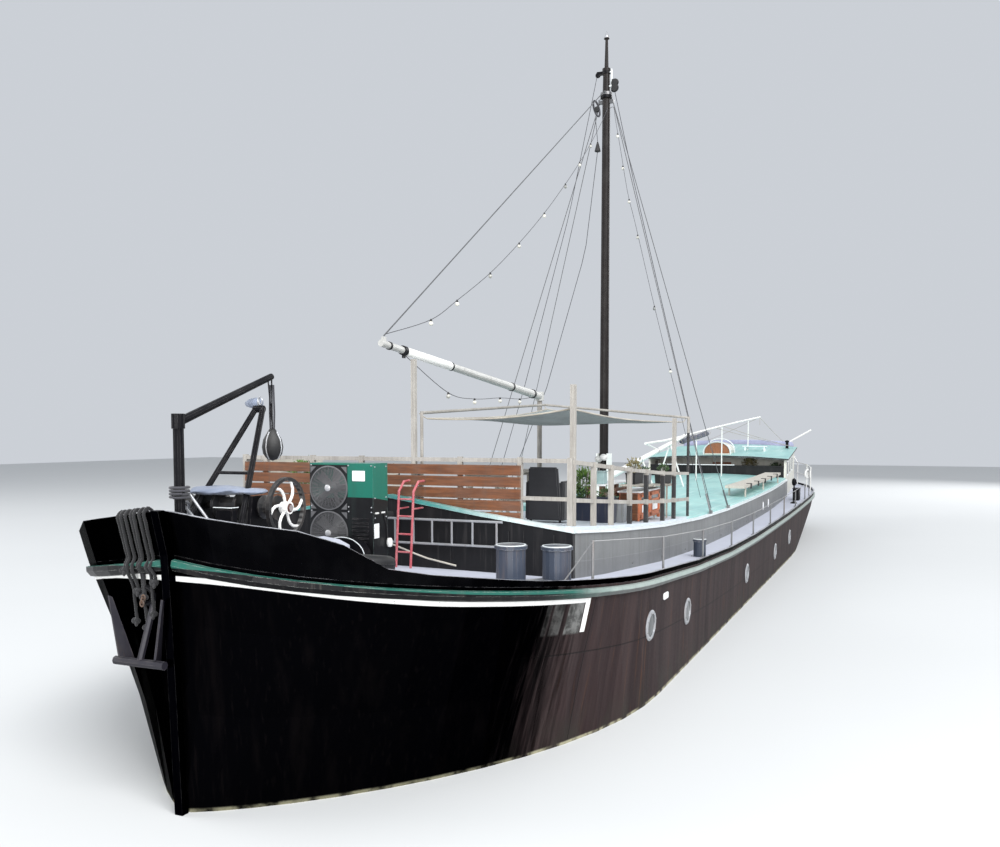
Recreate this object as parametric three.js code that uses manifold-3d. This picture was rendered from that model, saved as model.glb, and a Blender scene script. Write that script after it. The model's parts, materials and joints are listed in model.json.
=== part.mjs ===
// Barge houseboat in millimetres: +X to the bow, +Y to port, +Z up, origin on the waterline amidships
import * as THREE from 'three';
import { mergeVertices } from 'three/addons/utils/BufferGeometryUtils.js';
import Module from 'manifold-3d';

const wasm = await Module();
wasm.setup();

// Driving dimensions
const STEM_X = 16650; // stem at the waterline, ahead of amidships
const HALF_BEAM = 3200;
const DRAUGHT = 950;
const SIDE_FREEBOARD = 1340; // deck edge above the water amidships
const BOW_RISE = 1140; // how far the deck edge climbs from there to the stem
const SHEER_RUN = 17000; // length along the edge over which it climbs
const STERN_RISE = 270;
const STERN_RISE_FROM = 18000; // aft of the stem
const STERN_RISE_RUN = 14300;
const DECK_CAMBER = 40;
const COAMING_HEIGHT = 560; // hold coaming above the deck edge
const WALL = 80; // coaming and cabin wall thickness
const CAP_HEIGHT = 40;
const ROOF_EDGE = 40;
const ROOF_CAMBER = 120;
const SEAT = 0.3; // gap kept where one piece rests on another

const aft = (distance) => STEM_X - distance;
const lerp = THREE.MathUtils.lerp;
const smooth = THREE.MathUtils.smoothstep;
const rad = THREE.MathUtils.degToRad;

const boat = new THREE.Group();

// Finishes
function finish(color, roughness = 0.6, metalness = 0) {
  return new THREE.MeshStandardMaterial({ color, roughness, metalness });
}
const hullBlack = finish(0x0b0b0c, 0.25);
const strakeGreen = finish(0x2b6a5e, 0.5);
const steelBlack = finish(0x121314, 0.45, 0.3);
const coamingGrey = finish(0x6a6d6d, 0.6);
const capWhite = finish(0xd7ddda, 0.5);
const roofAqua = finish(0x9fd6d0, 0.5);
const deckPale = finish(0xb9bfcc, 0.7);
const timberGrey = finish(0x857d74, 0.85);
const cedar = finish(0x5a2c16, 0.7);
const sparWhite = finish(0xe8e8e4, 0.4);
const unitGreen = finish(0x0f6354, 0.45);
const fanGrey = finish(0x6f7172, 0.6);
const ladderRed = finish(0xc8606e, 0.5);
const clothGrey = finish(0x70807f, 0.9);
const creamWall = finish(0xd8d6c6, 0.6);
const drumBlue = finish(0x2a3244, 0.5);
const varnish = finish(0x8a3b1c, 0.5);
const bronze = finish(0x8d6b3a, 0.4, 0.8);
const rust = finish(0x3c3134, 0.7, 0.4);

// Solids: three.js shapes made into closed bodies that can be joined and cut
function solid(geometry) {
  const bare = geometry.clone();
  bare.deleteAttribute('normal');
  bare.deleteAttribute('uv');
  const merged = mergeVertices(bare, 0.001);
  return new wasm.Manifold(new wasm.Mesh({
    numProp: 3,
    vertProperties: new Float32Array(merged.attributes.position.array),
    triVerts: new Uint32Array(merged.index.array),
  }));
}

function closedBody(positions, faces) {
  const geometry = new THREE.BufferGeometry();
  geometry.setAttribute('position', new THREE.Float32BufferAttribute(positions, 3));
  geometry.setIndex(faces);
  const body = solid(geometry);
  return body.volume() < 0 ? solid(geometry.setIndex(faces.reverse())) : body;
}

function join(pieces) {
  return pieces.reduce((whole, piece) => whole.add(piece));
}

function addPiece(name, body, material) {
  const mesh = body.getMesh();
  const geometry = new THREE.BufferGeometry();
  geometry.setAttribute('position', new THREE.BufferAttribute(mesh.vertProperties, 3));
  geometry.setIndex(new THREE.BufferAttribute(mesh.triVerts, 1));
  const node = new THREE.Mesh(geometry, material);
  node.name = name;
  boat.add(node);
  return node;
}

function block(x0, x1, y0, y1, z0, z1) {
  const geometry = new THREE.BoxGeometry(x1 - x0, y1 - y0, z1 - z0);
  geometry.translate((x0 + x1) / 2, (y0 + y1) / 2, (z0 + z1) / 2);
  return solid(geometry);
}

function rod(from, to, radius, sides = 8, endRadius = radius) {
  const start = new THREE.Vector3(...from);
  const end = new THREE.Vector3(...to);
  const along = end.clone().sub(start);
  const geometry = new THREE.CylinderGeometry(endRadius, radius, along.length(), sides);
  const turn = new THREE.Quaternion().setFromUnitVectors(new THREE.Vector3(0, 1, 0),
    along.clone().normalize());
  geometry.applyQuaternion(turn);
  const middle = start.add(end).multiplyScalar(0.5);
  geometry.translate(middle.x, middle.y, middle.z);
  return solid(geometry);
}

// A bent rod through the points, mitred where it turns
function rail(points, radius, sides = 6) {
  const path = points.map((point) => new THREE.Vector3(...point));
  const leg = (i) => path[i + 1].clone().sub(path[i]).normalize();
  let side = new THREE.Vector3(0, 0, 1);
  if (Math.abs(leg(0).z) > 0.9) side.set(0, 1, 0);
  const sections = path.map((point, i) => {
    const before = leg(Math.max(i - 1, 0));
    const along = before.clone().add(leg(Math.min(i, path.length - 2))).normalize();
    const stretch = 1 / Math.max(before.dot(along), 0.5);
    side = side.clone().addScaledVector(along, -side.dot(along)).normalize();
    const across = new THREE.Vector3().crossVectors(along, side);
    const inward = before.clone().addScaledVector(along, -before.dot(along));
    return Array.from({ length: sides }, (unused, k) => {
      const turn = rad(360 * (k + 0.5) / sides);
      const spoke = side.clone().multiplyScalar(Math.cos(turn)).addScaledVector(across, Math.sin(turn));
      if (inward.length() > 0.001) {
        const share = spoke.dot(inward.clone().normalize());
        spoke.addScaledVector(inward.clone().normalize(), share * (stretch - 1));
      }
      return point.clone().addScaledVector(spoke, radius).toArray();
    });
  });
  return skin(sections);
}

// A turned piece: profile rows are [radius, height], its axis laid along the direction given
function turned(profile, sides, place, direction = [0, 0, 1]) {
  const points = profile.map(([radius, height]) => new THREE.Vector2(radius, height));
  const geometry = new THREE.LatheGeometry(points, sides);
  const axis = new THREE.Vector3(...direction).normalize();
  geometry.applyQuaternion(new THREE.Quaternion().setFromUnitVectors(new THREE.Vector3(0, 1, 0), axis));
  geometry.translate(...place);
  return solid(geometry);
}

// A flat outline of [across, up] points, extruded; the frame says where its axes point
function plate(outline, thickness, place, across, up) {
  const shape = new THREE.Shape(outline.map(([a, b]) => new THREE.Vector2(a, b)));
  const geometry = new THREE.ExtrudeGeometry(shape, { depth: thickness, bevelEnabled: false });
  const a = new THREE.Vector3(...across).normalize();
  const u = new THREE.Vector3(...up).normalize();
  const n = new THREE.Vector3().crossVectors(a, u);
  geometry.applyMatrix4(new THREE.Matrix4().makeBasis(a, u, n));
  geometry.translate(...place);
  return solid(geometry);
}

// A closed skin over sections that each hold the same number of points
function skin(sections, around = true) {
  const count = sections[0].length;
  const positions = sections.flat(2);
  const faces = [];
  for (let s = 0; s + 1 < sections.length; s += 1) {
    for (let i = 0; i < (around ? count : count - 1); i += 1) {
      const j = (i + 1) % count;
      const a = s * count + i;
      const b = s * count + j;
      faces.push(a, b, b + count, a, b + count, a + count);
    }
  }
  const last = (sections.length - 1) * count;
  for (let i = 1; i + 1 < count; i += 1) {
    faces.push(0, i + 1, i);
    faces.push(last, last + i, last + i + 1);
  }
  return closedBody(positions, faces);
}

function mirrored(section) {
  return section.map(([x, y, z]) => [x, -y, z]);
}

// A hole for a turning rod of the radius given
function bore(from, to, radius) {
  return rod(from, to, (radius + SEAT) / Math.cos(rad(7.5)), 24);
}

function largest(body) {
  return body.decompose().reduce((most, piece) => (piece.volume() > most.volume() ? piece : most));
}

// What reaches into a neighbour is cut back to just clear of it
function clearOf(piece, support) {
  const shifts = [[1, 0, 0], [-1, 0, 0], [0, 1, 0], [0, -1, 0], [0, 0, 1], [0, 0, -1]];
  return largest(shifts.reduce((left, shift) => {
    return left.subtract(support.translate(shift.map((way) => way * SEAT)));
  }, piece));
}

// What rests on a deck, floor or roof is cut to its surface
function seated(piece, support) {
  return largest(piece.subtract(support.translate([0, 0, SEAT])));
}

// Hull: one ring of points for each level, all with the same stations from stem to stern
const BOW_STATIONS = 14;
const SIDE_STATIONS = 7;
const STERN_STATIONS = 12;
const hullLevels = [
  // depth below water or share of freeboard, stem, bow length and fullness, half beam, stern end, length,
  // fullness
  { depth: -950, stem: 2300, bow: 5000, bowFull: 1.25, half: 2650, end: 26800, run: 8500, runFull: 1.15 },
  { depth: -800, stem: 1000, bow: 5600, bowFull: 1.2, half: 3000, end: 28300, run: 9500, runFull: 1.1 },
  { depth: -420, stem: 300, bow: 5800, bowFull: 1.2, half: 3120, end: 30000, run: 9800, runFull: 1.15 },
  { depth: 0, stem: 0, bow: 5800, bowFull: 1.22, half: 3140, end: 30900, run: 9300, runFull: 1.35 },
  { share: 0.4, stem: -40, bow: 5600, bowFull: 1.5, half: 3155, end: 32400, run: 8200, runFull: 1.7 },
  { share: 0.75, stem: -80, bow: 5300, bowFull: 1.9, half: 3175, end: 33300, run: 7200, runFull: 2.0 },
  { share: 1, stem: -120, bow: 5120, bowFull: 2.3, half: HALF_BEAM, end: 33600, run: 6900, runFull: 2.2 },
];
const STERN_ROUND = 2.4;

function planOutline(level) {
  const points = [];
  for (let i = 0; i <= BOW_STATIONS; i += 1) {
    const angle = rad(90 * i / BOW_STATIONS);
    const x = aft(level.stem + level.bow * (1 - Math.cos(angle)));
    points.push([x, level.half * Math.sin(angle) ** (2 / level.bowFull)]);
  }
  const sternStart = level.end - level.run;
  const bowEnd = level.stem + level.bow;
  for (let i = 1; i < SIDE_STATIONS; i += 1) {
    points.push([aft(lerp(bowEnd, sternStart, i / SIDE_STATIONS)), level.half]);
  }
  for (let i = 0; i <= STERN_STATIONS; i += 1) {
    const angle = rad(90 * i / STERN_STATIONS);
    const x = aft(sternStart + level.run * Math.sin(angle) ** (2 / STERN_ROUND));
    points.push([x, level.half * Math.max(Math.cos(angle), 0) ** (2 / level.runFull)]);
  }
  points[0][1] = 0;
  points[points.length - 1][1] = 0;
  return points;
}

function sheerHeight(x, alongEdge) {
  const climb = Math.max(0, 1 - alongEdge / SHEER_RUN) ** 2.1;
  const sternShare = Math.max(0, (STEM_X - x - STERN_RISE_FROM) / STERN_RISE_RUN);
  return SIDE_FREEBOARD + BOW_RISE * climb + STERN_RISE * sternShare ** 2;
}

const edgePlan = planOutline(hullLevels[hullLevels.length - 1]);
let alongEdge = 0;
const edge = edgePlan.map(([x, y], i) => {
  if (i > 0) alongEdge += Math.hypot(x - edgePlan[i - 1][0], y - edgePlan[i - 1][1]);
  return { x, y, z: sheerHeight(x, alongEdge), along: alongEdge };
});
const STATIONS = edge.length;

const hullSides = hullLevels.map((level) => planOutline(level).map(([x, y], i) => {
  return [x, y, level.share === undefined ? level.depth : level.share * edge[i].z];
}));

function edgeAt(x) {
  const i = Math.min(edge.findIndex((point, k) => k > 0 && point.x <= x), STATIONS - 1);
  const before = edge[i - 1];
  const share = (before.x - x) / (before.x - edge[i].x);
  return { y: lerp(before.y, edge[i].y, share), z: lerp(before.z, edge[i].z, share) };
}

function hullSolid() {
  const positions = [];
  const faces = [];
  const ringSize = 2 * STATIONS - 2;
  hullSides.forEach((side) => {
    side.forEach((point) => positions.push(point));
    for (let i = STATIONS - 2; i > 0; i -= 1) positions.push([side[i][0], -side[i][1], side[i][2]]);
  });
  for (let k = 0; k + 1 < hullSides.length; k += 1) {
    for (let i = 0; i < ringSize; i += 1) {
      const a = k * ringSize + i;
      const b = k * ringSize + (i + 1) % ringSize;
      faces.push(a, b, b + ringSize, a, b + ringSize, a + ringSize);
    }
  }
  const closeRing = (k, camber, upward) => {
    const base = k * ringSize;
    const middle = positions.length - 1;
    for (let i = 1; i < STATIONS - 1; i += 1) {
      const [x, y, z] = hullSides[k][i];
      positions.push([x, 0, z + camber * y / HALF_BEAM]);
    }
    const centre = (i) => (i === 0 ? base : i === STATIONS - 1 ? base + STATIONS - 1 : middle + i);
    const port = (i) => base + i;
    const starboard = (i) => (i === 0 || i === STATIONS - 1 ? base + i : base + ringSize - i);
    for (let i = 0; i + 1 < STATIONS; i += 1) {
      const quads = [[port(i), port(i + 1), centre(i + 1), centre(i)],
        [centre(i), centre(i + 1), starboard(i + 1), starboard(i)]];
      quads.forEach(([a, b, c, d]) => {
        [[a, b, c], [a, c, d]].forEach(([p, q, r]) => {
          if (p === q || q === r || r === p) return;
          faces.push(...(upward ? [p, q, r] : [p, r, q]));
        });
      });
    }
  };
  closeRing(0, 0, false);
  closeRing(hullSides.length - 1, DECK_CAMBER, true);
  return closedBody(positions.flat(), faces);
}

// Stern gear places
const SHAFT_Z = -520;
const PROP_X = aft(30620);
const PROP_RADIUS = 340;
const RUDDER_X = aft(31150);
const STOCK_RADIUS = 45;
const houseFrontAft = 26600;
const houseBackAft = 30800;
const wellFrontAft = 27950;
const wellBackAft = 30650;
const WELL_HALF = 1750;
const WELL_FLOOR = 700;

const SHAFT_RADIUS = 38;
const stockBore = bore([RUDDER_X, 0, -600], [RUDDER_X, 0, 900], STOCK_RADIUS);
const shaftBore = bore([aft(30400), 0, SHAFT_Z], [aft(28200), 0, SHAFT_Z], SHAFT_RADIUS);
const cabinWell = block(aft(wellBackAft), aft(wellFrontAft), -WELL_HALF, WELL_HALF, WELL_FLOOR, 2500);
const rawHull = hullSolid();
const hull = rawHull.subtract(stockBore).subtract(shaftBore).subtract(cabinWell);
const hullSwollen = rawHull.scale([1.00004, 1.00012, 1]); // clears the hull's side by a third of a millimetre
addPiece('hull', hull, hullBlack);

// Bulwark round the bow that sweeps down into the toe rail
const BULWARK_HEIGHT = 420;
const BULWARK_FLARE = 110;
const TOE_RAIL = 65;
const BULWARK_THICK = 50;
const SWEEP_START = 1350; // along the edge from the stem
const SWEEP_END = 2250;
const FULL_DROP = 4200;

function outward(i) {
  const before = edge[Math.max(i - 1, 0)];
  const after = edge[Math.min(i + 1, STATIONS - 1)];
  const dx = after.x - before.x;
  const dy = i === 0 || i === STATIONS - 1 ? 1 : after.y - before.y;
  if (i === 0) return [1, 0];
  if (i === STATIONS - 1) return [-1, 0];
  const length = Math.hypot(dx, dy);
  return [dy / length, -dx / length];
}

function bulwarkHeight(along) {
  const low = lerp(110, TOE_RAIL, smooth(along, SWEEP_END, FULL_DROP));
  return lerp(BULWARK_HEIGHT, low, smooth(along, SWEEP_START, SWEEP_END));
}

function bulwarkSection(i) {
  const { x, y, z, along } = edge[i];
  const [nx, ny] = outward(i);
  const height = bulwarkHeight(along);
  const lean = BULWARK_FLARE * height / BULWARK_HEIGHT;
  const at = (out, up) => [x + nx * out, y + ny * out, z + up];
  return [at(0, SEAT), at(lean, height), at(lean - BULWARK_THICK, height), at(-BULWARK_THICK,
    DECK_CAMBER * 0.05 + SEAT)];
}

const bulwarkSections = edge.map((point, i) => bulwarkSection(i));
for (let i = STATIONS - 2; i > 0; i -= 1) bulwarkSections.push(mirrored(bulwarkSection(i)));

function ringSkin(sections) {
  const count = sections[0].length;
  const total = sections.length;
  const faces = [];
  for (let s = 0; s < total; s += 1) {
    const next = (s + 1) % total;
    for (let i = 0; i < count; i += 1) {
      const j = (i + 1) % count;
      faces.push(s * count + i, next * count + i, next * count + j);
      faces.push(s * count + i, next * count + j, s * count + j);
    }
  }
  return closedBody(sections.flat(2), faces);
}
const bulwark = seated(ringSkin(bulwarkSections), hull);
addPiece('bulwark', bulwark, hullBlack);

// Half-round rub strake below the deck edge, all round
const STRAKE_TOP = 35;
const STRAKE_BOTTOM = 145;
const STRAKE_OUT = 55;
const topLevel = hullSides.length - 1;

function hullSkinPoint(i, below) {
  const upper = hullSides[topLevel][i];
  const lower = hullSides[topLevel - 1][i];
  const share = below / (upper[2] - lower[2]);
  return [0, 1, 2].map((k) => lerp(upper[k], lower[k], share));
}

function strakeSection(i) {
  const [nx, ny] = outward(i);
  const top = hullSkinPoint(i, STRAKE_TOP);
  const bottom = hullSkinPoint(i, STRAKE_BOTTOM);
  const off = (point, out, up = 0) => [point[0] + nx * out, point[1] + ny * out, point[2] + up];
  const middle = hullSkinPoint(i, (STRAKE_TOP + STRAKE_BOTTOM) / 2);
  const tilt = SEAT * 2;
  return [off(top, tilt), off(top, STRAKE_OUT * 0.75, -8), off(middle, STRAKE_OUT + 4),
    off(bottom, STRAKE_OUT * 0.75, 8), off(bottom, tilt)];
}
const strakeSections = edge.map((point, i) => strakeSection(i));
for (let i = STATIONS - 2; i > 0; i -= 1) strakeSections.push(mirrored(strakeSection(i)));
const rubStrake = ringSkin(strakeSections).subtract(hullSwollen);
addPiece('rub_strake', rubStrake, strakeGreen);

// Stem bar from the forefoot to the rail
const STEM_BAR_HALF = 45;
const stemProfile = hullSides.map((side) => [side[0][0], side[0][2]]);
const STEM_BAR_OUT = 85;
const stemOuter = stemProfile.map(([x, z]) => [x + STEM_BAR_OUT, z]);
const stemTop = [[STEM_X + 120 + BULWARK_FLARE, 2900], [STEM_X + 120 + BULWARK_FLARE + STEM_BAR_OUT, 2900]];
const stemOutline = [...stemProfile, ...stemTop, ...stemOuter.reverse()];
const stemBar = plate(stemOutline, 2 * STEM_BAR_HALF, [0, STEM_BAR_HALF, 0], [1, 0, 0], [0, 0, 1]);
const around = (body) => join([[0, 0], [0.6, 0], [-0.6, 0], [0.4, 0.4], [0.4, -0.4]].map(([x, z]) => {
  return body.translate([x, 0, z]);
}));
const stemBarBody = [rawHull, rubStrake, bulwark].reduce((bar, body) => bar.subtract(around(body)), stemBar);
addPiece('stem_bar', largest(stemBarBody), hullBlack);

// Skeg, propeller and rudder under the counter
const KEEL_BOTTOM = -DRAUGHT - 30;
const skegOutline = [[aft(24500), -DRAUGHT - 0.5], [aft(31450), KEEL_BOTTOM + 90], [aft(31450),
  KEEL_BOTTOM - 10],
  [aft(24500), KEEL_BOTTOM - 10]];
const skeg = plate(skegOutline, 90, [0, 45, 0], [1, 0, 0], [0, 0, 1]);
const sternPost = block(aft(30340), aft(26000), -45, 45, KEEL_BOTTOM, 100).subtract(
  rod([aft(30500), 0, SHAFT_Z], [aft(28000), 0, SHAFT_Z], 80, 16));
const bossing = rod([aft(30340), 0, SHAFT_Z], [aft(29300), 0, SHAFT_Z], 110, 16);
const bossBore = bore([aft(30400), 0, SHAFT_Z], [aft(29000), 0, SHAFT_Z], SHAFT_RADIUS);
const HEEL_PIN = 25;
const heelPin = rod([RUDDER_X, 0, KEEL_BOTTOM + 20], [RUDDER_X, 0, KEEL_BOTTOM + 135], HEEL_PIN, 12);
const keelParts = skeg.add(sternPost).add(bossing).subtract(bossBore).add(heelPin);
addPiece('skeg_and_stern_post', keelParts.subtract(rawHull.translate([0, 0, -0.5])).subtract(
  rawHull.translate([-0.5, 0, 0])), hullBlack);

function propeller() {
  const parts = [rod([PROP_X + 110, 0, SHAFT_Z], [PROP_X - 90, 0, SHAFT_Z], 70, 14, 45),
    rod([aft(28800), 0, SHAFT_Z], [PROP_X + 80, 0, SHAFT_Z], SHAFT_RADIUS, 12)];
  for (let blade = 0; blade < 4; blade += 1) {
    const turn = rad(90 * blade);
    const outline = [[30, -60], [200, -135], [PROP_RADIUS, -70], [PROP_RADIUS, 70], [200, 135], [30, 60]];
    const radial = [0, Math.cos(turn), Math.sin(turn)];
    const chord = [0.75, -Math.sin(turn) * 0.66, Math.cos(turn) * 0.66];
    const normal = new THREE.Vector3().crossVectors(new THREE.Vector3(...radial),
      new THREE.Vector3(...chord));
    normal.normalize().multiplyScalar(-10);
    const place = [PROP_X + normal.x, normal.y, SHAFT_Z + normal.z];
    parts.push(plate(outline, 20, place, radial, chord));
  }
  return join(parts);
}
addPiece('propeller', propeller(), bronze);

const rudderOutline = [[RUDDER_X + 130, -880], [RUDDER_X + 130, -70], [RUDDER_X - 180, -20],
  [RUDDER_X - 780, -120],
  [RUDDER_X - 820, -800], [RUDDER_X - 700, -880]];
const rudderBlade = plate(rudderOutline, 50, [0, 25, 0], [1, 0, 0], [0, 0, 1]);
const rudder = rudderBlade.add(rod([RUDDER_X, 0, -885], [RUDDER_X, 0, 870], STOCK_RADIUS, 14)).subtract(
  bore([RUDDER_X, 0, -960], [RUDDER_X, 0, -820], HEEL_PIN));
addPiece('rudder', rudder, hullBlack);

// Hold trunk: stations of half width, read from the table by distance aft of the stem
const trunkPlan = [[3900, 2540], [4700, 2580], [8000, 2600], [14000, 2600], [22000, 2560], [26500, 2440]];
const trunkFrontAft = 3900;
const terraceEndAft = 10300;
const trunkEndAft = 26500;

function planHalf(distance) {
  const i = trunkPlan.findIndex(([d]) => d >= distance);
  if (i < 1) return trunkPlan[i < 0 ? trunkPlan.length - 1 : 0][1];
  const [d0, w0] = trunkPlan[i - 1];
  const [d1, w1] = trunkPlan[i];
  return lerp(w0, w1, (distance - d0) / (d1 - d0));
}
const TRUNK_STEP = 1450;
const trunkStation = (i) => trunkFrontAft + i * TRUNK_STEP;

function coamingTop(distance) {
  const i = Math.max(0, Math.floor((distance - trunkFrontAft) / TRUNK_STEP));
  const height = (k) => edgeAt(aft(trunkStation(k))).z + COAMING_HEIGHT;
  return lerp(height(i), height(i + 1), (distance - trunkStation(i)) / TRUNK_STEP);
}

function trunkHalf(distance) {
  const i = Math.max(0, Math.floor((distance - trunkFrontAft) / TRUNK_STEP));
  return lerp(planHalf(trunkStation(i)), planHalf(trunkStation(i + 1)),
    (distance - trunkStation(i)) / TRUNK_STEP);
}

function stationsBetween(from, to) {
  const inner = Array.from({ length: 17 }, (unused, i) => trunkStation(i));
  return [from, ...inner.filter((d) => d > from + 40 && d < to - 40), to];
}

function trunkWall(sign) {
  const sections = stationsBetween(trunkFrontAft + WALL + SEAT, trunkEndAft).map((d) => {
    const half = trunkHalf(d);
    const low = edgeAt(aft(d)).z - 30;
    const high = coamingTop(d);
    return [[aft(d), sign * half, low], [aft(d), sign * half, high], [aft(d), sign * (half - WALL), high],
      [aft(d), sign * (half - WALL), low]];
  });
  return seated(skin(sections), hull);
}
const portCoaming = trunkWall(1);
const starboardCoaming = trunkWall(-1);
addPiece('coaming_port', portCoaming, coamingGrey);
addPiece('coaming_starboard', starboardCoaming, coamingGrey);

const FRONT_PEAK = 365;
const FRONT_SHOULDER = 170; // gable of the front wall above its corners
const frontTop = coamingTop(trunkFrontAft);
const frontHalf = trunkHalf(trunkFrontAft);
const frontOutline = [[-frontHalf, 1700], [frontHalf, 1700], [frontHalf, frontTop], [frontHalf * 0.5,
  frontTop + FRONT_SHOULDER],
  [0, frontTop + FRONT_PEAK], [-frontHalf * 0.5, frontTop + FRONT_SHOULDER], [-frontHalf, frontTop]];
const frontWall = seated(plate(frontOutline, WALL, [aft(trunkFrontAft + WALL), 0, 0], [0, 1, 0], [0, 0, 1]),
  hull);
addPiece('trunk_front_wall', frontWall, steelBlack);

// White capping on the front wall and along both coamings
const CAP_OVERHANG = 25;
const slopeCap = (sign) => {
  const steps = [[0, FRONT_PEAK], [0.5, FRONT_SHOULDER], [1, 0]];
  const sections = steps.map(([share, rise]) => {
    const y = sign * share * (frontHalf + (share === 1 ? CAP_OVERHANG : 0));
    const z = frontTop + rise + SEAT;
    const x0 = aft(trunkFrontAft + WALL + 10);
    const x1 = aft(trunkFrontAft - CAP_OVERHANG);
    return [[x0, y, z], [x1, y, z], [x1, y, z + 45], [x0, y, z + 45]];
  });
  return skin(sections);
};
addPiece('front_wall_capping', slopeCap(1).add(slopeCap(-1)), roofAqua);

[['port', 1], ['starboard', -1]].forEach(([side, sign]) => {
  const sections = stationsBetween(trunkFrontAft + WALL + 12, trunkEndAft).map((d) => {
    const outer = sign * (trunkHalf(d) + CAP_OVERHANG);
    const inner = sign * (trunkHalf(d) - WALL - 20);
    const z = coamingTop(d) + SEAT;
    return [[aft(d), outer, z], [aft(d), outer, z + CAP_HEIGHT], [aft(d), inner, z + CAP_HEIGHT], [aft(d),
      inner, z]];
  });
  addPiece(`coaming_capping_${side}`, skin(sections), capWhite);
});

// Terrace floor and hatch roof lie across the cappings
const LID_INSET = 60;

function lidSection(d, camber) {
  const half = trunkHalf(d) - LID_INSET;
  const base = coamingTop(d) + CAP_HEIGHT + 2 * SEAT;
  const top = base + ROOF_EDGE;
  return [[aft(d), half, base], [aft(d), half, top], [aft(d), half / 2, top + camber * 0.7], [aft(d), 0,
    top + camber],
    [aft(d), -half / 2, top + camber * 0.7], [aft(d), -half, top], [aft(d), -half, base]];
}
const flatSection = (d) => {
  const half = trunkHalf(d) - LID_INSET;
  const base = coamingTop(d) + CAP_HEIGHT + 2 * SEAT;
  return [[aft(d), half, base], [aft(d), half, base + ROOF_EDGE], [aft(d), -half, base + ROOF_EDGE],
    [aft(d), -half, base]];
};
const terrace = skin(stationsBetween(trunkFrontAft + WALL + 12, terraceEndAft - 5).map(flatSection));
addPiece('terrace_floor', terrace, deckPale);
const hatchRoof = skin(stationsBetween(terraceEndAft, trunkEndAft).map((d) => lidSection(d, ROOF_CAMBER)));
addPiece('hatch_roof', hatchRoof, roofAqua);
const floorHeight = (distance) => coamingTop(distance) + CAP_HEIGHT + 2 * SEAT + ROOF_EDGE;

// Terrace railings: posts and two rails in weathered timber
const RAIL_TOP = 870;
const RAIL_MIDDLE = 400;
const RAIL_LINE = 96; // rail line inboard of the coaming face
const POST = 32; // half width of a rail post
const postRows = [4150, 4910, 5650, 6570, 7500, 8560, 9370];
const railEndAft = 10520;
const TALL_POST = 1820;
const frontRailAft = 4080;

function timber(from, to, half) {
  const start = new THREE.Vector3(...from);
  const end = new THREE.Vector3(...to);
  const along = end.clone().sub(start);
  const geometry = new THREE.BoxGeometry(2 * half, along.length(), 2 * half);
  const frame = new THREE.Matrix4();
  const up = along.clone().normalize();
  const side = new THREE.Vector3(0, 0, 1).cross(up);
  if (side.length() < 0.01) side.set(1, 0, 0);
  side.normalize();
  frame.makeBasis(side, up, new THREE.Vector3().crossVectors(side, up));
  geometry.applyMatrix4(frame);
  const middle = start.add(end).multiplyScalar(0.5);
  geometry.translate(middle.x, middle.y, middle.z);
  return solid(geometry);
}

function sideTerraceRail(sign) {
  const place = (d, up) => [aft(d), sign * (trunkHalf(d) - RAIL_LINE), floorHeight(d) - 80 + up];
  const parts = postRows.map((d, i) => {
    const tall = i === 0 || i === postRows.length - 1;
    return timber(place(d, 65), place(d, sign > 0 && tall ? TALL_POST : RAIL_TOP + 40), POST);
  });
  const stations = [frontRailAft + 40, 6570, 8560, railEndAft - 60];
  [RAIL_TOP, RAIL_MIDDLE].forEach((up) => {
    for (let i = 0; i + 1 < stations.length; i += 1) {
      parts.push(timber(place(stations[i] - 10, up), place(stations[i + 1] + 10, up), 26));
    }
  });
  return join(parts);
}

// Front rail with its windbreak of cedar boards
const frontPosts = [2440, 1780, 950, 280, -520, -1300, -2080, -2440];
const frontFloor = floorHeight(frontRailAft);
const frontRailZ = frontFloor + 800;
const frontX = aft(frontRailAft);
const frontParts = frontPosts.map((y) => {
  return timber([frontX, y, frontFloor - 30], [frontX, y, y === 280 ? 4560 : frontRailZ + 40], 30);
});
frontParts.push(timber([frontX, -2460, frontRailZ], [frontX, 2470, frontRailZ], 26));
frontParts.push(timber([frontX, -2460, frontFloor + 330], [frontX, 2470, frontFloor + 330], 24));
const railing = join([...frontParts, sideTerraceRail(1), sideTerraceRail(-1)]);
const railingBody = seated(railing, terrace);
addPiece('terrace_railing', railingBody, timberGrey);

const boardX = frontX + 30 + SEAT;
const boardParts = [0, 1, 2, 3, 4].map((row) => {
  const z = frontFloor + 20 + row * 148;
  return block(boardX + 22, boardX + 44, -2400, 1810, z, z + 128);
});
[-2060, -500, 970].forEach((y) => {
  boardParts.push(block(boardX, boardX + 24, y - 30, y + 30, frontFloor + 20, frontFloor + 740));
});
addPiece('windbreak_boards', join(boardParts), cedar);

// Awning frame of tube, its posts on the terrace, and the cloth below it
const BOOM_POST_AFT = 9400;
const clothCorners = {
  innerFront: [aft(4270), 380, 3790],
  outerFront: [aft(4250), 2390, 3900],
  outerBack: [aft(10430), 2420, 3800],
  innerBack: [aft(9250), 200, 4030],
};
const TUBE = 22;
const lift = ([x, y, z], up) => [x, y, z + up];
const outerBackFoot = [aft(railEndAft), trunkHalf(railEndAft) - RAIL_LINE - 5, floorHeight(railEndAft) - 40];
const outerBackTop = [outerBackFoot[0], outerBackFoot[1], 3900];
const innerFrontFoot = [aft(4200), 330, frontFloor - 20];
const innerFrontTop = [aft(4200), 330, 3885];
const frameParts = [
  rod(outerBackFoot, outerBackTop, 26, 8),
  rod(innerFrontFoot, innerFrontTop, TUBE, 8),
  rail([lift(innerFrontTop, -20), [aft(9330), 130, 4110], lift(outerBackTop, -20)], TUBE, 8),
];
const awningFrame = seated(seated(join(frameParts), terrace), hatchRoof);
addPiece('awning_frame', awningFrame, sparWhite);

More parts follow.
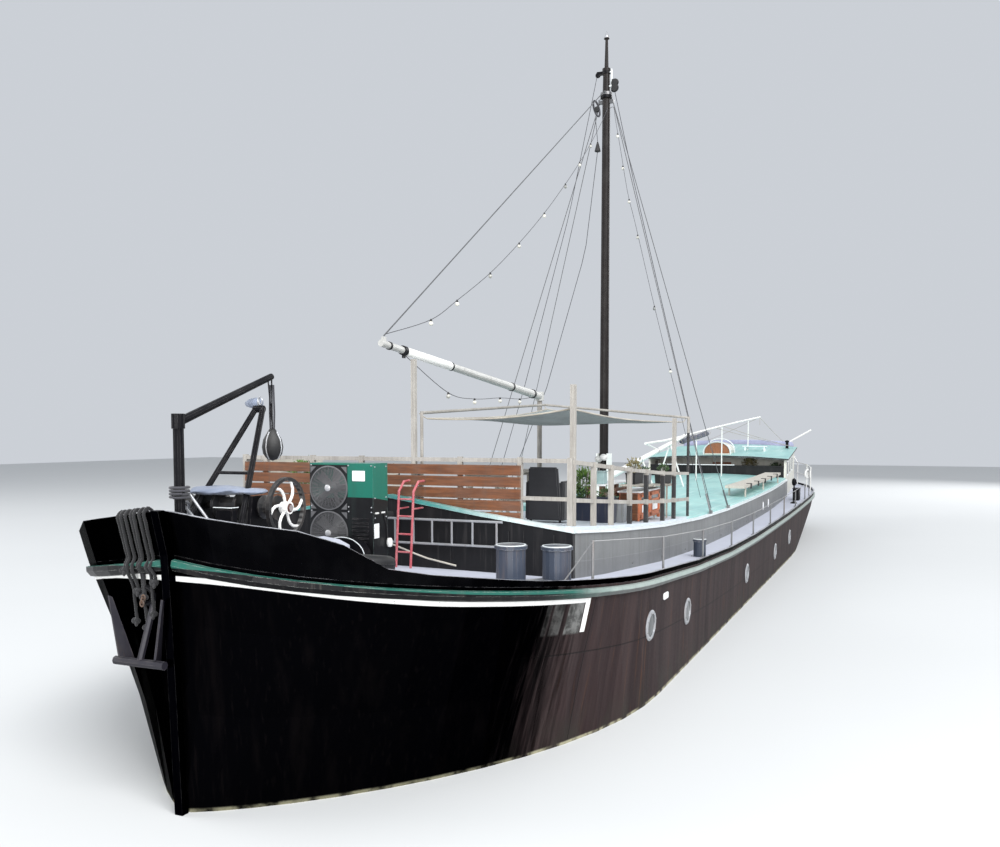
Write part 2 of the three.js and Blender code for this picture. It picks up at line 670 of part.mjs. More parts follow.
const CLOTH_SAG = 90;
const CLOTH_THICK = 12;

function clothPoint(u, v) {
  const { innerFront, outerFront, outerBack, innerBack } = clothCorners;
  const at = (k) => lerp(lerp(innerFront[k], outerFront[k], v), lerp(innerBack[k], outerBack[k], v), u);
  const sag = CLOTH_SAG * (2 * u * (1 - u) + 4 * v * (1 - v));
  return [at(0), at(1), at(2) - sag];
}
const clothSections = Array.from({ length: 9 }, (unused, i) => {
  const u = i / 8;
  const row = Array.from({ length: 6 }, (gone, j) => clothPoint(u, j / 5));
  return [...row, ...row.map(([x, y, z]) => [x, y, z - CLOTH_THICK]).reverse()];
});

function gridSkin(sections) {
  const count = sections[0].length;
  const half = count / 2;
  const positions = sections.flat(2);
  const faces = [];
  for (let s = 0; s + 1 < sections.length; s += 1) {
    for (let i = 0; i < count; i += 1) {
      const j = (i + 1) % count;
      faces.push(s * count + i, (s + 1) * count + i, (s + 1) * count + j);
      faces.push(s * count + i, (s + 1) * count + j, s * count + j);
    }
  }
  const last = (sections.length - 1) * count;
  for (let i = 0; i + 1 < half; i += 1) {
    const k = count - 1 - i;
    faces.push(i, i + 1, k - 1, i, k - 1, k);
    faces.push(last + i, last + k - 1, last + i + 1, last + i, last + k, last + k - 1);
  }
  return closedBody(positions, faces);
}
const clothLashings = [
  [clothCorners.innerFront, [aft(4200), 330, 3800]],
  [clothCorners.outerFront, [aft(4150), trunkHalf(4150) - RAIL_LINE, 3930]],
  [clothCorners.outerBack, [outerBackTop[0], outerBackTop[1], 3860]],
  [clothCorners.innerBack, [aft(9330), 130, 4110]],
].map(([from, to]) => rod(lift(from, -CLOTH_THICK / 2), to, 7, 6));
const cloth = join([gridSkin(clothSections), ...clothLashings]);
addPiece('awning_cloth', clearOf(clearOf(cloth, awningFrame), railingBody), clothGrey);

// Boom post with its pin, the white boom that slews on it, and the wire that holds it up
const postX = aft(BOOM_POST_AFT);
const POST_TOP = 4190;
const PIVOT_PIN = 22;
const boomPost = join([rod([postX, 0, floorHeight(BOOM_POST_AFT) - 30], [postX, 0, POST_TOP], 45, 12),
  rod([postX, 0, POST_TOP - 20], [postX, 0, POST_TOP + 150], PIVOT_PIN, 12),
  rod([postX, 0, floorHeight(BOOM_POST_AFT) - 30], [postX, 0, floorHeight(BOOM_POST_AFT) + 30], 110, 12)]);
addPiece('boom_post', seated(boomPost, terrace), steelBlack);

const BOOM_TIP = [aft(3720), 0, 4750];
const boomHeel = [postX + 55, 0, POST_TOP + 85];
const boomSolid = join([rod(boomHeel, BOOM_TIP, 72, 14, 45),
  rod([postX, 0, POST_TOP + SEAT], [postX, 0, POST_TOP + 160], 78, 16),
  block(BOOM_TIP[0] - 120, BOOM_TIP[0] - 40, -14, 14, BOOM_TIP[2] + 20, BOOM_TIP[2] + 85)]);
addPiece('boom', boomSolid.subtract(bore([postX, 0, POST_TOP - 5], [postX, 0, POST_TOP + 170], PIVOT_PIN)),
  sparWhite);

const MAST_X = aft(13400);
const MAST_TRUCK = 12170;
const HOUNDS_Z = 10900;
const mastFoot = floorHeight(13400) + ROOF_CAMBER - 40;
const mastProfile = [[0, mastFoot + 80], [98, mastFoot + 80], [98, 5000], [84, HOUNDS_Z - 60], [110,
  HOUNDS_Z - 55],
  [110, HOUNDS_Z], [82, HOUNDS_Z], [72, 11420], [90, 11425], [90, 11480], [45, 11490], [34, 11900], [30,
    12090],
  [62, 12110], [40, MAST_TRUCK], [0, MAST_TRUCK]];
const mast = turned(mastProfile, 16, [MAST_X, 0, 0]);
addPiece('mast', mast, steelBlack);

const CHEEK_TOP = 3150;
const mastCase = join([block(MAST_X - 170, MAST_X + 150, 104, 134, mastFoot - 60, CHEEK_TOP),
  block(MAST_X - 170, MAST_X + 150, -134, -104, mastFoot - 60, CHEEK_TOP),
  block(MAST_X + 101, MAST_X + 150, -134, 134, mastFoot - 60, CHEEK_TOP - 500),
  block(MAST_X - 230, MAST_X + 230, -230, 230, mastFoot - 60, mastFoot + 80 - SEAT)]);
addPiece('mast_case', seated(mastCase, hatchRoof), steelBlack);

const LIFT_TOP = [MAST_X + 150, 0, 10960];
const liftEnd = [BOOM_TIP[0] - 80, 0, BOOM_TIP[2] + 100];
const liftRing = turned([[86, 0], [125, 0], [125, 70], [86, 70], [86, 0]], 16, [MAST_X, 0, HOUNDS_Z + SEAT]);
const liftArm = rod([MAST_X + 105, 0, HOUNDS_Z + 36], LIFT_TOP, 22, 8);
addPiece('boom_lift', join([liftRing, liftArm, rod(LIFT_TOP, liftEnd, 9, 6)]), steelBlack);

// Shrouds from the lower band to plates on the coaming
[['port', 1], ['starboard', -1]].forEach(([side, sign]) => {
  const top = [MAST_X, sign * 150, HOUNDS_Z - 130];
  const lug = block(MAST_X - 30, MAST_X + 30, sign * 115 - 55, sign * 115 + 55, HOUNDS_Z - 160,
    HOUNDS_Z - 90);
  const parts = [lug];
  [12300, 14300].forEach((d) => {
    const y = sign * (trunkHalf(d) - 10);
    const foot = [aft(d), y, coamingTop(d) + CAP_HEIGHT + 1];
    const screw = [0, 1, 2].map((k) => lerp(foot[k], top[k], 0.045));
    parts.push(rod(foot, top, 8, 6));
    parts.push(rod(foot, screw, 20, 6));
    parts.push(block(aft(d) - 60, aft(d) + 60, y - 25, y + 25, coamingTop(d) + CAP_HEIGHT - 30,
      foot[2] + 60));
  });
  const cap = boat.getObjectByName(`coaming_capping_${side}`);
  const capBody = solid(cap.geometry);
  addPiece(`shrouds_${side}`, clearOf(seated(seated(join(parts), capBody), hatchRoof), mast), steelBlack);
});

// Side deck rails: stanchions and a wire, one node on each side
const stanchionRows = [3400, 6200, 9000, 11800, 14600, 17400, 20200, 23000, 25800];
const STANCHION = 500;
[['port', 1], ['starboard', -1]].forEach(([side, sign]) => {
  const foot = stanchionRows.map((d) => {
    const { y, z } = edgeAt(aft(d));
    return [aft(d), sign * (y - 105), z];
  });
  const parts = foot.map(([x, y, z]) => rod([x, y, z - 20], [x, y, z + STANCHION], 17, 8));
  foot.forEach(([x, y, z]) => parts.push(rod([x, y, z - 20], [x, y, z + 18], 42, 8)));
  parts.push(rail(foot.map(([x, y, z]) => [x, y, z + STANCHION - 12]), 8, 6));
  const [x, y, z] = foot[0];
  const stayFoot = [x + 620, sign * (edgeAt(x + 620).y - 140), edgeAt(x + 620).z];
  parts.push(rod(lift(stayFoot, -10), [x, y, z + STANCHION - 14], 8, 6));
  addPiece(`side_rail_${side}`, seated(seated(join(parts), hull), bulwark), steelBlack);
});

// Pushpit round the stern, and the canvas covered shelter that it helps to carry over the helm
const pushpitIndexes = edge.map((point, i) => i).filter((i) =>
  edge[i].x < aft(27900) && (STATIONS - 1 - i) % 2 === 0);
const pushpitSide = pushpitIndexes.map((i) => {
  const [nx, ny] = outward(i);
  return [edge[i].x - nx * 120, edge[i].y - ny * 120, edge[i].z];
});
const pushpitLine = [...pushpitSide, ...mirrored(pushpitSide.slice(0, -1)).reverse()];
const pushpitParts = [];
[860, 450].forEach((up) => pushpitParts.push(rail(pushpitLine.map((point) => lift(point, up)), 19, 6)));
pushpitLine.forEach((point, i) => {
  pushpitParts.push(rod(lift(point, -20), lift(point, 860), 19, 6));
});
const SHELTER_BOTTOM = 2970;
const SHELTER_HEIGHT = 300;
// Plan of the shelter: x and half width
const shelterPlan = [[-14450, 2020], [-14520, 2120], [-15300, 1900], [-16020, 1620], [-16100, 1520]];

function shelterSection([x, half], i) {
  const pinch = i === 0 || i === shelterPlan.length - 1 ? 40 : 0;
  const low = SHELTER_BOTTOM + pinch;
  const high = SHELTER_BOTTOM + SHELTER_HEIGHT - pinch;
  const side = [[half - 50, low], [half, low + 60], [half, high - 110], [half - 70, high - 30], [half / 2,
    high + 15]];
  return [...side.map(([y, z]) => [x, y, z]), [x, 0, high + 30], ...side.map(([y, z]) => [x, -y,
    z]).reverse()];
}
pushpitParts.push(skin(shelterPlan.map(shelterSection)));
const shelterLegs = [[pushpitSide[2], [-15210, 1880]], [pushpitSide[3], [-15960, 1560]]];
[1, -1].forEach((sign) => {
  shelterLegs.forEach(([[x, y, z], [headX, headY]]) => {
    pushpitParts.push(rod([x, sign * y, z + 840], [headX, sign * headY, SHELTER_BOTTOM + 60], 18, 8));
  });
  pushpitParts.push(rod([-14640, sign * 1880, 1500], [-14640, sign * 1880, SHELTER_BOTTOM + 60], 20, 8));
});
addPiece('pushpit', seated(join(pushpitParts), hull), sparWhite);

// Mooring bollards: pairs on the foredeck and single posts further aft
const deckAt = (d) => edgeAt(aft(d)).z;

function bollard(x, y, base, radius, height) {
  return turned([[0, -60], [radius, -60], [radius, height - 45], [radius * 1.12, height - 40],
    [radius * 1.12, height - 6],
    [radius * 0.9, height], [0, height]], 18, [x, y, base]);
}
const drums = [[2560, 2290], [3060, 2640]].map(([d, y]) => bollard(aft(d), y, deckAt(d) + 25, 162, 400));
const drumBed = plate([[-420, -120], [420, -120], [420, 120], [-420, 120]], 60, [aft(2810), 2465,
  deckAt(2810) - 30],
  [-0.82, 0.57, 0], [-0.57, -0.82, 0]);
const drumPair = seated(join([...drums, drumBed]), hull);
const single = seated(bollard(aft(9350), edgeAt(aft(9350)).y - 230, deckAt(9350) + 10, 105, 300), hull);
addPiece('bollard_pair_port', drumPair, drumBlue);
addPiece('bollard_pair_starboard', drumPair.mirror([0, 1, 0]), drumBlue);
addPiece('bollard_single_port', single, drumBlue);
addPiece('bollard_single_starboard', single.mirror([0, 1, 0]), drumBlue);

// Windlass: cheeks on a bed, and the shaft that carries the flywheel and drums
const WINDLASS_X = aft(760);
const WINDLASS_Z = 2870;
const cheekOutline = [[-260, -760], [260, -760], [120, 110], [-120, 110]];
const windlassParts = [-330, 330].map((y) => {
  return plate(cheekOutline, 40, [WINDLASS_X, y + 20, WINDLASS_Z], [1, 0, 0], [0, 0, 1]);
});
windlassParts.push(block(WINDLASS_X - 300, WINDLASS_X + 300, -420, 420, 2100, 2460));
windlassParts.push(block(WINDLASS_X + 60, WINDLASS_X + 220, -290, 290, 2440, 2690));
const WINDLASS_SHAFT = 32;
const windlassBore = bore([WINDLASS_X, -600, WINDLASS_Z], [WINDLASS_X, 600, WINDLASS_Z], WINDLASS_SHAFT);
addPiece('windlass_frame', seated(join(windlassParts).subtract(windlassBore), hull), steelBlack);

const WHEEL_Y = 660;
const WHEEL_RADIUS = 300;

function flywheel() {
  const rim = turned([[WHEEL_RADIUS - 34, -22], [WHEEL_RADIUS, -22], [WHEEL_RADIUS, 22], [WHEEL_RADIUS - 34,
    22],
    [WHEEL_RADIUS - 34, -22]], 28, [WINDLASS_X, WHEEL_Y, WINDLASS_Z], [0, 1, 0]);
  const parts = [rim, rod([WINDLASS_X, -560, WINDLASS_Z], [WINDLASS_X, 720, WINDLASS_Z], WINDLASS_SHAFT, 12),
    rod([WINDLASS_X, WHEEL_Y - 45, WINDLASS_Z], [WINDLASS_X, WHEEL_Y + 45, WINDLASS_Z], 62, 14)];
  for (let spoke = 0; spoke < 6; spoke += 1) {
    const bend = (radius, extra) => {
      const turn = rad(60 * spoke + extra);
      return new THREE.Vector3(WINDLASS_X + radius * Math.cos(turn), WHEEL_Y,
        WINDLASS_Z + radius * Math.sin(turn));
    };
    const path = new THREE.CatmullRomCurve3([bend(30, 0), bend(120, 14), bend(200, 4),
      bend(WHEEL_RADIUS - 18, -16)]);
    const round = new THREE.Shape([0, 1, 2, 3, 4, 5].map((k) => {
      return new THREE.Vector2(15 * Math.cos(rad(60 * k)), 15 * Math.sin(rad(60 * k)));
    }));
    parts.push(solid(new THREE.ExtrudeGeometry(round, { steps: 6, extrudePath: path })));
  }
  const drum = [[0, 0], [120, 0], [120, 14], [82, 40], [74, 80], [82, 120], [120, 146], [120, 160], [0, 160]];
  parts.push(turned(drum, 16, [WINDLASS_X, 400, WINDLASS_Z], [0, 1, 0]));
  parts.push(turned(drum, 16, [WINDLASS_X, -560, WINDLASS_Z], [0, 1, 0]));
  parts.push(turned([[0, 0], [150, 0], [150, 30], [90, 60], [90, 240], [150, 270], [150, 300], [0, 300]], 16,
    [WINDLASS_X, -150, WINDLASS_Z], [0, 1, 0]));
  return join(parts);
}
addPiece('windlass_flywheel', flywheel(), steelBlack);

// Fore hatch with a rounded lid behind the windlass
const HATCH_AFT = 1780;
const HATCH_Y = 180;
const HATCH_Z = 2310;
const hatchX = aft(HATCH_AFT);
const hatchFrame = block(hatchX - 330, hatchX + 330, HATCH_Y - 330, HATCH_Y + 330, HATCH_Z - 400, HATCH_Z);
addPiece('fore_hatch_frame', seated(hatchFrame, hull), steelBlack);
const lidOutline = [[-340, SEAT], [340, SEAT], [340, 40], [200, 100], [0, 125], [-200, 100], [-340, 40]];
const hatchLid = plate(lidOutline, 680, [hatchX - 340, HATCH_Y, HATCH_Z], [0, 1, 0], [0, 0, 1]);
addPiece('fore_hatch_lid', hatchLid, deckPale);

// Davit: king post at the stem, the A-frame that backs it, and the swinging spar with its block
const KING_X = STEM_X - 20;
const KING_TOP = 3640;
const kingPost = join([rod([KING_X, 0, 2300], [KING_X, 0, KING_TOP], 50, 12),
  rod([KING_X, 0, KING_TOP - 20], [KING_X, 0, KING_TOP + 130], PIVOT_PIN, 12),
  rod([KING_X, 0, 2300], [KING_X, 0, 2450], 72, 12)]);
addPiece('king_post', seated(kingPost, hull), steelBlack);

const davitTip = [STEM_X - 1440, 0, 4200];
const davitSpar = join([rod([KING_X, 0, KING_TOP + 60], davitTip, 42, 10, 34),
  rod([KING_X, 0, KING_TOP + SEAT], [KING_X, 0, KING_TOP + 140], 62, 14),
  rod(davitTip, [davitTip[0], 0, 3560], 9, 6), rod([davitTip[0] + 60, 0, 4150], [davitTip[0], 0, 3700], 9, 6),
  turned([[0, -105], [80, -75], [100, 0], [80, 75], [0, 105]], 14, [davitTip[0], 0, 3480])]);
const davitBore = bore([KING_X, 0, KING_TOP - 5], [KING_X, 0, KING_TOP + 150], PIVOT_PIN);
addPiece('davit_spar', davitSpar.subtract(davitBore), steelBlack);

const aHead = [STEM_X - 1220, 0, 3850];
const aParts = [rod([aHead[0], -60, aHead[2]], [aHead[0], 60, aHead[2]], 38, 10)];
[1, -1].forEach((sign) => {
  aParts.push(rod([STEM_X - 260, sign * 420, 2380], [aHead[0], sign * 45, aHead[2]], 30, 8));
  aParts.push(rod([STEM_X - 260, sign * 420, 2150], [STEM_X - 260, sign * 420, 2430], 70, 8));
});
aParts.push(rod([STEM_X - 795, -211, 3200], [STEM_X - 795, 211, 3200], 16, 8));
addPiece('davit_a_frame', seated(join(aParts), hull), steelBlack);

// Anchor stowed at the bow, and the rope fender beside it
const anchorX = STEM_X + 190;
const crown = [anchorX, -330, 1450];
const fluke = (sign) => plate([[-90, 0], [90, 0], [20, 620], [-20, 620]], 26,
  [crown[0] - 40, crown[1] + sign * 190, crown[2] + 10], [0.2, sign * 0.1, 0.12], [0.1, sign * 0.22, 1]);
const anchor = join([rod([crown[0], crown[1] - 300, crown[2]], [crown[0], crown[1] + 300, crown[2]], 42, 8),
  rod(crown, [STEM_X + 30, -250, 2120], 32, 8), fluke(1), fluke(-1)]);
addPiece('anchor', anchor.subtract(rawHull.translate([1, 0, 0])).subtract(rawHull.translate([0.5, -1, 0])),
  rust);

// Heat pump on the foredeck with two fans
const pumpAft = 2480;
const pumpX = aft(pumpAft);
const PUMP_DEPTH = 330;
const PUMP_LEFT = -250;
const PUMP_RIGHT = 610;
const PUMP_BASE = 1990;
const PUMP_TOP = 3250;
const FAN_RADIUS = 250;
const fanHeights = [2960, 2430];
const fanY = 10;
const recess = fanHeights.map((z) => rod([pumpX - 160, fanY, z], [pumpX + 10, fanY, z], FAN_RADIUS + 8, 24));
const FAN_PIN = 14;
const hubBore = (FAN_PIN + SEAT) / Math.cos(rad(180 / 16));
const fanPins = fanHeights.map((z) => rod([pumpX - 170, fanY, z], [pumpX - 70, fanY, z], FAN_PIN, 16));
const pumpBody = block(pumpX - PUMP_DEPTH, pumpX, PUMP_LEFT, PUMP_RIGHT, PUMP_BASE + 80, PUMP_TOP);
const pumpFeet = [PUMP_LEFT + 60, PUMP_RIGHT - 140].map((y) => {
  return block(pumpX - PUMP_DEPTH, pumpX, y, y + 80, PUMP_BASE, PUMP_BASE + 81);
});
const pumpCut = recess.reduce((whole, cut) => whole.subtract(cut), join([pumpBody, ...pumpFeet]));
addPiece('heat_pump_casing', seated(join([pumpCut, ...fanPins]), hull), unitGreen);
['upper', 'lower'].forEach((level, k) => {
  const z = fanHeights[k];
  const parts = [turned([[hubBore, 0], [70, 0], [70, 70], [60, 80], [hubBore, 80], [hubBore, 0]], 16,
    [pumpX - 160 + SEAT, fanY, z], [1, 0, 0])];
  for (let blade = 0; blade < 5; blade += 1) {
    const turn = rad(72 * blade);
    const radial = [0, Math.cos(turn), Math.sin(turn)];
    const chord = [0.5, -Math.sin(turn) * 0.85, Math.cos(turn) * 0.85];
    parts.push(plate([[60, -35], [FAN_RADIUS - 8, -60], [FAN_RADIUS - 8, 60], [60, 35]], 8,
      [pumpX - 110, fanY, z], radial, chord));
  }
  addPiece(`heat_pump_fan_${level}`, join(parts), fanGrey);
});

// Red ladder hooked over the front wall
const ladderX = aft(3560);
const ladderY = [290, 500];
const LADDER_LEAN = 90;
const LADDER_KNEE = 2860;
const ladderAt = (share) => [ladderX - LADDER_LEAN * share, lerp(1880, LADDER_KNEE, share)];
const ladderParts = ladderY.map((y) => {
  const [x, z] = ladderAt(1);
  return rail([[ladderX, y, 1880], [x, y, z], [x - 130, y, z + 120], [aft(3930), y, z + 125]], 16, 8);
});
[0.22, 0.45, 0.68, 0.9].forEach((share) => {
  const [x, z] = ladderAt(share);
  ladderParts.push(rod([x, ladderY[0], z], [x, ladderY[1], z], 12, 8));
});
ladderY.forEach((y) => ladderParts.push(rod([ladderAt(0.78)[0], y, 2640], [aft(trunkFrontAft) + SEAT, y,
  2640], 11, 6)));
addPiece('ladder', seated(join(ladderParts), hull), ladderRed);

// Rack of bars on the front wall
const rackX = aft(trunkFrontAft) + 55;
const rackParts = [2495, 2185].map((z) => rod([rackX, -60, z], [rackX, 1640, z], 16, 6));
[120, 390, 660, 940, 1230, 1560].forEach((y) => {
  rackParts.push(rod([rackX, y, 2175], [rackX, y, 2505], 14, 6));
});
[[120, 2185], [1560, 2185], [120, 2495], [1560, 2495]].forEach(([y, z]) => {
  rackParts.push(rod([rackX, y, z], [aft(trunkFrontAft) + SEAT, y, z], 12, 8));
});
addPiece('front_wall_rack', join(rackParts), sparWhite);

// Gangplank stowed along the port edge of the hatch roof on two bearers
const plankStart = 17200;
const plankEnd = 24400;
const plankY = [2000, 2480];
const plankZ = (d) => floorHeight(d) + 235;
const plankSections = stationsBetween(plankStart, plankEnd).map((d) => {
  const [y0, y1] = plankY;
  return [[aft(d), y1, plankZ(d)], [aft(d), y1, plankZ(d) + 70], [aft(d), y0, plankZ(d) + 70], [aft(d), y0,
    plankZ(d)]];
});
const plankParts = [skin(plankSections)];
[17600, 20800, 24000].forEach((d) => {
  plankY.forEach((y, i) => {
    const inset = i === 0 ? 40 : -40;
    plankParts.push(rod([aft(d), y + inset, floorHeight(d) - 12], [aft(d), y + inset, plankZ(d) + 5], 24, 8));
  });
});
addPiece('gangplank', seated(join(plankParts), hatchRoof), coamingGrey);

// After house: walls with windows, porch wall, roof, companion and doors
const houseFrontX = aft(houseFrontAft);
const houseBackX = aft(houseBackAft);
const HOUSE_FRONT_HALF = 2380;
const HOUSE_BACK_HALF = 2200;
const HOUSE_WALL = 60;
const EAVES_FRONT = 2680;
const EAVES_BACK = 3000;
const houseShare = (d) => (d - houseFrontAft) / (houseBackAft - houseFrontAft);
const houseHalf = (d) => lerp(HOUSE_FRONT_HALF, HOUSE_BACK_HALF, houseShare(d));
const eaves = (d) => lerp(EAVES_FRONT, EAVES_BACK, houseShare(d));

const ROOF_THICK = 55;
const roofSections = [houseFrontAft - 120, houseBackAft + 160].map((d) => {
  const half = houseHalf(d) + 90;
  const low = eaves(d) + SEAT;
  const at = (y, up) => [aft(d), y, low + up];
  return [at(half, 0), at(half, ROOF_THICK), at(half / 2, ROOF_THICK + 75), at(0, ROOF_THICK + 100),
    at(-half / 2, ROOF_THICK + 75), at(-half, ROOF_THICK), at(-half, 0), at(-half / 2, 75), at(0, 100),
      at(half / 2, 75)];
});

function archSkin(sections) {
  const positions = sections.flat(2);
  const faces = [];
  const count = 10;
  for (let i = 0; i < count; i += 1) {
    const j = (i + 1) % count;
    faces.push(i, j, j + count, i, j + count, i + count);
  }
  const strip = [[0, 1, 2, 9], [9, 2, 3, 8], [8, 3, 4, 7], [7, 4, 5, 6]];
  strip.forEach(([a, b, c, d]) => {
    faces.push(a, c, b, a, d, c);
    faces.push(count + a, count + b, count + c, count + a, count + c, count + d);
  });
  return closedBody(positions, faces);
}
const houseRoof = archSkin(roofSections);
addPiece('house_roof', houseRoof, roofAqua);

const underRoof = (wall) => largest(wall.subtract(houseRoof.translate([0, 0, -SEAT])));

function houseSide(sign) {
  const sections = [houseFrontAft, houseBackAft].map((d) => {
    const half = houseHalf(d);
    const low = edgeAt(aft(d)).z - 20;
    const high = eaves(d) + 30;
    return [[aft(d), sign * half, low], [aft(d), sign * half, high], [aft(d), sign * (half - HOUSE_WALL),
      high],
      [aft(d), sign * (half - HOUSE_WALL), low]];
  });
  const windows = [27450, 28500, 29550].map((d) => {
    const middle = (eaves(d) + edgeAt(aft(d)).z + 560) / 2;
    const y = sign * houseHalf(d);
    return block(aft(d + 260), aft(d - 260), y - 200, y + 200, middle - 210, middle + 210);
  });
  return seated(underRoof(windows.reduce((wall, cut) => wall.subtract(cut), skin(sections))), hull);
}
addPiece('house_wall_port', houseSide(1), creamWall);
addPiece('house_wall_starboard', houseSide(-1), creamWall);

// Cross walls, each with two windows and a door that turns on pins in its sill and head
const DOOR_HALF = 340;
const DOOR_PIN = 9;
const DOOR_THICK = 40;
const hingeY = DOOR_HALF - 37;

function crossWall(d, sill, head, windowBottom) {
  const half = houseHalf(d) - HOUSE_WALL - 1;
  const top = eaves(d);
  const whole = plate([[-half, 1400], [half, 1400], [half, top + 20], [half / 2, top + 85], [0, top + 125],
    [-half / 2, top + 85], [-half, top + 20]], HOUSE_WALL, [aft(d), 0, 0], [0, 1, 0], [0, 0, 1]);
  const through = (y0, y1, z0, z1) => block(aft(d) - 20, aft(d) + 100, y0, y1, z0, z1);
  const x = aft(d) + HOUSE_WALL / 2;
  const cuts = [through(-DOOR_HALF, DOOR_HALF, sill, head), through(900, 1600, windowBottom,
    windowBottom + 500),
    through(-1600, -900, windowBottom, windowBottom + 500),
    bore([x, hingeY, sill - 15], [x, hingeY, sill + 5], DOOR_PIN),
    bore([x, hingeY, head - 5], [x, hingeY, head + 15], DOOR_PIN)];
  return seated(underRoof(cuts.reduce((wall, cut) => wall.subtract(cut), whole)), hull);
}

function doorLeaf(d, sill, head) {
  const x = aft(d) + HOUSE_WALL / 2;
  const leaf = block(x - DOOR_THICK / 2, x + DOOR_THICK / 2, -DOOR_HALF + 6, DOOR_HALF - 14, sill + 6,
    head - 6);
  const pin = rod([x, hingeY, sill - 15 + SEAT], [x, hingeY, head + 15 - SEAT], DOOR_PIN, 12);
  const knobZ = (sill + head) / 2;
  return join([leaf, pin, rod([x - 65, -DOOR_HALF + 90, knobZ], [x + 65, -DOOR_HALF + 90, knobZ], 16, 8)]);
}
const innerFrontAft = 27900;
const frontDoor = [innerFrontAft, 1570, 2560];
const backDoor = [houseBackAft, 1650, 2760];
addPiece('house_wall_front', crossWall(...frontDoor, 1900), creamWall);
addPiece('house_wall_back', crossWall(...backDoor, 2120), creamWall);
addPiece('house_door_front', doorLeaf(...frontDoor), varnish);
addPiece('house_door_back', doorLeaf(...backDoor), varnish);

const porchAft = houseFrontAft + 20;
const porchHalf = houseHalf(porchAft + 90) - HOUSE_WALL - 1;
const porchWall = block(aft(porchAft + 60), aft(porchAft), -porchHalf, porchHalf, 1380, 2440);
const porchCap = block(aft(porchAft + 90), aft(porchAft - 30), -porchHalf, porchHalf, 2440, 2480);
addPiece('porch_wall', seated(porchWall.add(porchCap), hull), steelBlack);

const HOOD_HALF = 450;
const hoodFrontAft = 26900;
const hoodBackAft = 27800;
const hoodBase = eaves(hoodFrontAft) + ROOF_THICK + 60;

function archOutline(half, foot, shoulder) {
  const points = [[-half, foot], [half, foot]];
  for (let k = 0; k <= 8; k += 1) {
    const turn = rad(180 * k / 8);
    points.push([half * Math.cos(turn), shoulder + half * 0.62 * Math.sin(turn)]);
  }
  return points;
}
const hoodOuter = plate(archOutline(HOOD_HALF, hoodBase - 60, hoodBase + 180), 900, [aft(hoodBackAft), 0,
  0], [0, 1, 0],
  [0, 0, 1]);
const hoodInner = plate(archOutline(HOOD_HALF - 50, hoodBase - 100, hoodBase + 170), 880,
  [aft(hoodBackAft) + 60, 0, 0],
  [0, 1, 0], [0, 0, 1]);
const hoodFront = aft(hoodFrontAft);
const hoodSill = block(hoodFront - 60, hoodFront + 34, -HOOD_HALF + 8, HOOD_HALF - 8, hoodBase - 60,
  hoodBase + 66);
const hoodPin = [hoodFront + 18, -HOOD_HALF + 30];
const hoodPinBore = bore([...hoodPin, hoodBase + 46], [...hoodPin, hoodBase + 80], 6);
const hood = hoodOuter.subtract(hoodInner).add(hoodSill).subtract(hoodPinBore);
addPiece('companion_hood', seated(hood, houseRoof), capWhite);
const hoodDoor = plate(archOutline(HOOD_HALF - 20, hoodBase + 72, hoodBase + 176), 24, [hoodFront + 6, 0, 0],
  [0, 1, 0], [0, 0, 1]);
addPiece('companion_door', hoodDoor.add(rod([...hoodPin, hoodBase + 46 + SEAT], [...hoodPin, hoodBase + 90],
  6, 12)), varnish);

// Long spar with its heel pinned in the mast case, and the ridge pole that it carries over the roofs
const SPAR_SLOPE = -0.1171;
const sparAt = (x) => [x, 0, 2690 + (x - 2140) * SPAR_SLOPE];
const sparHeel = sparAt(MAST_X - 125);
const sparPin = sparAt(MAST_X - 145);
const sparHead = sparAt(-4860);
const ridgeLine = [[-350, 0, 3330], [-2400, 0, 3390], sparHead, [-7400, 320, 3740], [-10400, 620, 3970],
  [-13600, 980, 4200]];
const ridgeParts = [rod(sparHeel, sparHead, 75, 14, 58), rail(ridgeLine, 32, 8),
  rod([sparPin[0], 104 - SEAT, sparPin[2]], [sparPin[0], SEAT - 104, sparPin[2]], 18, 10),
  rod(ridgeLine[0], sparAt(-1750), 18, 8)];
[0, -3100].forEach((x) => {
  const [, , z] = sparAt(x);
  [1, -1].forEach((sign) => ridgeParts.push(rod([x, sign * 420, 2000], [x, 0, z], 22, 8)));
});

// Posts under the ridge pole, each at a share of one length of it
[[2, 0.45], [3, 0.42], [4, 0.49]].forEach(([leg, share]) => {
  const top = [0, 1, 2].map((k) => lerp(ridgeLine[leg][k], ridgeLine[leg + 1][k], share));
  ridgeParts.push(rod([top[0], top[1], top[0] < -9900 ? 2860 : 2000], top, 20, 8));
});
addPiece('ridge_spar', seated(seated(join(ridgeParts), hatchRoof), houseRoof), sparWhite);

// Helm on the after deck
const HELM_AFT = 32000;
const helmX = aft(HELM_AFT);
const helmZ = 2480;
const helmPedestal = join([block(helmX + 60, helmX + 200, -110, 110, 1500, helmZ + 90),
  block(helmX + 20, helmX + 240, -180, 180, 1480, 1640)]);
const HELM_SHAFT = 20;
const helmBore = bore([helmX - 50, 0, helmZ], [helmX + 170, 0, helmZ], HELM_SHAFT);
addPiece('helm_pedestal', seated(helmPedestal.subtract(helmBore), hull), varnish);

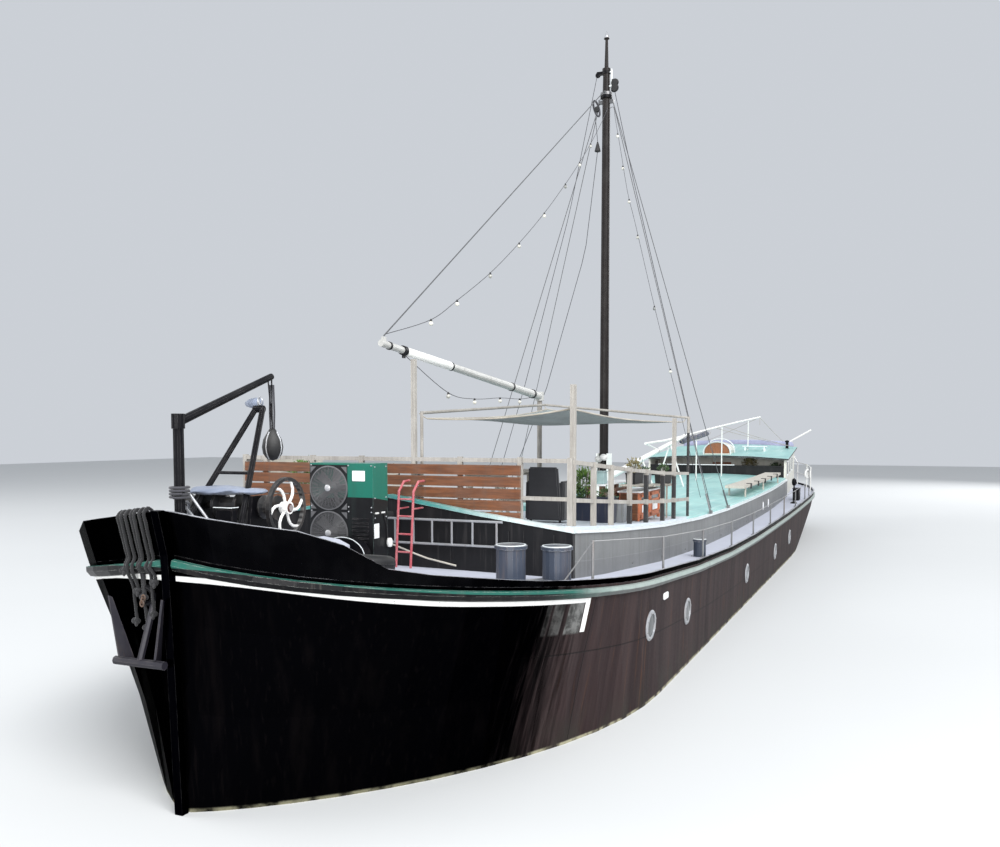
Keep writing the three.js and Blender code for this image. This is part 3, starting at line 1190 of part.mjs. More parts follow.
const wheelParts = [turned([[330, -18], [365, -18], [365, 18], [330, 18], [330, -18]], 24, [helmX, 0,
  helmZ], [1, 0, 0]),
  rod([helmX - 30, 0, helmZ], [helmX + 150, 0, helmZ], HELM_SHAFT, 12), rod([helmX - 30, 0, helmZ],
    [helmX + 40, 0, helmZ], 55, 12)];
for (let spoke = 0; spoke < 8; spoke += 1) {
  const turn = rad(45 * spoke);
  const reach = (radius) => [helmX, radius * Math.cos(turn), helmZ + radius * Math.sin(turn)];
  wheelParts.push(rod(reach(30), reach(450), 15, 8));
}
addPiece('helm_wheel', join(wheelParts), varnish);

export default boat;
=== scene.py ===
import bpy, bmesh, math, random
from mathutils import Vector
from mathutils.bvhtree import BVHTree
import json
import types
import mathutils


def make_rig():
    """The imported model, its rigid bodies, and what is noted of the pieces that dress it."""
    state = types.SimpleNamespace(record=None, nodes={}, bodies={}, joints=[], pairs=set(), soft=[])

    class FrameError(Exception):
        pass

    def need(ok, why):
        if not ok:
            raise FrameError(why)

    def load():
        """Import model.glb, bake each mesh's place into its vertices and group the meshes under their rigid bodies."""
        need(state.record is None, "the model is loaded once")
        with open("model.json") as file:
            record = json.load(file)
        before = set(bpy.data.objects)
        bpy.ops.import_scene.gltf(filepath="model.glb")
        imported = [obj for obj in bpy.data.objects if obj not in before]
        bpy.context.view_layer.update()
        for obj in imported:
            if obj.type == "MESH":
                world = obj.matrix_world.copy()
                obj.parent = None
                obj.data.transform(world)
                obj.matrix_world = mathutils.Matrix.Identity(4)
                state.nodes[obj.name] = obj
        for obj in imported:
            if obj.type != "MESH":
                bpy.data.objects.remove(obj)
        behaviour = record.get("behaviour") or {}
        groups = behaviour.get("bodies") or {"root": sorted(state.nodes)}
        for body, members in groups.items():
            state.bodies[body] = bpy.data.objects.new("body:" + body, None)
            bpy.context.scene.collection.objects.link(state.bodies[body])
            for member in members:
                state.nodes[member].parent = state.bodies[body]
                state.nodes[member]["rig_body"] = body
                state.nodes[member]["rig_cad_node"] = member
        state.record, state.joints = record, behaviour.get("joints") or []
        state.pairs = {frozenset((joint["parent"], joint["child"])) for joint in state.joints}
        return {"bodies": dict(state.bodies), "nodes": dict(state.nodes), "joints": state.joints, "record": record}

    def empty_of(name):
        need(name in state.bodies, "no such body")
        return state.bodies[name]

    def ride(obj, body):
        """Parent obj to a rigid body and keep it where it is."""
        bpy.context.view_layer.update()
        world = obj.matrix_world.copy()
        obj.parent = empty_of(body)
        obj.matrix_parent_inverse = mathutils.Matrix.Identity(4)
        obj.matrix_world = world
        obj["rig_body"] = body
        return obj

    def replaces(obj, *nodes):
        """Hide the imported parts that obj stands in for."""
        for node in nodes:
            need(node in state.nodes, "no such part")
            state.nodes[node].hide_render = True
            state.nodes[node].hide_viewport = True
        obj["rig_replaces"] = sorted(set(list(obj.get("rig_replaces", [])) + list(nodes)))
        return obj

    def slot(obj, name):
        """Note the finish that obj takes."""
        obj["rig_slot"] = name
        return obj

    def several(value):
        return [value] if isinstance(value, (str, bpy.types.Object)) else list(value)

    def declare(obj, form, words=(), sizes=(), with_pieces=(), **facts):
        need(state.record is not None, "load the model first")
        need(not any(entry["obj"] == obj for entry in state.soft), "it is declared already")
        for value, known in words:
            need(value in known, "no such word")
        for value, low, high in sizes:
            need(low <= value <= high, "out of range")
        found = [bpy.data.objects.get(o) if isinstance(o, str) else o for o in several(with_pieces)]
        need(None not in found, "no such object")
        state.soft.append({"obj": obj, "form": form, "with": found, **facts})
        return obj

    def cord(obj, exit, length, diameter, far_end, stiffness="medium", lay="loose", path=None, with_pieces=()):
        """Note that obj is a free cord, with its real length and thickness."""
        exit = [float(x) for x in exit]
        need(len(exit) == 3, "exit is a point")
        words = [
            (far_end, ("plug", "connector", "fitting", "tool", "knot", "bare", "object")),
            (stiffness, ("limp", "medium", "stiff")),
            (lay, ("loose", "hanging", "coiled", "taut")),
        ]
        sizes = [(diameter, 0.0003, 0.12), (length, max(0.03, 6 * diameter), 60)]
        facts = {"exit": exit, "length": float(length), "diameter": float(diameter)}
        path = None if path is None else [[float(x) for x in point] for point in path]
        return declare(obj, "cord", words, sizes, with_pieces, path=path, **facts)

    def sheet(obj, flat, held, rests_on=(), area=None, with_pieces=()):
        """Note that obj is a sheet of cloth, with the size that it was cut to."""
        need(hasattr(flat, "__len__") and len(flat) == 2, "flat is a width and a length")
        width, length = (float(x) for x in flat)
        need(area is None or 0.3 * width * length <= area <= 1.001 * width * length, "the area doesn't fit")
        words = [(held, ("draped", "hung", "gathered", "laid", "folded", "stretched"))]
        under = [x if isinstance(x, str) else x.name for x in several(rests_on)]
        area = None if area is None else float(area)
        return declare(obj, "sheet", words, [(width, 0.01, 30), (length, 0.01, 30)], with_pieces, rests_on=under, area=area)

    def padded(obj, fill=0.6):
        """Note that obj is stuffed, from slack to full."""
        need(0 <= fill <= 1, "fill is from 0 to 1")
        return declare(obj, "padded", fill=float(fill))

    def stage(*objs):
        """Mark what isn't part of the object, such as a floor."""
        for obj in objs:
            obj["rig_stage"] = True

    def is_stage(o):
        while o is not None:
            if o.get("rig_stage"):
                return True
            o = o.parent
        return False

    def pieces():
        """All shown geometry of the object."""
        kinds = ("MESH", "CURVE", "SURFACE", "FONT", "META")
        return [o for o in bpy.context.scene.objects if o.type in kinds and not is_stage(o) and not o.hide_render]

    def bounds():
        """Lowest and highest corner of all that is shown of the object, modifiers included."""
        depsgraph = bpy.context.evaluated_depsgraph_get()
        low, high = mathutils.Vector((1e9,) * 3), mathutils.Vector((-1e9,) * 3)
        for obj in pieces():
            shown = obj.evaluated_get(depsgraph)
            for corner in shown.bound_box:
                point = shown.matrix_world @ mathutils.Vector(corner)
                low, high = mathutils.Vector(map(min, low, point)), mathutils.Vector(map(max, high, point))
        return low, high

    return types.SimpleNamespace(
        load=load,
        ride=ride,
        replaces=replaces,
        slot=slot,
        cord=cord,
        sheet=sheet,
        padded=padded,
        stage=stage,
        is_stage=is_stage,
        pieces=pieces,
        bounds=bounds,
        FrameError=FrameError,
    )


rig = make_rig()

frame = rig.load()
nodes = frame["nodes"]
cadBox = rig.bounds()
scene = bpy.context.scene
print("frame loaded:", len(nodes), "nodes")

# ---- camera and light
cameraSettings = {"place": (23.57, 6.25, 3.6), "heading": (-0.918, -0.396), "pitch": 3.6, "lens": 34.2,
    "shift": 0.0693}


def aimed(direction, towards="-Z"):
    return Vector(direction).to_track_quat(towards, "Y")


def makeCamera(s):
    data = bpy.data.cameras.new("photoCamera")
    data.lens, data.sensor_width, data.shift_y = s["lens"], 36, s["shift"]
    data.clip_start, data.clip_end = 0.1, 400
    camera = bpy.data.objects.new("photoCamera", data)
    scene.collection.objects.link(camera)
    level = Vector((*s["heading"], 0)).normalized()
    pitch = math.radians(s["pitch"])
    camera.location = s["place"]
    camera.rotation_mode = "QUATERNION"
    camera.rotation_quaternion = aimed(level * math.cos(pitch) - Vector((0, 0, math.sin(pitch))))
    scene.camera = camera


lightSettings = {
    "world": (0.80, 0.84, 0.90), "worldStrength": 0.75,
    "lamps": [("keyLamp", (34, 26, 34), 26, 26000), ("fillLamp", (20, -40, 24), 30, 9000),
        ("sternLamp", (-44, 18, 22), 24, 9000), ("bowLamp", (52, 14, 7), 16, 10000)],
}


def makeLight(s):
    world = bpy.data.worlds.new("softSky")
    world.use_nodes = True
    back = world.node_tree.nodes["Background"]
    back.inputs["Color"].default_value = (*s["world"], 1)
    back.inputs["Strength"].default_value = s["worldStrength"]
    scene.world = world
    for name, place, size, power in s["lamps"]:
        lamp = bpy.data.lights.new(name, "AREA")
        lamp.size, lamp.energy = size, power
        holder = bpy.data.objects.new(name, lamp)
        scene.collection.objects.link(holder)
        holder.location = place
        holder.rotation_mode = "QUATERNION"
        holder.rotation_quaternion = aimed(Vector((0, 0, 2)) - Vector(place))


makeCamera(cameraSettings)
makeLight(lightSettings)
scene.view_settings.view_transform = "Standard"
print("camera and light placed")

# ---- the sheer line, as the hull is drawn
sheerSettings = {"stem": -0.12, "bow": 5.12, "bowFull": 2.3, "half": 3.2, "end": 33.6, "run": 6.9,
    "runFull": 2.2, "sternRound": 2.4, "origin": 16.65}


def sheerLine(s):
    plan = []
    for k in range(15):
        angle = math.radians(90 * k / 14)
        plan.append((s["origin"] - s["stem"] - s["bow"] * (1 - math.cos(angle)),
            s["half"] * math.sin(angle) ** (2 / s["bowFull"])))
    start = s["end"] - s["run"]
    plan += [(s["origin"] - 5.0 - (start - 5.0) * k / 7, s["half"]) for k in range(1, 7)]
    for k in range(13):
        angle = math.radians(90 * k / 12)
        plan.append((s["origin"] - start - s["run"] * math.sin(angle) ** (2 / s["sternRound"]),
            s["half"] * max(math.cos(angle), 0) ** (2 / s["runFull"])))
    line, along = [], 0.0
    for k, (x, y) in enumerate(plan):
        along += math.dist(plan[k], plan[k - 1]) if k else 0
        rise = 1.14 * max(0, 1 - along / 17) ** 2.1 + 0.27 * max(0, (s["origin"] - x - 18) / 14.3) ** 2
        line.append((x, y, 1.34 + rise))
    return line


sheer = sheerLine(sheerSettings)


def edgeAt(x):  # half beam and height of the deck edge
    for (xa, ya, za), (xb, yb, zb) in zip(sheer, sheer[1:]):
        if xb <= x <= xa:
            t = (xa - x) / max(xa - xb, 1e-6)
            return ya + (yb - ya) * t, za + (zb - za) * t
    return 0.0, sheer[-1][2]


# ---- shader groups shared by the materials


def socket(tree, label, kind, way="INPUT", value=None):
    made = tree.interface.new_socket(label, in_out=way, socket_type=kind)
    if value is not None:
        made.default_value = value
    return made


def opaque(value):  # a colour given as three numbers gets its fourth
    return (*value, 1) if isinstance(value, tuple) and len(value) == 3 else value


class Graph:  # short calls for one node tree
    def __init__(self, tree):
        self.tree = tree

    def node(self, kind, **settings):
        made = self.tree.nodes.new(kind)
        for key, value in settings.items():
            setattr(made, key, value)
        return made

    def link(self, source, target):
        if isinstance(source, bpy.types.NodeSocket):
            self.tree.links.new(source, target)
        else:
            target.default_value = source

    def math(self, kind, a, b=0.0, c=0.0, clamp=False):
        made = self.node("ShaderNodeMath", operation=kind, use_clamp=clamp)
        for value, target in zip((a, b, c), made.inputs):
            self.link(value, target)
        return made.outputs[0]

    def times(self, a, b, clamp=False):
        return self.math("MULTIPLY", a, b, clamp=clamp)

    def scaled(self, a, b, c, clamp=False):  # a times b plus c
        return self.math("MULTIPLY_ADD", a, b, c, clamp)

    def minus(self, a, b, clamp=False):
        return self.math("SUBTRACT", a, b, clamp=clamp)

    def most(self, a, b):
        return self.math("MAXIMUM", a, b)

    def upright(self):  # how far the face looks up
        return self.parts(self.node("ShaderNodeNewGeometry").outputs["Normal"])[2]

    def mix(self, share, a, b):
        made = self.node("ShaderNodeMix", data_type="RGBA", blend_type="MIX")
        for value, target in ((share, made.inputs[0]), (a, made.inputs[6]), (b, made.inputs[7])):
            self.link(opaque(value), target)
        return made.outputs[2]

    def span(self, value, low, high, toLow=0.0, toHigh=1.0):
        made = self.node("ShaderNodeMapRange", interpolation_type="SMOOTHSTEP")
        for v, target in zip((value, low, high, toLow, toHigh), made.inputs):
            self.link(v, target)
        return made.outputs[0]

    def stretched(self, vector, scale):
        made = self.node("ShaderNodeVectorMath", operation="MULTIPLY")
        self.link(vector, made.inputs[0])
        self.link(scale, made.inputs[1])
        return made.outputs[0]

    def noise(self, vector, scale=1.0, detail=3.0, rough=0.5):
        made = self.node("ShaderNodeTexNoise")
        for value, label in ((vector, "Vector"), (scale, "Scale"), (detail, "Detail"), (rough, "Roughness")):
            self.link(value, made.inputs[label])
        return made.outputs[0]

    def parts(self, vector):
        made = self.node("ShaderNodeSeparateXYZ")
        self.link(vector, made.inputs[0])
        return made.outputs[0], made.outputs[1], made.outputs[2]


def shaderGroup(name, inputs, outputs):
    tree = bpy.data.node_groups.new(name, "ShaderNodeTree")
    for label, kind, value in inputs:
        socket(tree, label, "NodeSocket" + kind, value=value)
    for label, kind in outputs:
        socket(tree, label, "NodeSocket" + kind, "OUTPUT")
    graph = Graph(tree)
    return tree, graph, graph.node("NodeGroupInput").outputs, graph.node("NodeGroupOutput").inputs


def makeWeathering():  # patches, run-off streaks, worn edges and dust, for every painted face
    tree, g, i, o = shaderGroup("weathering", [
        ("Vector", "Vector", None), ("Base", "Color", None), ("Dirt", "Color", None), ("Worn", "Color", None),
        ("Patch Size", "Float", 1.5), ("Patch", "Float", 0.1), ("Streak", "Float", 0.2),
        ("Edge", "Float", 0.5), ("Edge Width", "Float", 0.008), ("Dust", "Float", 0.1),
        ("Rough", "Float", 0.4), ("Rough Spread", "Float", 0.15),
    ], [("Color", "Color"), ("Roughness", "Float"), ("Height", "Float")])
    v = i["Vector"]
    geometry = g.node("ShaderNodeNewGeometry")
    upright = g.parts(geometry.outputs["Normal"])[2]
    side = g.minus(1.0, g.math("ABSOLUTE", upright), clamp=True)
    broad = g.noise(v, i["Patch Size"], 5.0, 0.6)
    fine = g.noise(v, 38.0, 4.0, 0.6)
    tone = g.scaled(g.minus(broad, 0.5), i["Patch"], 1.0)
    tone = g.scaled(g.minus(fine, 0.5), g.times(i["Patch"], 0.5), tone)
    scaled = g.node("ShaderNodeVectorMath", operation="SCALE")
    g.link(i["Base"], scaled.inputs[0])
    g.link(tone, scaled.inputs["Scale"])
    run = g.noise(g.stretched(v, (5.0, 5.0, 0.35)), 1.0, 5.0, 0.62)
    run = g.times(g.span(run, 0.5, 0.72), side)
    drops = g.span(g.noise(g.stretched(v, (26.0, 26.0, 1.4)), 1.0, 3.0), 0.56, 0.72)
    run = g.times(g.most(run, g.times(drops, side)), i["Streak"], clamp=True)
    color = g.mix(run, scaled.outputs[0], i["Dirt"])
    bevel = g.node("ShaderNodeBevel", samples=3)
    g.link(i["Edge Width"], bevel.inputs["Radius"])
    flat = g.node("ShaderNodeVectorMath", operation="DOT_PRODUCT")
    g.link(bevel.outputs[0], flat.inputs[0])
    g.link(geometry.outputs["Normal"], flat.inputs[1])
    edge = g.span(flat.outputs["Value"], 0.99, 0.86)
    edge = g.times(g.times(edge, g.span(g.noise(v, 9.0, 5.0, 0.7), 0.38, 0.6)), i["Edge"], clamp=True)
    color = g.mix(edge, color, i["Worn"])
    dust = g.times(g.most(upright, 0.0), g.span(g.noise(v, 3.1, 6.0, 0.65), 0.35, 0.75))
    dust = g.times(dust, i["Dust"], clamp=True)
    g.link(g.mix(dust, color, (0.46, 0.45, 0.42)), o["Color"])
    rough = g.scaled(g.minus(fine, 0.45), i["Rough Spread"], i["Rough"])
    rough = g.scaled(g.most(edge, dust), 0.3, rough)
    rough = g.scaled(run, 0.15, rough, clamp=True)
    g.link(rough, o["Roughness"])
    g.link(g.minus(g.scaled(fine, 0.35, g.times(broad, 0.3)), edge), o["Height"])
    return tree


def makeGrain():  # long wood grain along X of the vector it is given
    tree, g, i, o = shaderGroup("woodGrain", [
        ("Vector", "Vector", None), ("Light", "Color", None), ("Dark", "Color", None),
        ("Size", "Float", 6.0), ("Grey", "Float", 0.2),
    ], [("Color", "Color"), ("Height", "Float")])
    long = g.stretched(i["Vector"], (0.6, 9.0, 9.0))
    wavy = g.noise(long, i["Size"], 6.0, 0.65)
    fibre = g.noise(g.stretched(i["Vector"], (2.0, 60.0, 60.0)), i["Size"], 3.0, 0.6)
    share = g.scaled(fibre, 0.4, g.times(g.span(wavy, 0.35, 0.65), 0.6), clamp=True)
    color = g.mix(share, i["Dark"], i["Light"])
    bleached = g.times(g.span(g.noise(i["Vector"], 2.2, 5.0, 0.6), 0.42, 0.7), i["Grey"], clamp=True)
    g.link(g.mix(bleached, color, (0.42, 0.40, 0.37)), o["Color"])
    g.link(share, o["Height"])
    return tree


def makeWeave():  # crossing threads, in metres along the two axes of the vector
    tree, g, i, o = shaderGroup("clothWeave", [
        ("Vector", "Vector", None), ("Threads", "Float", 900.0), ("Light", "Color", None),
        ("Dark", "Color", None),
    ], [("Color", "Color"), ("Height", "Float")])
    x, y, z = g.parts(i["Vector"])
    warp = g.math("SINE", g.times(x, i["Threads"]))
    weft = g.math("SINE", g.times(y, i["Threads"]))
    cross = g.scaled(g.times(warp, weft), 0.5, 0.5, clamp=True)
    stains = g.noise(i["Vector"], 1.6, 6.0, 0.6)
    share = g.scaled(cross, 0.25, g.times(g.span(stains, 0.3, 0.7), 0.75), clamp=True)
    g.link(g.mix(share, i["Dark"], i["Light"]), o["Color"])
    g.link(cross, o["Height"])
    return tree


weathering, woodGrain, clothWeave = makeWeathering(), makeGrain(), makeWeave()
print("shader groups built")

# ---- materials


def newMaterial(name):
    made = bpy.data.materials.new(name)
    made.use_nodes = True
    made.node_tree.nodes.clear()
    g = Graph(made.node_tree)
    shader = g.node("ShaderNodeBsdfPrincipled")
    g.tree.links.new(shader.outputs[0], g.node("ShaderNodeOutputMaterial").inputs["Surface"])
    return made, g, shader


def placed(g):
    return g.node("ShaderNodeTexCoord").outputs["Object"]


def newPaint(name):  # a material with its place on the boat and the parts of that place
    made, g, shader = newMaterial(name)
    v = placed(g)
    return made, g, shader, v, g.parts(v)


def bumped(g, shader, height, strength=0.3, distance=0.003):
    bump = g.node("ShaderNodeBump")
    bump.inputs["Strength"].default_value = strength
    bump.inputs["Distance"].default_value = distance
    g.link(height, bump.inputs["Height"])
    g.link(bump.outputs[0], shader.inputs["Normal"])


def weathered(g, shader, color, **s):  # a colour or a socket, and how the paint has aged
    group = g.node("ShaderNodeGroup", node_tree=weathering)
    g.link(placed(g), group.inputs["Vector"])
    for label, value in (("Base", color), ("Dirt", s.get("dirt", (0.10, 0.08, 0.06))),
            ("Worn", s.get("worn", (0.30, 0.27, 0.25)))):
        g.link(opaque(value), group.inputs[label])
    plain = {"Patch Size": ("patchSize", 1.5), "Patch": ("patch", 0.2), "Streak": ("streak", 0.2),
        "Edge": ("edge", 0.6), "Edge Width": ("edgeWidth", 0.008), "Dust": ("dust", 0.15),
        "Rough": ("rough", 0.4), "Rough Spread": ("spread", 0.2)}
    for label, (key, usual) in plain.items():
        group.inputs[label].default_value = s.get(key, usual)
    g.link(group.outputs["Color"], shader.inputs["Base Color"])
    g.link(group.outputs["Roughness"], shader.inputs["Roughness"])
    bumped(g, shader, group.outputs["Height"], s.get("bump", 0.25), s.get("depth", 0.004))
    shader.inputs["Metallic"].default_value = s.get("metallic", 0.0)
    shader.inputs["Specular Tint"].default_value = (*[s.get("tint", 1.0)] * 3, 1)
    shader.inputs["Specular IOR Level"].default_value = s.get("specular", 0.5)
    shader.inputs["IOR"].default_value = s.get("ior", 1.5)
    shader.inputs["Coat Weight"].default_value = s.get("coat", 0.0)
    shader.inputs["Coat Roughness"].default_value = 0.12
    return group


def paint(base, worn, dirt, rough, **more):
    return {"base": base, "worn": worn, "dirt": dirt, "rough": rough, **more}


paints = {
    "blackPaint": paint((0.0045, 0.0045, 0.006), (0.16, 0.15, 0.15), (0.014, 0.012, 0.012), 0.38, streak=0.3,
        dust=0.03, specular=0.25, ior=1.3),
    "blackGloss": paint((0.002, 0.002, 0.003), (0.09, 0.09, 0.09), (0.008, 0.008, 0.008), 0.2, dust=0.02,
        specular=0.2, ior=1.2, metallic=1.0, tint=0.15),
    "wallBlack": paint((0.005, 0.005, 0.006), (0.13, 0.12, 0.12), (0.05, 0.045, 0.045), 0.46, streak=0.3,
        dust=0.04, specular=0.3),
    "deckLavender": paint((0.50, 0.52, 0.60), (0.30, 0.28, 0.28), (0.30, 0.27, 0.24), 0.62, patch=0.3, dust=0.25),
    "terracePale": paint((0.56, 0.62, 0.68), (0.35, 0.33, 0.30), (0.36, 0.34, 0.30), 0.6, patch=0.3, dust=0.3),
    "capWhite": paint((0.70, 0.75, 0.76), (0.34, 0.30, 0.27), (0.36, 0.33, 0.28), 0.35, streak=0.3, dust=0.12),
    "creamPaint": paint((0.66, 0.65, 0.58), (0.40, 0.33, 0.26), (0.42, 0.37, 0.29), 0.42, streak=0.35, dust=0.12),
    "sparWhite": paint((0.78, 0.78, 0.75), (0.36, 0.33, 0.30), (0.40, 0.38, 0.34), 0.36, streak=0.3, dust=0.1,
        patch=0.14),
    "boomGrey": paint((0.45, 0.45, 0.43), (0.30, 0.28, 0.26), (0.22, 0.21, 0.19), 0.4, streak=0.4, patch=0.3),
    "ladderRed": paint((0.43, 0.075, 0.095), (0.66, 0.52, 0.50), (0.30, 0.10, 0.09), 0.45, edge=0.9, patch=0.4,
        streak=0.4),
    "drumBlue": paint((0.030, 0.040, 0.062), (0.42, 0.44, 0.48), (0.12, 0.09, 0.08), 0.45, edge=0.9, streak=0.5,
        patch=0.6, dust=0.6),
    "galvanised": paint((0.40, 0.41, 0.43), (0.62, 0.62, 0.62), (0.26, 0.18, 0.13), 0.42, metallic=0.55,
        streak=0.4, patch=0.4),
    "rustySteel": paint((0.085, 0.062, 0.052), (0.26, 0.16, 0.10), (0.20, 0.09, 0.04), 0.68, metallic=0.3,
        streak=0.7, patch=0.6, bump=0.5),
    "railSteel": paint((0.19, 0.195, 0.20), (0.44, 0.42, 0.40), (0.18, 0.11, 0.07), 0.4, metallic=0.4,
        streak=0.4),
    "wireSteel": paint((0.17, 0.17, 0.175), (0.4, 0.4, 0.4), (0.12, 0.10, 0.08), 0.38, metallic=0.8, edge=0.0),
    "bronze": paint((0.42, 0.27, 0.10), (0.66, 0.48, 0.24), (0.12, 0.20, 0.14), 0.32, metallic=0.9, patch=0.5),
    "antifoul": paint((0.045, 0.030, 0.030), (0.12, 0.08, 0.07), (0.06, 0.08, 0.05), 0.75, patch=0.6, streak=0.5),
    "fanGrey": paint((0.115, 0.115, 0.12), (0.3, 0.3, 0.3), (0.08, 0.075, 0.07), 0.5, streak=0.1),
    "whitePlate": paint((0.84, 0.85, 0.86), (0.5, 0.48, 0.45), (0.45, 0.43, 0.4), 0.3, patch=0.06, streak=0.12),
    "terracotta": paint((0.42, 0.15, 0.07), (0.6, 0.34, 0.22), (0.30, 0.22, 0.16), 0.75, patch=0.35, streak=0.3),
    "planterBlue": paint((0.012, 0.016, 0.035), (0.12, 0.13, 0.16), (0.10, 0.09, 0.08), 0.42, patch=0.4,
        streak=0.35, dust=0.3),
    "planterGrey": paint((0.24, 0.25, 0.26), (0.45, 0.45, 0.44), (0.14, 0.13, 0.11), 0.7, patch=0.35, streak=0.4),
    "guardGrey": paint((0.15, 0.15, 0.155), (0.5, 0.5, 0.5), (0.14, 0.13, 0.12), 0.42, metallic=0.3, edge=0.0,
        patch=0.25),
    "hubGrey": paint((0.50, 0.50, 0.51), (0.7, 0.7, 0.7), (0.22, 0.2, 0.18), 0.35, metallic=0.3),
    "anchorBlack": paint((0.012, 0.011, 0.018), (0.14, 0.12, 0.12), (0.03, 0.02, 0.018), 0.5, metallic=0.2,
        patch=0.5, streak=0.5, edge=0.8),
    "hatchGrey": paint((0.30, 0.42, 0.42), (0.5, 0.55, 0.55), (0.18, 0.2, 0.2), 0.45, patch=0.3, streak=0.3),
    "potGreen": paint((0.07, 0.20, 0.17), (0.3, 0.4, 0.36), (0.10, 0.10, 0.08), 0.25, coat=0.6),
    "rubberBlack": paint((0.007, 0.007, 0.008), (0.05, 0.05, 0.05), (0.022, 0.02, 0.018), 0.62, patch=0.3,
        dust=0.2),
    "fenderWhite": paint((0.72, 0.72, 0.70), (0.5, 0.48, 0.45), (0.3, 0.28, 0.24), 0.5, streak=0.4),
}


def makePaint(name, s):
    made, g, shader = newMaterial(name)
    weathered(g, shader, s["base"], **s)
    return made


materials = {name: makePaint(name, s) for name, s in paints.items()}

hullSettings = {
    "black": (0.0014, 0.0014, 0.0020), "maroon": (0.020, 0.012, 0.013), "maroonLight": (0.040, 0.026, 0.026),
    "rust": (0.10, 0.045, 0.022),
    "patchDark": (0.060, 0.060, 0.058), "patchGrey": (0.17, 0.17, 0.165),
    "patchBars": ((13.53, 13.82, 1.0), (13.90, 14.07, 0.55), (14.11, 14.19, 0.30)),
    "stripe": (0.80, 0.80, 0.78), "deck": (0.50, 0.52, 0.60), "scum": (0.34, 0.32, 0.22),
    "seam": (0.007, 0.006, 0.006),
    "stripeTop": -0.148, "stripeBottom": -0.197, "stripeEnd": 13.42, "patchDepth": -0.545,
    "blackFrom": 14.4, "maroonFrom": 13.3, "plateLength": 1.9, "tick": (0.09, -0.54), "weld": (-0.790, -0.774),
}


def edgeCurve(g, x):  # the sheer line as a curve over the boat's length
    made = g.node("ShaderNodeFloatCurve")
    curve = made.mapping.curves[0]
    points = sorted((0.5 + x / 34, z / 4) for k, (x, y, z) in enumerate(sheer) if k > 0 and k % 2 == 0
        or 14 < k < 21)
    curve.points[0].location, curve.points[1].location = points[0], points[-1]
    for place in points[1:-1]:
        curve.points.new(*place)
    made.mapping.update()
    g.link(g.scaled(x, 1 / 34, 0.5), made.inputs["Value"])
    return g.times(made.outputs[0], 4.0)


def band(g, value, low, high, soft=0.004):
    return g.times(g.span(value, low - soft, low + soft), g.span(value, high + soft, high - soft))


def makeHullPaint(s):
    made, g, shader, v, (x, y, z) = newPaint("hullPaint")
    below = g.minus(z, edgeCurve(g, x))
    tones = g.noise(g.stretched(v, (2.6, 0.2, 0.10)), 1.0, 4.0, 0.7)
    brush = g.noise(g.stretched(v, (14.0, 3.0, 0.7)), 1.0, 4.0, 0.6)
    maroon = g.mix(g.span(tones, 0.36, 0.66), s["maroon"], s["maroonLight"])
    maroon = g.mix(g.times(g.span(brush, 0.56, 0.74), 0.55), maroon, s["rust"])
    low = g.times(g.span(z, 0.55, 0.0), g.span(g.noise(g.stretched(v, (3.0, 3.0, 1.5)), 1.0, 4.0), 0.35, 0.65))
    maroon = g.mix(g.times(low, 0.6), maroon, (0.030, 0.030, 0.024))
    wobble = g.scaled(g.minus(brush, 0.5), 1.6, x)
    color = g.mix(g.span(wobble, s["maroonFrom"], s["blackFrom"]), maroon, s["black"])
    inPatch = 0.0
    for near, far, share in s["patchBars"]:
        inPatch = g.most(inPatch, g.times(band(g, x, near, far, 0.012), share))
    inPatch = g.times(inPatch, band(g, below, s["patchDepth"], s["stripeTop"], 0.02))
    primer = g.mix(g.span(g.noise(v, 6.0, 4.0, 0.7), 0.38, 0.6), s["patchDark"], s["patchGrey"])
    color = g.mix(inPatch, color, primer)
    tick = g.times(band(g, x, s["stripeEnd"], s["stripeEnd"] + s["tick"][0]),
        band(g, below, s["tick"][1], s["stripeTop"]))
    rise = g.scaled(g.span(x, 15.4, 16.7), -0.035, below)
    stripe = g.times(band(g, rise, s["stripeBottom"], s["stripeTop"]),
        g.span(x, s["stripeEnd"], s["stripeEnd"] + 0.01))
    chips = g.span(g.noise(v, 24.0, 4.0, 0.7), 0.28, 0.34)
    color = g.mix(g.times(g.most(stripe, tick), chips), color, s["stripe"])
    plate = g.math("FRACT", g.math("DIVIDE", x, s["plateLength"]))
    seam = g.most(band(g, plate, 0.0, 0.009, 0.004), band(g, below, *s["weld"], 0.007))
    seam = g.times(seam, g.span(x, 14.5, 13.9))
    color = g.mix(g.times(seam, 0.8), color, s["seam"])
    tide = g.times(band(g, z, -0.02, 0.035, 0.012), g.span(g.noise(v, 5.0, 4.0), 0.35, 0.6))
    color = g.mix(tide, color, s["scum"])
    top = g.times(g.span(g.upright(), 0.6, 0.8), g.span(z, 0.4, 0.5))
    color = g.mix(top, color, s["deck"])
    group = weathered(g, shader, color, dirt=(0.020, 0.015, 0.014), worn=(0.10, 0.09, 0.085), rough=0.32,
        streak=0.14, dust=0.08, specular=0.3, edge=0.3, ior=1.3, tint=0.12)
    dark = g.times(g.span(wobble, s["maroonFrom"], s["blackFrom"]),
        g.minus(1.0, g.most(top, g.most(stripe, tick))))
    g.link(dark, shader.inputs["Metallic"])
    dull = g.most(g.times(g.span(x, 14.4, 12.6), 0.30), g.times(top, 0.35))
    g.link(g.math("ADD", group.outputs["Roughness"], dull, clamp=True), shader.inputs["Roughness"])
    swell = g.noise(g.stretched(v, (0.5, 0.5, 0.9)), 1.0, 2.0)
    height = g.scaled(swell, 3.0, g.scaled(seam, 0.6, g.times(group.outputs["Height"], 0.4)))
    bumped(g, shader, height, 0.5, 0.006)
    return made


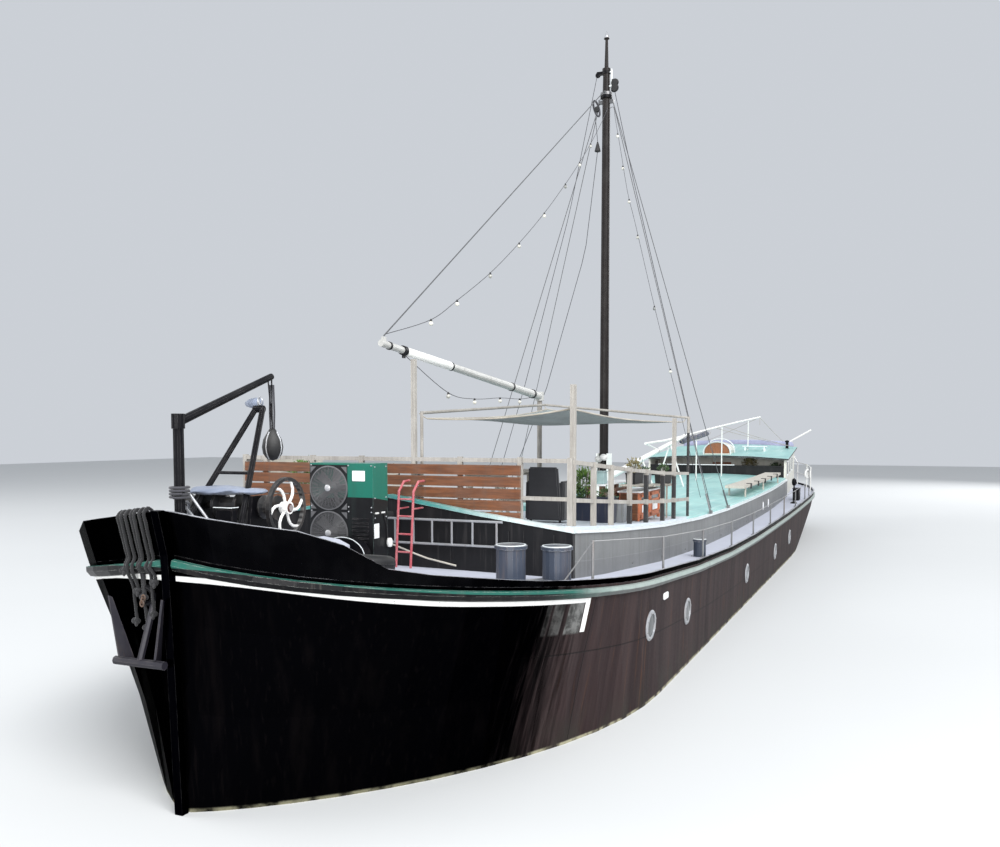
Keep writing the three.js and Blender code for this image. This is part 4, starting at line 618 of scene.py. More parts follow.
bulwarkSettings = {"black": (0.0020, 0.0020, 0.0026), "inside": (0.006, 0.006, 0.007), "top": (0.40, 0.41, 0.44)}


def makeBulwarkPaint(s):  # gloss black plate, paler in patches on its upward faces
    made, g, shader = newMaterial("bulwarkPaint")
    v = placed(g)
    upright = g.upright()
    upPatch = g.span(g.noise(g.stretched(v, (3.0, 3.0, 9.0)), 1.0, 5.0, 0.65), 0.30, 0.52)
    color = g.mix(g.span(g.noise(v, 0.9, 4.0, 0.6), 0.4, 0.65), s["black"], s["inside"])
    color = g.mix(g.times(g.span(upright, 0.5, 0.85), upPatch), color, s["top"])
    weathered(g, shader, color, dirt=(0.010, 0.009, 0.009), worn=(0.26, 0.25, 0.26), rough=0.27, patch=0.15,
        streak=0.15, edge=0.8, dust=0.02, specular=0.3, ior=1.3, tint=0.12)
    g.link(g.span(upright, 0.5, 0.2), shader.inputs["Metallic"])
    return made


# white is the colour of a painted highlight along the top of the aft strake
strakeSettings = {"teal": (0.018, 0.105, 0.082), "pale": (0.20, 0.25, 0.23), "white": (0.36, 0.43, 0.40),
    "grey": (0.085, 0.09, 0.09), "fadeFrom": 14.2, "fadeTo": 12.6}


def makeStrakePaint(s):
    made, g, shader, v, (x, y, z) = newPaint("strakePaint")
    below = g.minus(z, edgeCurve(g, x))
    worn = g.span(g.scaled(g.noise(v, 4.0, 5.0, 0.7), 2.2, x), s["fadeFrom"] + 1.1, s["fadeTo"] + 1.1)
    pale = g.mix(g.span(g.noise(g.stretched(v, (4.0, 4.0, 14.0)), 1.0, 4.0), 0.35, 0.65), s["pale"], s["grey"])
    color = g.mix(worn, s["teal"], pale)
    low = g.times(g.span(g.scaled(g.span(x, 14.9, 16.7), -0.022, below), -0.068, -0.076), g.span(x, 13.2, 14.4))
    color = g.mix(low, color, (0.002, 0.002, 0.003))
    # aft, the strake's lower half turns grey and its upper half gets a painted highlight in white
    lower = g.times(g.span(below, -0.082, -0.092), g.span(x, 14.0, 12.8))
    color = g.mix(g.times(lower, 0.85), color, s["grey"])
    upper = g.times(g.span(below, -0.088, -0.078), g.span(x, 14.0, 12.8))
    color = g.mix(g.times(upper, 0.7), color, s["white"])
    weathered(g, shader, color, dirt=(0.10, 0.09, 0.08), worn=(0.52, 0.54, 0.50), streak=0.25, edge=0.7,
        dust=0.08, ior=1.25)
    return made


roofSettings = {"aqua": (0.31, 0.58, 0.55), "deep": (0.22, 0.47, 0.46), "pale": (0.60, 0.78, 0.75), "sheet": 1.25}


def makeRoofPaint(name, s, blackEdge=False):
    made, g, shader, v, (x, y, z) = newPaint(name)
    clouds = g.noise(g.stretched(v, (0.7, 1.6, 1.6)), 1.0, 6.0, 0.6)
    color = g.mix(g.span(clouds, 0.3, 0.62), s["deep"], s["aqua"])
    color = g.mix(g.times(g.span(g.noise(g.stretched(v, (0.4, 6.0, 6.0)), 1.0, 5.0), 0.5, 0.75), 0.5), color,
        s["pale"])
    cell = g.math("FRACT", g.math("DIVIDE", x, s["sheet"]))
    seam = band(g, cell, 0.0, 0.018, 0.008)
    color = g.mix(g.times(seam, 0.7), color, s["pale"])
    if blackEdge:
        color = g.mix(g.span(g.upright(), 0.55, 0.35), color, (0.010, 0.012, 0.014))
    group = weathered(g, shader, color, dirt=(0.20, 0.26, 0.25), worn=(0.62, 0.68, 0.66), rough=0.45, patch=0.14,
        streak=0.3, edge=0.7, dust=0.22)
    bumped(g, shader, g.scaled(seam, 1.2, group.outputs["Height"]), 0.35, 0.004)
    return made


coamingSettings = {"grey": (0.125, 0.128, 0.130), "light": (0.175, 0.18, 0.18), "weld": (0.28, 0.28, 0.28),
    "plate": 2.45, "seam": (0.212, 0.219)}


def makeCoamingPaint(s):
    made, g, shader, v, (x, y, z) = newPaint("coamingPaint")
    color = g.mix(g.span(g.noise(g.stretched(v, (1.1, 0.2, 0.9)), 1.0, 5.0, 0.6), 0.3, 0.7), s["grey"],
        s["light"])
    cell = g.math("FRACT", g.math("DIVIDE", x, s["plate"]))
    above = g.minus(z, edgeCurve(g, x))
    weld = g.most(band(g, cell, 0.0, 0.006, 0.003), g.times(band(g, above, *s["seam"], 0.004), 0.7))
    color = g.mix(g.times(weld, 0.6), color, s["weld"])
    group = weathered(g, shader, color, dirt=(0.075, 0.07, 0.065), worn=(0.34, 0.33, 0.32), rough=0.42,
        patch=0.15, streak=0.3)
    bumped(g, shader, g.scaled(weld, 1.5, group.outputs["Height"]), 0.4, 0.004)
    return made


def makeCappingPaint(name, tones, fadeFrom, fadeTo):  # green at one side, faded to white at the other
    made, g, shader, v, (x, y, z) = newPaint(name)
    share = g.span(g.scaled(g.noise(v, 6.0, 5.0, 0.7), 0.9, y), fadeFrom, fadeTo)
    color = g.mix(share, tones[0], tones[1])
    weathered(g, shader, color, dirt=(0.16, 0.18, 0.17), worn=(0.70, 0.74, 0.72), rough=0.38, patch=0.3,
        streak=0.3, edge=0.9, dust=0.1)
    return made


pumpSettings = {"green": (0.012, 0.135, 0.095), "black": (0.006, 0.006, 0.007), "line": 2.857, "front": 14.17,
    "slope": 0.15}


def makePumpPaint(s):
    made, g, shader, _, (x, y, z) = newPaint("pumpPaint")
    line = s["line"] - s["slope"] * s["front"]
    upper = g.span(g.scaled(x, -s["slope"], z), line - 0.003, line + 0.003)
    behindFans = g.times(g.span(x, 14.13, 14.15), g.times(g.span(y, 0.272, 0.266), g.span(z, 3.232, 3.228)))
    color = g.mix(g.times(upper, g.minus(1.0, behindFans)), s["black"], s["green"])
    weathered(g, shader, color, dirt=(0.03, 0.05, 0.045), worn=(0.22, 0.33, 0.30), rough=0.36, streak=0.25,
        specular=0.4)
    return made


wheelSettings = {"axis": (15.89, 2.87), "rim": 0.262, "hub": 0.045, "black": (0.006, 0.006, 0.007),
    "white": (0.82, 0.82, 0.80), "red": (0.07, 0.016, 0.013)}


def makeWheelPaint(s):
    made, g, shader, _, (x, y, z) = newPaint("flywheelPaint")
    away = g.node("ShaderNodeCombineXYZ")
    g.link(g.minus(x, s["axis"][0]), away.inputs[0])
    g.link(g.minus(z, s["axis"][1]), away.inputs[2])
    size = g.node("ShaderNodeVectorMath", operation="LENGTH")
    g.link(away.outputs[0], size.inputs[0])
    onWheel = g.times(band(g, y, 0.60, 0.72), g.span(size.outputs["Value"], s["rim"] + 0.004, s["rim"] - 0.004))
    color = g.mix(onWheel, s["black"], s["white"])
    color = g.mix(g.times(onWheel, g.span(size.outputs["Value"], s["hub"] + 0.003, s["hub"] - 0.003)), color,
        s["red"])
    weathered(g, shader, color, dirt=(0.25, 0.2, 0.17), worn=(0.30, 0.27, 0.25), rough=0.35, patch=0.15,
        streak=0.25, edge=0.5, edgeWidth=0.005)
    return made


alongX, alongY, alongZ = (0, 0, 0), (0, 0, math.pi / 2), (0, math.pi / 2, 0)
woods = {  # the grain runs the way that turn names
    "railTimber": {"light": (0.40, 0.38, 0.34), "dark": (0.24, 0.22, 0.20), "grey": 0.6, "size": 5.0,
        "turn": alongZ, "rough": 0.72, "shadeFrom": 9.6, "lowExtra": 0.8, "shadeTop": 2.497},
    "awningTimber": {"light": (0.34, 0.32, 0.285), "dark": (0.20, 0.185, 0.165), "grey": 0.6, "size": 5.0,
        "turn": alongZ, "rough": 0.72, "shadeFrom": 8.0, "lowExtra": 0.0, "shadeTop": 3.30},
    "timberGrey": {"light": (0.34, 0.32, 0.285), "dark": (0.20, 0.185, 0.165), "grey": 0.6, "size": 5.0,
        "turn": alongZ, "rough": 0.72},
    "cedarBoards": {"light": (0.20, 0.070, 0.024), "dark": (0.075, 0.026, 0.010), "grey": 0.06, "size": 4.0,
        "turn": alongY, "rough": 0.5},
    "varnishedWood": {"light": (0.36, 0.13, 0.045), "dark": (0.17, 0.055, 0.02), "grey": 0.05, "size": 6.0,
        "turn": alongZ, "rough": 0.28, "coat": 0.5},
    "darkMast": {"light": (0.012, 0.008, 0.007), "dark": (0.004, 0.003, 0.003), "grey": 0.02, "size": 4.0,
        "turn": alongZ, "rough": 0.42, "dirt": (0.010, 0.008, 0.007), "worn": (0.06, 0.045, 0.04), "ior": 1.3},
    "paleBoards": {"light": (0.56, 0.53, 0.46), "dark": (0.38, 0.35, 0.30), "grey": 0.5, "size": 5.0,
        "turn": alongX, "rough": 0.7},
    "cabinetWood": {"light": (0.66, 0.20, 0.075), "dark": (0.40, 0.10, 0.035), "grey": 0.05, "size": 5.0,
        "turn": alongX, "rough": 0.45},
}


def makeWood(name, s):
    made, g, shader = newMaterial(name)
    turned = g.node("ShaderNodeMapping")
    turned.inputs["Rotation"].default_value = s["turn"]
    g.link(placed(g), turned.inputs["Vector"])
    group = g.node("ShaderNodeGroup", node_tree=woodGrain)
    g.link(turned.outputs[0], group.inputs["Vector"])
    group.inputs["Light"].default_value = (*s["light"], 1)
    group.inputs["Dark"].default_value = (*s["dark"], 1)
    group.inputs["Size"].default_value = s["size"]
    group.inputs["Grey"].default_value = s["grey"]
    color = group.outputs["Color"]
    if "shadeFrom" in s:  # the posts of the railing's after part, and of the awning frame aft, get painted shade, near black
        x, y, z = g.parts(placed(g))
        up = g.scaled(x, -0.05, z)
        posts = g.times(g.span(up, s["shadeTop"], s["shadeTop"] - 0.01), g.minus(1.0, band(g, up, 2.035, 2.115)))
        start = g.scaled(g.span(up, 2.05, 2.04), s["lowExtra"], s["shadeFrom"])
        # painted shade: the after posts are mixed to near black
        color = g.mix(g.times(posts, g.math("LESS_THAN", x, start)), color, (0.018, 0.018, 0.020))
    wear = weathered(g, shader, color, dirt=s.get("dirt", (0.07, 0.06, 0.05)),
        worn=s.get("worn", (0.46, 0.43, 0.38)), rough=s["rough"], streak=0.25, edge=0.5, coat=s.get("coat", 0.0),
        ior=s.get("ior", 1.5))
    bumped(g, shader, g.scaled(group.outputs["Height"], 0.8, wear.outputs["Height"]), 0.5, 0.003)
    return made


def makeCloth(name, light, dark, threads=900.0, coordinates="UV"):
    made, g, shader = newMaterial(name)
    source = g.node("ShaderNodeTexCoord").outputs[coordinates]
    group = g.node("ShaderNodeGroup", node_tree=clothWeave)
    g.link(source, group.inputs["Vector"])
    group.inputs["Threads"].default_value = threads
    group.inputs["Light"].default_value = (*light, 1)
    group.inputs["Dark"].default_value = (*dark, 1)
    g.link(group.outputs["Color"], shader.inputs["Base Color"])
    g.link(g.scaled(group.outputs["Height"], 0.1, 0.75), shader.inputs["Roughness"])
    shader.inputs["Sheen Weight"].default_value = 0.2
    wrinkles = g.noise(source, 5.0, 4.0, 0.6)
    bumped(g, shader, g.scaled(wrinkles, 3.0, g.times(group.outputs["Height"], 0.4)), 0.5, 0.004)
    return made


def makeGlass(name, tint=(0.020, 0.026, 0.030)):
    made, g, shader = newMaterial(name)
    v = placed(g)
    film = g.noise(g.stretched(v, (2.0, 2.0, 0.6)), 1.0, 5.0, 0.6)
    g.link(g.mix(g.span(film, 0.4, 0.75), tint, (0.07, 0.08, 0.085)), shader.inputs["Base Color"])
    g.link(g.span(film, 0.3, 0.8, 0.04, 0.22), shader.inputs["Roughness"])
    shader.inputs["Specular IOR Level"].default_value = 0.8
    bumped(g, shader, g.noise(v, 1.5, 2.0), 0.05, 0.004)
    return made


def makeRope(name, light, dark):
    made, g, shader = newMaterial(name)
    v = placed(g)
    strands = g.noise(v, 160.0, 3.0, 0.6)
    age = g.noise(v, 3.0, 5.0, 0.6)
    share = g.scaled(strands, 0.4, g.times(g.span(age, 0.3, 0.7), 0.6), clamp=True)
    g.link(g.mix(share, dark, light), shader.inputs["Base Color"])
    g.link(g.scaled(strands, 0.15, 0.75), shader.inputs["Roughness"])
    shader.inputs["Sheen Weight"].default_value = 0.15
    bumped(g, shader, strands, 0.6, 0.002)
    return made


def makeLeaf(name, light, dark):
    made, g, shader = newMaterial(name)
    v = placed(g)
    patches = g.noise(v, 7.0, 4.0, 0.6)
    veins = g.noise(v, 90.0, 2.0)
    color = g.mix(g.span(patches, 0.32, 0.66), dark, light)
    g.link(g.mix(g.times(g.span(veins, 0.6, 0.75), 0.35), color, (0.30, 0.34, 0.12)), shader.inputs["Base Color"])
    g.link(g.scaled(veins, 0.2, 0.4), shader.inputs["Roughness"])
    bumped(g, shader, veins, 0.3, 0.002)
    return made


materials.update({
    "bulbGlass": makeGlass("bulbGlass", (0.70, 0.68, 0.60)),
    "hullPaint": makeHullPaint(hullSettings), "bulwarkPaint": makeBulwarkPaint(bulwarkSettings),
    "strakePaint": makeStrakePaint(strakeSettings),
    "roofAqua": makeRoofPaint("roofAqua", roofSettings),
    "houseRoofAqua": makeRoofPaint("houseRoofAqua", roofSettings, True),
    "coamingPaint": makeCoamingPaint(coamingSettings), "pumpPaint": makePumpPaint(pumpSettings),
    "flywheelPaint": makeWheelPaint(wheelSettings),
    "frontCapping": makeCappingPaint("frontCapping", ((0.055, 0.25, 0.23), (0.62, 0.70, 0.70)), 0.9, 2.6),
    "awningCanvas": makeCloth("awningCanvas", (0.22, 0.27, 0.27), (0.13, 0.165, 0.165)),
    "darkBlueCloth": makeCloth("darkBlueCloth", (0.030, 0.040, 0.085), (0.012, 0.016, 0.038), 700.0, "Object"),
    "blackCloth": makeCloth("blackCloth", (0.016, 0.016, 0.020), (0.006, 0.006, 0.008), 600.0, "Object"),
    "blueCanvas": makeCloth("blueCanvas", (0.26, 0.30, 0.39), (0.16, 0.19, 0.26), 900.0, "Object"),
    "lavenderCanvas": makeCloth("lavenderCanvas", (0.42, 0.43, 0.60), (0.28, 0.29, 0.42), 900.0, "Object"),
    "windowGlass": makeGlass("windowGlass"),
    "ropePale": makeRope("ropePale", (0.50, 0.46, 0.38), (0.24, 0.21, 0.17)),
    "ropeBlack": makeRope("ropeBlack", (0.017, 0.017, 0.019), (0.004, 0.004, 0.005)),
    "ropeDark": makeRope("ropeDark", (0.055, 0.055, 0.065), (0.014, 0.014, 0.018)),
    "leafGreen": makeLeaf("leafGreen", (0.17, 0.30, 0.055), (0.035, 0.085, 0.02)),
    "leafDark": makeLeaf("leafDark", (0.060, 0.12, 0.035), (0.015, 0.035, 0.015)),
    "leafDry": makeLeaf("leafDry", (0.26, 0.22, 0.10), (0.09, 0.08, 0.04)),
})
materials.update({name: makeWood(name, s) for name, s in woods.items()})

finishes = {  # what each finish is given to
    "hullPaint": ["hull"],
    "bulwarkPaint": ["bulwark"],
    "strakePaint": ["rub_strake"],
    "blackGloss": ["stem_bar"],
    "antifoul": ["skeg_and_stern_post", "rudder"],
    "anchorBlack": ["anchor"],
    "blackPaint": ["king_post", "davit_a_frame", "windlass_frame", "fore_hatch_frame", "davit_spar"],
    "pumpPaint": ["heat_pump_casing"],
    "ladderRed": ["ladder"],
    "wallBlack": ["trunk_front_wall", "porch_wall"],
    "frontCapping": ["front_wall_capping"],
    "galvanised": ["front_wall_rack"],
    "coamingPaint": ["coaming_port", "coaming_starboard"],
    "capWhite": ["coaming_capping_port", "coaming_capping_starboard"],
    "terracePale": ["terrace_floor"],
    "roofAqua": ["hatch_roof"],
    "railTimber": ["terrace_railing"],
    "cedarBoards": ["windbreak_boards"],
    "awningTimber": ["awning_frame"],
    "awningCanvas": ["awning_cloth"],
    "timberGrey": ["boom_post"],
    "darkMast": ["mast"],
    "sparWhite": ["mast_case", "pushpit", "ridge_spar"],
    "wireSteel": ["shrouds_port", "shrouds_starboard", "boom_lift"],
    "railSteel": ["side_rail_port", "side_rail_starboard"],
    "drumBlue": ["bollard_pair_port", "bollard_pair_starboard", "bollard_single_port",
        "bollard_single_starboard"],
    "paleBoards": ["gangplank"],
    "creamPaint": ["house_wall_port", "house_wall_starboard", "house_wall_front", "house_wall_back",
        "companion_hood", "helm_pedestal"],
    "houseRoofAqua": ["house_roof"],
    "bronze": ["propeller"],
    "flywheelPaint": ["windlass_flywheel"],
    "deckLavender": ["fore_hatch_lid"],
    "fanGrey": ["heat_pump_fan_upper", "heat_pump_fan_lower"],
    "boomGrey": ["boom"],
    "varnishedWood": ["house_door_front", "house_door_back", "companion_door", "helm_wheel"],
}
painted = {name: finish for finish, names in finishes.items() for name in names}
for name, finish in painted.items():
    slots = nodes[name].data.materials
    for index in range(len(slots)):
        slots[index] = materials[finish]
print("materials given to", len(painted), "nodes")
missing = sorted(set(nodes) - set(painted))
assert not missing, missing

# ---- helpers for the added pieces
down = (0, 0, -1)
squareCorners = ((-1, -1), (1, -1), (1, 1), (-1, 1))
boxFaces = [(0, 3, 2, 1), (4, 5, 6, 7), (0, 1, 5, 4), (1, 2, 6, 5), (2, 3, 7, 6), (3, 0, 4, 7)]
slotMaterials = {
    "steel_black": ["galvanised", "windowGlass", "railSteel", "rubberBlack", "blackPaint", "wallBlack",
        "ropeDark", "ropeBlack"],
    "cap_white": ["whitePlate", "hatchGrey", "fenderWhite", "capWhite", "bulbGlass"],
    "spar_white": ["ropePale", "sparWhite"],
    "varnish": ["terracotta", "cabinetWood", "varnishedWood"], "timber_grey": ["paleBoards", "timberGrey"],
    "cedar": ["cedarBoards"],
    "cloth_grey": ["blackCloth", "darkBlueCloth"], "deck_pale": ["lavenderCanvas", "blueCanvas"],
    "fan_grey": ["guardGrey", "hubGrey"],
    "drum_blue": ["planterBlue"], "coaming_grey": ["planterGrey"], "rust": ["rustySteel"],
    "unit_green": ["potGreen", "leafGreen", "leafDark", "leafDry"],
}
usualSlot = {material: slotName for slotName, group in slotMaterials.items() for material in group}


def boxPart(low, high, taper=(1.0, 1.0), lean=(0.0, 0.0)):  # taper scales the top and lean shifts it
    (x0, y0, z0), (x1, y1, z1) = low, high
    cx, cy, hx, hy = (x0 + x1) / 2, (y0 + y1) / 2, (x1 - x0) / 2, (y1 - y0) / 2
    places = [(cx + sx * hx, cy + sy * hy, z0) for sx, sy in squareCorners]
    places += [(cx + sx * hx * taper[0] + lean[0], cy + sy * hy * taper[1] + lean[1], z1)
        for sx, sy in squareCorners]
    return places, boxFaces


def boxes(base, rows):  # a row is the low corner, the high corner and, where it has them, taper and lean
    x, y, z = base
    return [boxPart((x + r[0], y + r[1], z + r[2]), (x + r[3], y + r[4], z + r[5]), *r[6:]) for r in rows]


def circle(count, last=0, turn=0.0):  # cosines and sines right round, and again the first ones when last is 1
    angles = [turn + 2 * math.pi * k / count for k in range(count + last)]
    return [(math.cos(a), math.sin(a)) for a in angles]


def tubeFaces(rows, steps, ends=True):  # quads between rings of points, and the two closing faces
    faces = []
    for r in range(rows - 1):
        for k in range(steps):
            n = (k + 1) % steps
            faces.append((r * steps + k, r * steps + n, (r + 1) * steps + n, (r + 1) * steps + k))
    if ends:
        faces += [tuple(range(steps))[::-1], tuple((rows - 1) * steps + k for k in range(steps))]
    return faces


def turnedPart(profile, centre=(0, 0, 0), axis=(0, 0, 1), steps=24):  # profile of (radius, height)
    basis = aimed(axis, "Z").to_matrix()
    places = [tuple(Vector(centre) + basis @ Vector((radius * c, radius * s, height)))
        for radius, height in profile for c, s in circle(steps)]
    return places, tubeFaces(len(profile), steps, profile[0] != profile[-1])


def gathered(parts, near=1e-5):  # all the parts in one bmesh, facing outward
    bm = bmesh.new()
    for places, faces in parts:
        made = [bm.verts.new(place) for place in places]
        for face in faces:
            bm.faces.new([made[k] for k in face])
    bmesh.ops.remove_doubles(bm, verts=bm.verts, dist=near)
    bmesh.ops.recalc_face_normals(bm, faces=bm.faces)
    return bm


def toMesh(bm, name):
    mesh = bpy.data.meshes.new(name)
    bm.to_mesh(mesh)
    bm.free()
    return mesh


def shapeMesh(name, parts):
    return toMesh(gathered(parts, 1e-6), name)


def linkPiece(name, mesh, body, slotName):
    piece = bpy.data.objects.new(name, mesh)
    scene.collection.objects.link(piece)
    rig.ride(piece, body)
    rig.slot(piece, slotName)
    return piece


def makePiece(name, parts, material, bevel=0.0, smooth=35, body="vessel", slotName=None, segments=2):
    bm = gathered(parts)
    if bevel:
        sharp = [e for e in bm.edges if e.is_manifold and e.calc_face_angle(0) > math.radians(28)]
        bmesh.ops.bevel(bm, geom=sharp, offset=bevel, segments=segments, affect="EDGES", clamp_overlap=True)
    mesh = toMesh(bm, name)
    mesh.materials.append(materials[material])
    mesh.shade_smooth()
    mesh.set_sharp_from_angle(angle=math.radians(smooth))
    return linkPiece(name, mesh, body, slotName or usualSlot[material])


def newTree(name, inputs):
    tree = bpy.data.node_groups.new(name, "GeometryNodeTree")
    socket(tree, "Geometry", "NodeSocketGeometry")
    for label, kind, value in inputs:
        socket(tree, label, "NodeSocket" + kind, value=value)
    socket(tree, "Material", "NodeSocketMaterial")
    socket(tree, "Geometry", "NodeSocketGeometry", "OUTPUT")
    g = Graph(tree)
    return tree, g, g.node("NodeGroupInput").outputs, g.node("NodeGroupOutput").inputs


def joined(g, *pairs):  # links in pairs of source and target
    for source, target in pairs:
        g.link(source, target)


def closeTree(g, geometry, i, o):
    kinds = ("RealizeInstances", "SetShadeSmooth", "SetMaterial")
    real, smooth, painted = (g.node("GeometryNode" + kind) for kind in kinds)
    joined(g, (geometry, real.inputs["Geometry"]), (real.outputs[0], smooth.inputs[0]),
        (smooth.outputs[0], painted.inputs["Geometry"]),
        (i["Material"], painted.inputs["Material"]), (painted.outputs[0], o[0]))


def makeLineTree():  # a wire, pipe or laid rope along each run of edges
    tree, g, i, o = newTree("lineAlongPath", [("Radius", "Float", 0.01), ("Sides", "Int", 8),
        ("Step", "Float", 0.1), ("Lay", "Float", 0.0), ("Strands", "Float", 0.0)])
    kinds = ("MeshToCurve", "SetCurveTilt", "CurvePrimitiveCircle", "SetPosition", "CurveToMesh",
        "SplineParameter", "InputPosition")
    curve, tilt, circled, shaped, swept, along, position = (g.node("GeometryNode" + kind) for kind in kinds)
    even = g.node("GeometryNodeResampleCurve", mode="LENGTH")
    place = position.outputs[0]
    x, y, z = g.parts(place)
    lobe = g.math("COSINE", g.times(g.math("ARCTAN2", y, x), 3.0))
    grown = g.node("ShaderNodeVectorMath", operation="SCALE")
    circled.inputs["Radius"].default_value = 1.0
    swept.inputs["Fill Caps"].default_value = True
    joined(g, (i["Geometry"], curve.inputs[0]), (curve.outputs[0], even.inputs["Curve"]),
        (i["Step"], even.inputs["Length"]),
        (even.outputs[0], tilt.inputs["Curve"]),
        (g.times(along.outputs["Length"], i["Lay"]), tilt.inputs["Tilt"]),
        (i["Sides"], circled.inputs["Resolution"]), (place, grown.inputs[0]),
        (g.times(g.scaled(lobe, i["Strands"], 1.0), i["Radius"]), grown.inputs["Scale"]),
        (circled.outputs["Curve"], shaped.inputs["Geometry"]), (grown.outputs[0], shaped.inputs["Position"]),
        (tilt.outputs[0], swept.inputs["Curve"]), (shaped.outputs[0], swept.inputs["Profile Curve"]))
    closeTree(g, swept.outputs[0], i, o)
    return tree


def makeScatterTree():  # one small shape at every point, aimed along the point's own direction
    tree, g, i, o = newTree("shapeAtPoints", [("Shape", "Object", None), ("Least", "Float", 1.0),
        ("Most", "Float", 1.0), ("Seed", "Int", 1), ("Spin", "Float", 0.0)])
    info, stand = g.node("GeometryNodeObjectInfo"), g.node("GeometryNodeInstanceOnPoints")
    aim = g.node("GeometryNodeInputNamedAttribute", data_type="FLOAT_VECTOR")
    turn = g.node("FunctionNodeAlignRotationToVector", axis="Z")
    size, angle = (g.node("FunctionNodeRandomValue", data_type="FLOAT") for _ in range(2))
    spin = g.node("FunctionNodeRotateRotation", rotation_space="LOCAL")
    about = g.node("FunctionNodeAxisAngleToRotation")
    aim.inputs["Name"].default_value = "aim"
    joined(g, (i["Shape"], info.inputs["Object"]), (aim.outputs[0], turn.inputs["Vector"]),
        (i["Least"], size.inputs[2]), (i["Most"], size.inputs[3]), (i["Seed"], size.inputs[8]),
        (i["Spin"], angle.inputs[3]), (i["Seed"], angle.inputs[8]), (angle.outputs[1], about.inputs["Angle"]),
        (turn.outputs[0], spin.inputs[0]), (about.outputs[0], spin.inputs[1]),
        (i["Geometry"], stand.inputs["Points"]),
        (info.outputs["Geometry"], stand.inputs["Instance"]), (spin.outputs[0], stand.inputs["Rotation"]),
        (size.outputs[1], stand.inputs["Scale"]))
    closeTree(g, stand.outputs[0], i, o)
    return tree


lineTree, scatterTree = makeLineTree(), makeScatterTree()


def runTree(name, mesh, tree, values, material, body, slotName):
    holder = bpy.data.objects.new(name + "Source", mesh)
    scene.collection.objects.link(holder)
    modifier = holder.modifiers.new("shape", "NODES")
    modifier.node_group = tree
    known = {item.name: item.identifier for item in tree.interface.items_tree if item.item_type == "SOCKET"
        and item.in_out == "INPUT"}
    for label, value in {**values, "Material": materials[material]}.items():
        modifier[known[label]] = value
    graph = bpy.context.evaluated_depsgraph_get()
    made = bpy.data.meshes.new_from_object(holder.evaluated_get(graph), preserve_all_data_layers=False,
        depsgraph=graph)
    made.name = name
    holder.modifiers.remove(modifier)
    bpy.data.objects.remove(holder)
    bpy.data.meshes.remove(mesh)
    return linkPiece(name, made, body, slotName or usualSlot[material])


def linePiece(name, runs, material, radius=0.01, sides=8, step=0.12, body="vessel", slotName=None, lay=0.0,
        strands=0.0):
    mesh = bpy.data.meshes.new(name + "Path")
    places, edges = [], []
    for run in runs:
        edges += [(len(places) + k, len(places) + k + 1) for k in range(len(run) - 1)]
        places += [tuple(p) for p in run]
    mesh.from_pydata(places, edges, [])
    values = {"Radius": radius, "Sides": sides, "Step": step, "Lay": lay, "Strands": strands}
    return runTree(name, mesh, lineTree, values, material, body, slotName)


def scatterPiece(name, spots, shape, material, least=1.0, most=1.0, seed=3, spin=0.0, body="vessel",
        slotName=None):
    mesh = bpy.data.meshes.new(name + "Points")
    mesh.from_pydata([tuple(p) for p, d in spots], [], [])  # spots of (place, direction)
    aim = mesh.attributes.new("aim", "FLOAT_VECTOR", "POINT")
    aim.data.foreach_set("vector", [c for p, d in spots for c in d])
    source = bpy.data.objects.new(name + "Shape", shape)
    scene.collection.objects.link(source)
    values = {"Shape": source, "Least": least, "Most": most, "Seed": seed, "Spin": spin}
    made = runTree(name, mesh, scatterTree, values, material, body, slotName)
    bpy.data.objects.remove(source)
    return made


surfaces = {}


def hit(node, start, direction):  # where a line from start first meets a node
    if node not in surfaces:
        mesh = nodes[node].data
        surfaces[node] = BVHTree.FromPolygons([v.co for v in mesh.vertices], [p.vertices for p in mesh.polygons])
    return surfaces[node].ray_cast(Vector(start), Vector(direction).normalized())[:2]


def topOf(node, x, y):  # the highest place of a node above x, y
    return hit(node, (x, y, 9), down)[0]


def sag(a, b, drop, count=12):  # points of a line that hangs between two places
    a, b = Vector(a), Vector(b)
    return [a.lerp(b, t) - Vector((0, 0, 4 * drop * t * (1 - t))) for t in (k / count for k in range(count + 1))]


def boltShape(radius):
    profile = [(0.0, 0.011), (0.55, 0.010), (0.9, 0.007), (1.0, 0.003), (1.0, -0.004)]
    return shapeMesh("boltHead", [turnedPart([(r * radius, z * radius / 0.012) for r, z in profile], steps=8)])


# ---- awning
awningSettings = {
    "corners": [(12.38, 0.38, 3.79), (12.40, 2.39, 3.90), (6.22, 2.42, 3.80), (7.40, 0.20, 4.03)],
    "posts": [(12.46, 0.30, 3.86), (12.50, 2.42, 3.93), (6.13, 2.44, 3.86), (7.33, 0.13, 4.08)],
    "sag": 0.10, "scallop": 0.10, "across": 26, "along": 60, "ripple": 0.012, "cloth": (2.1, 6.0), "thick": 0.003,
}


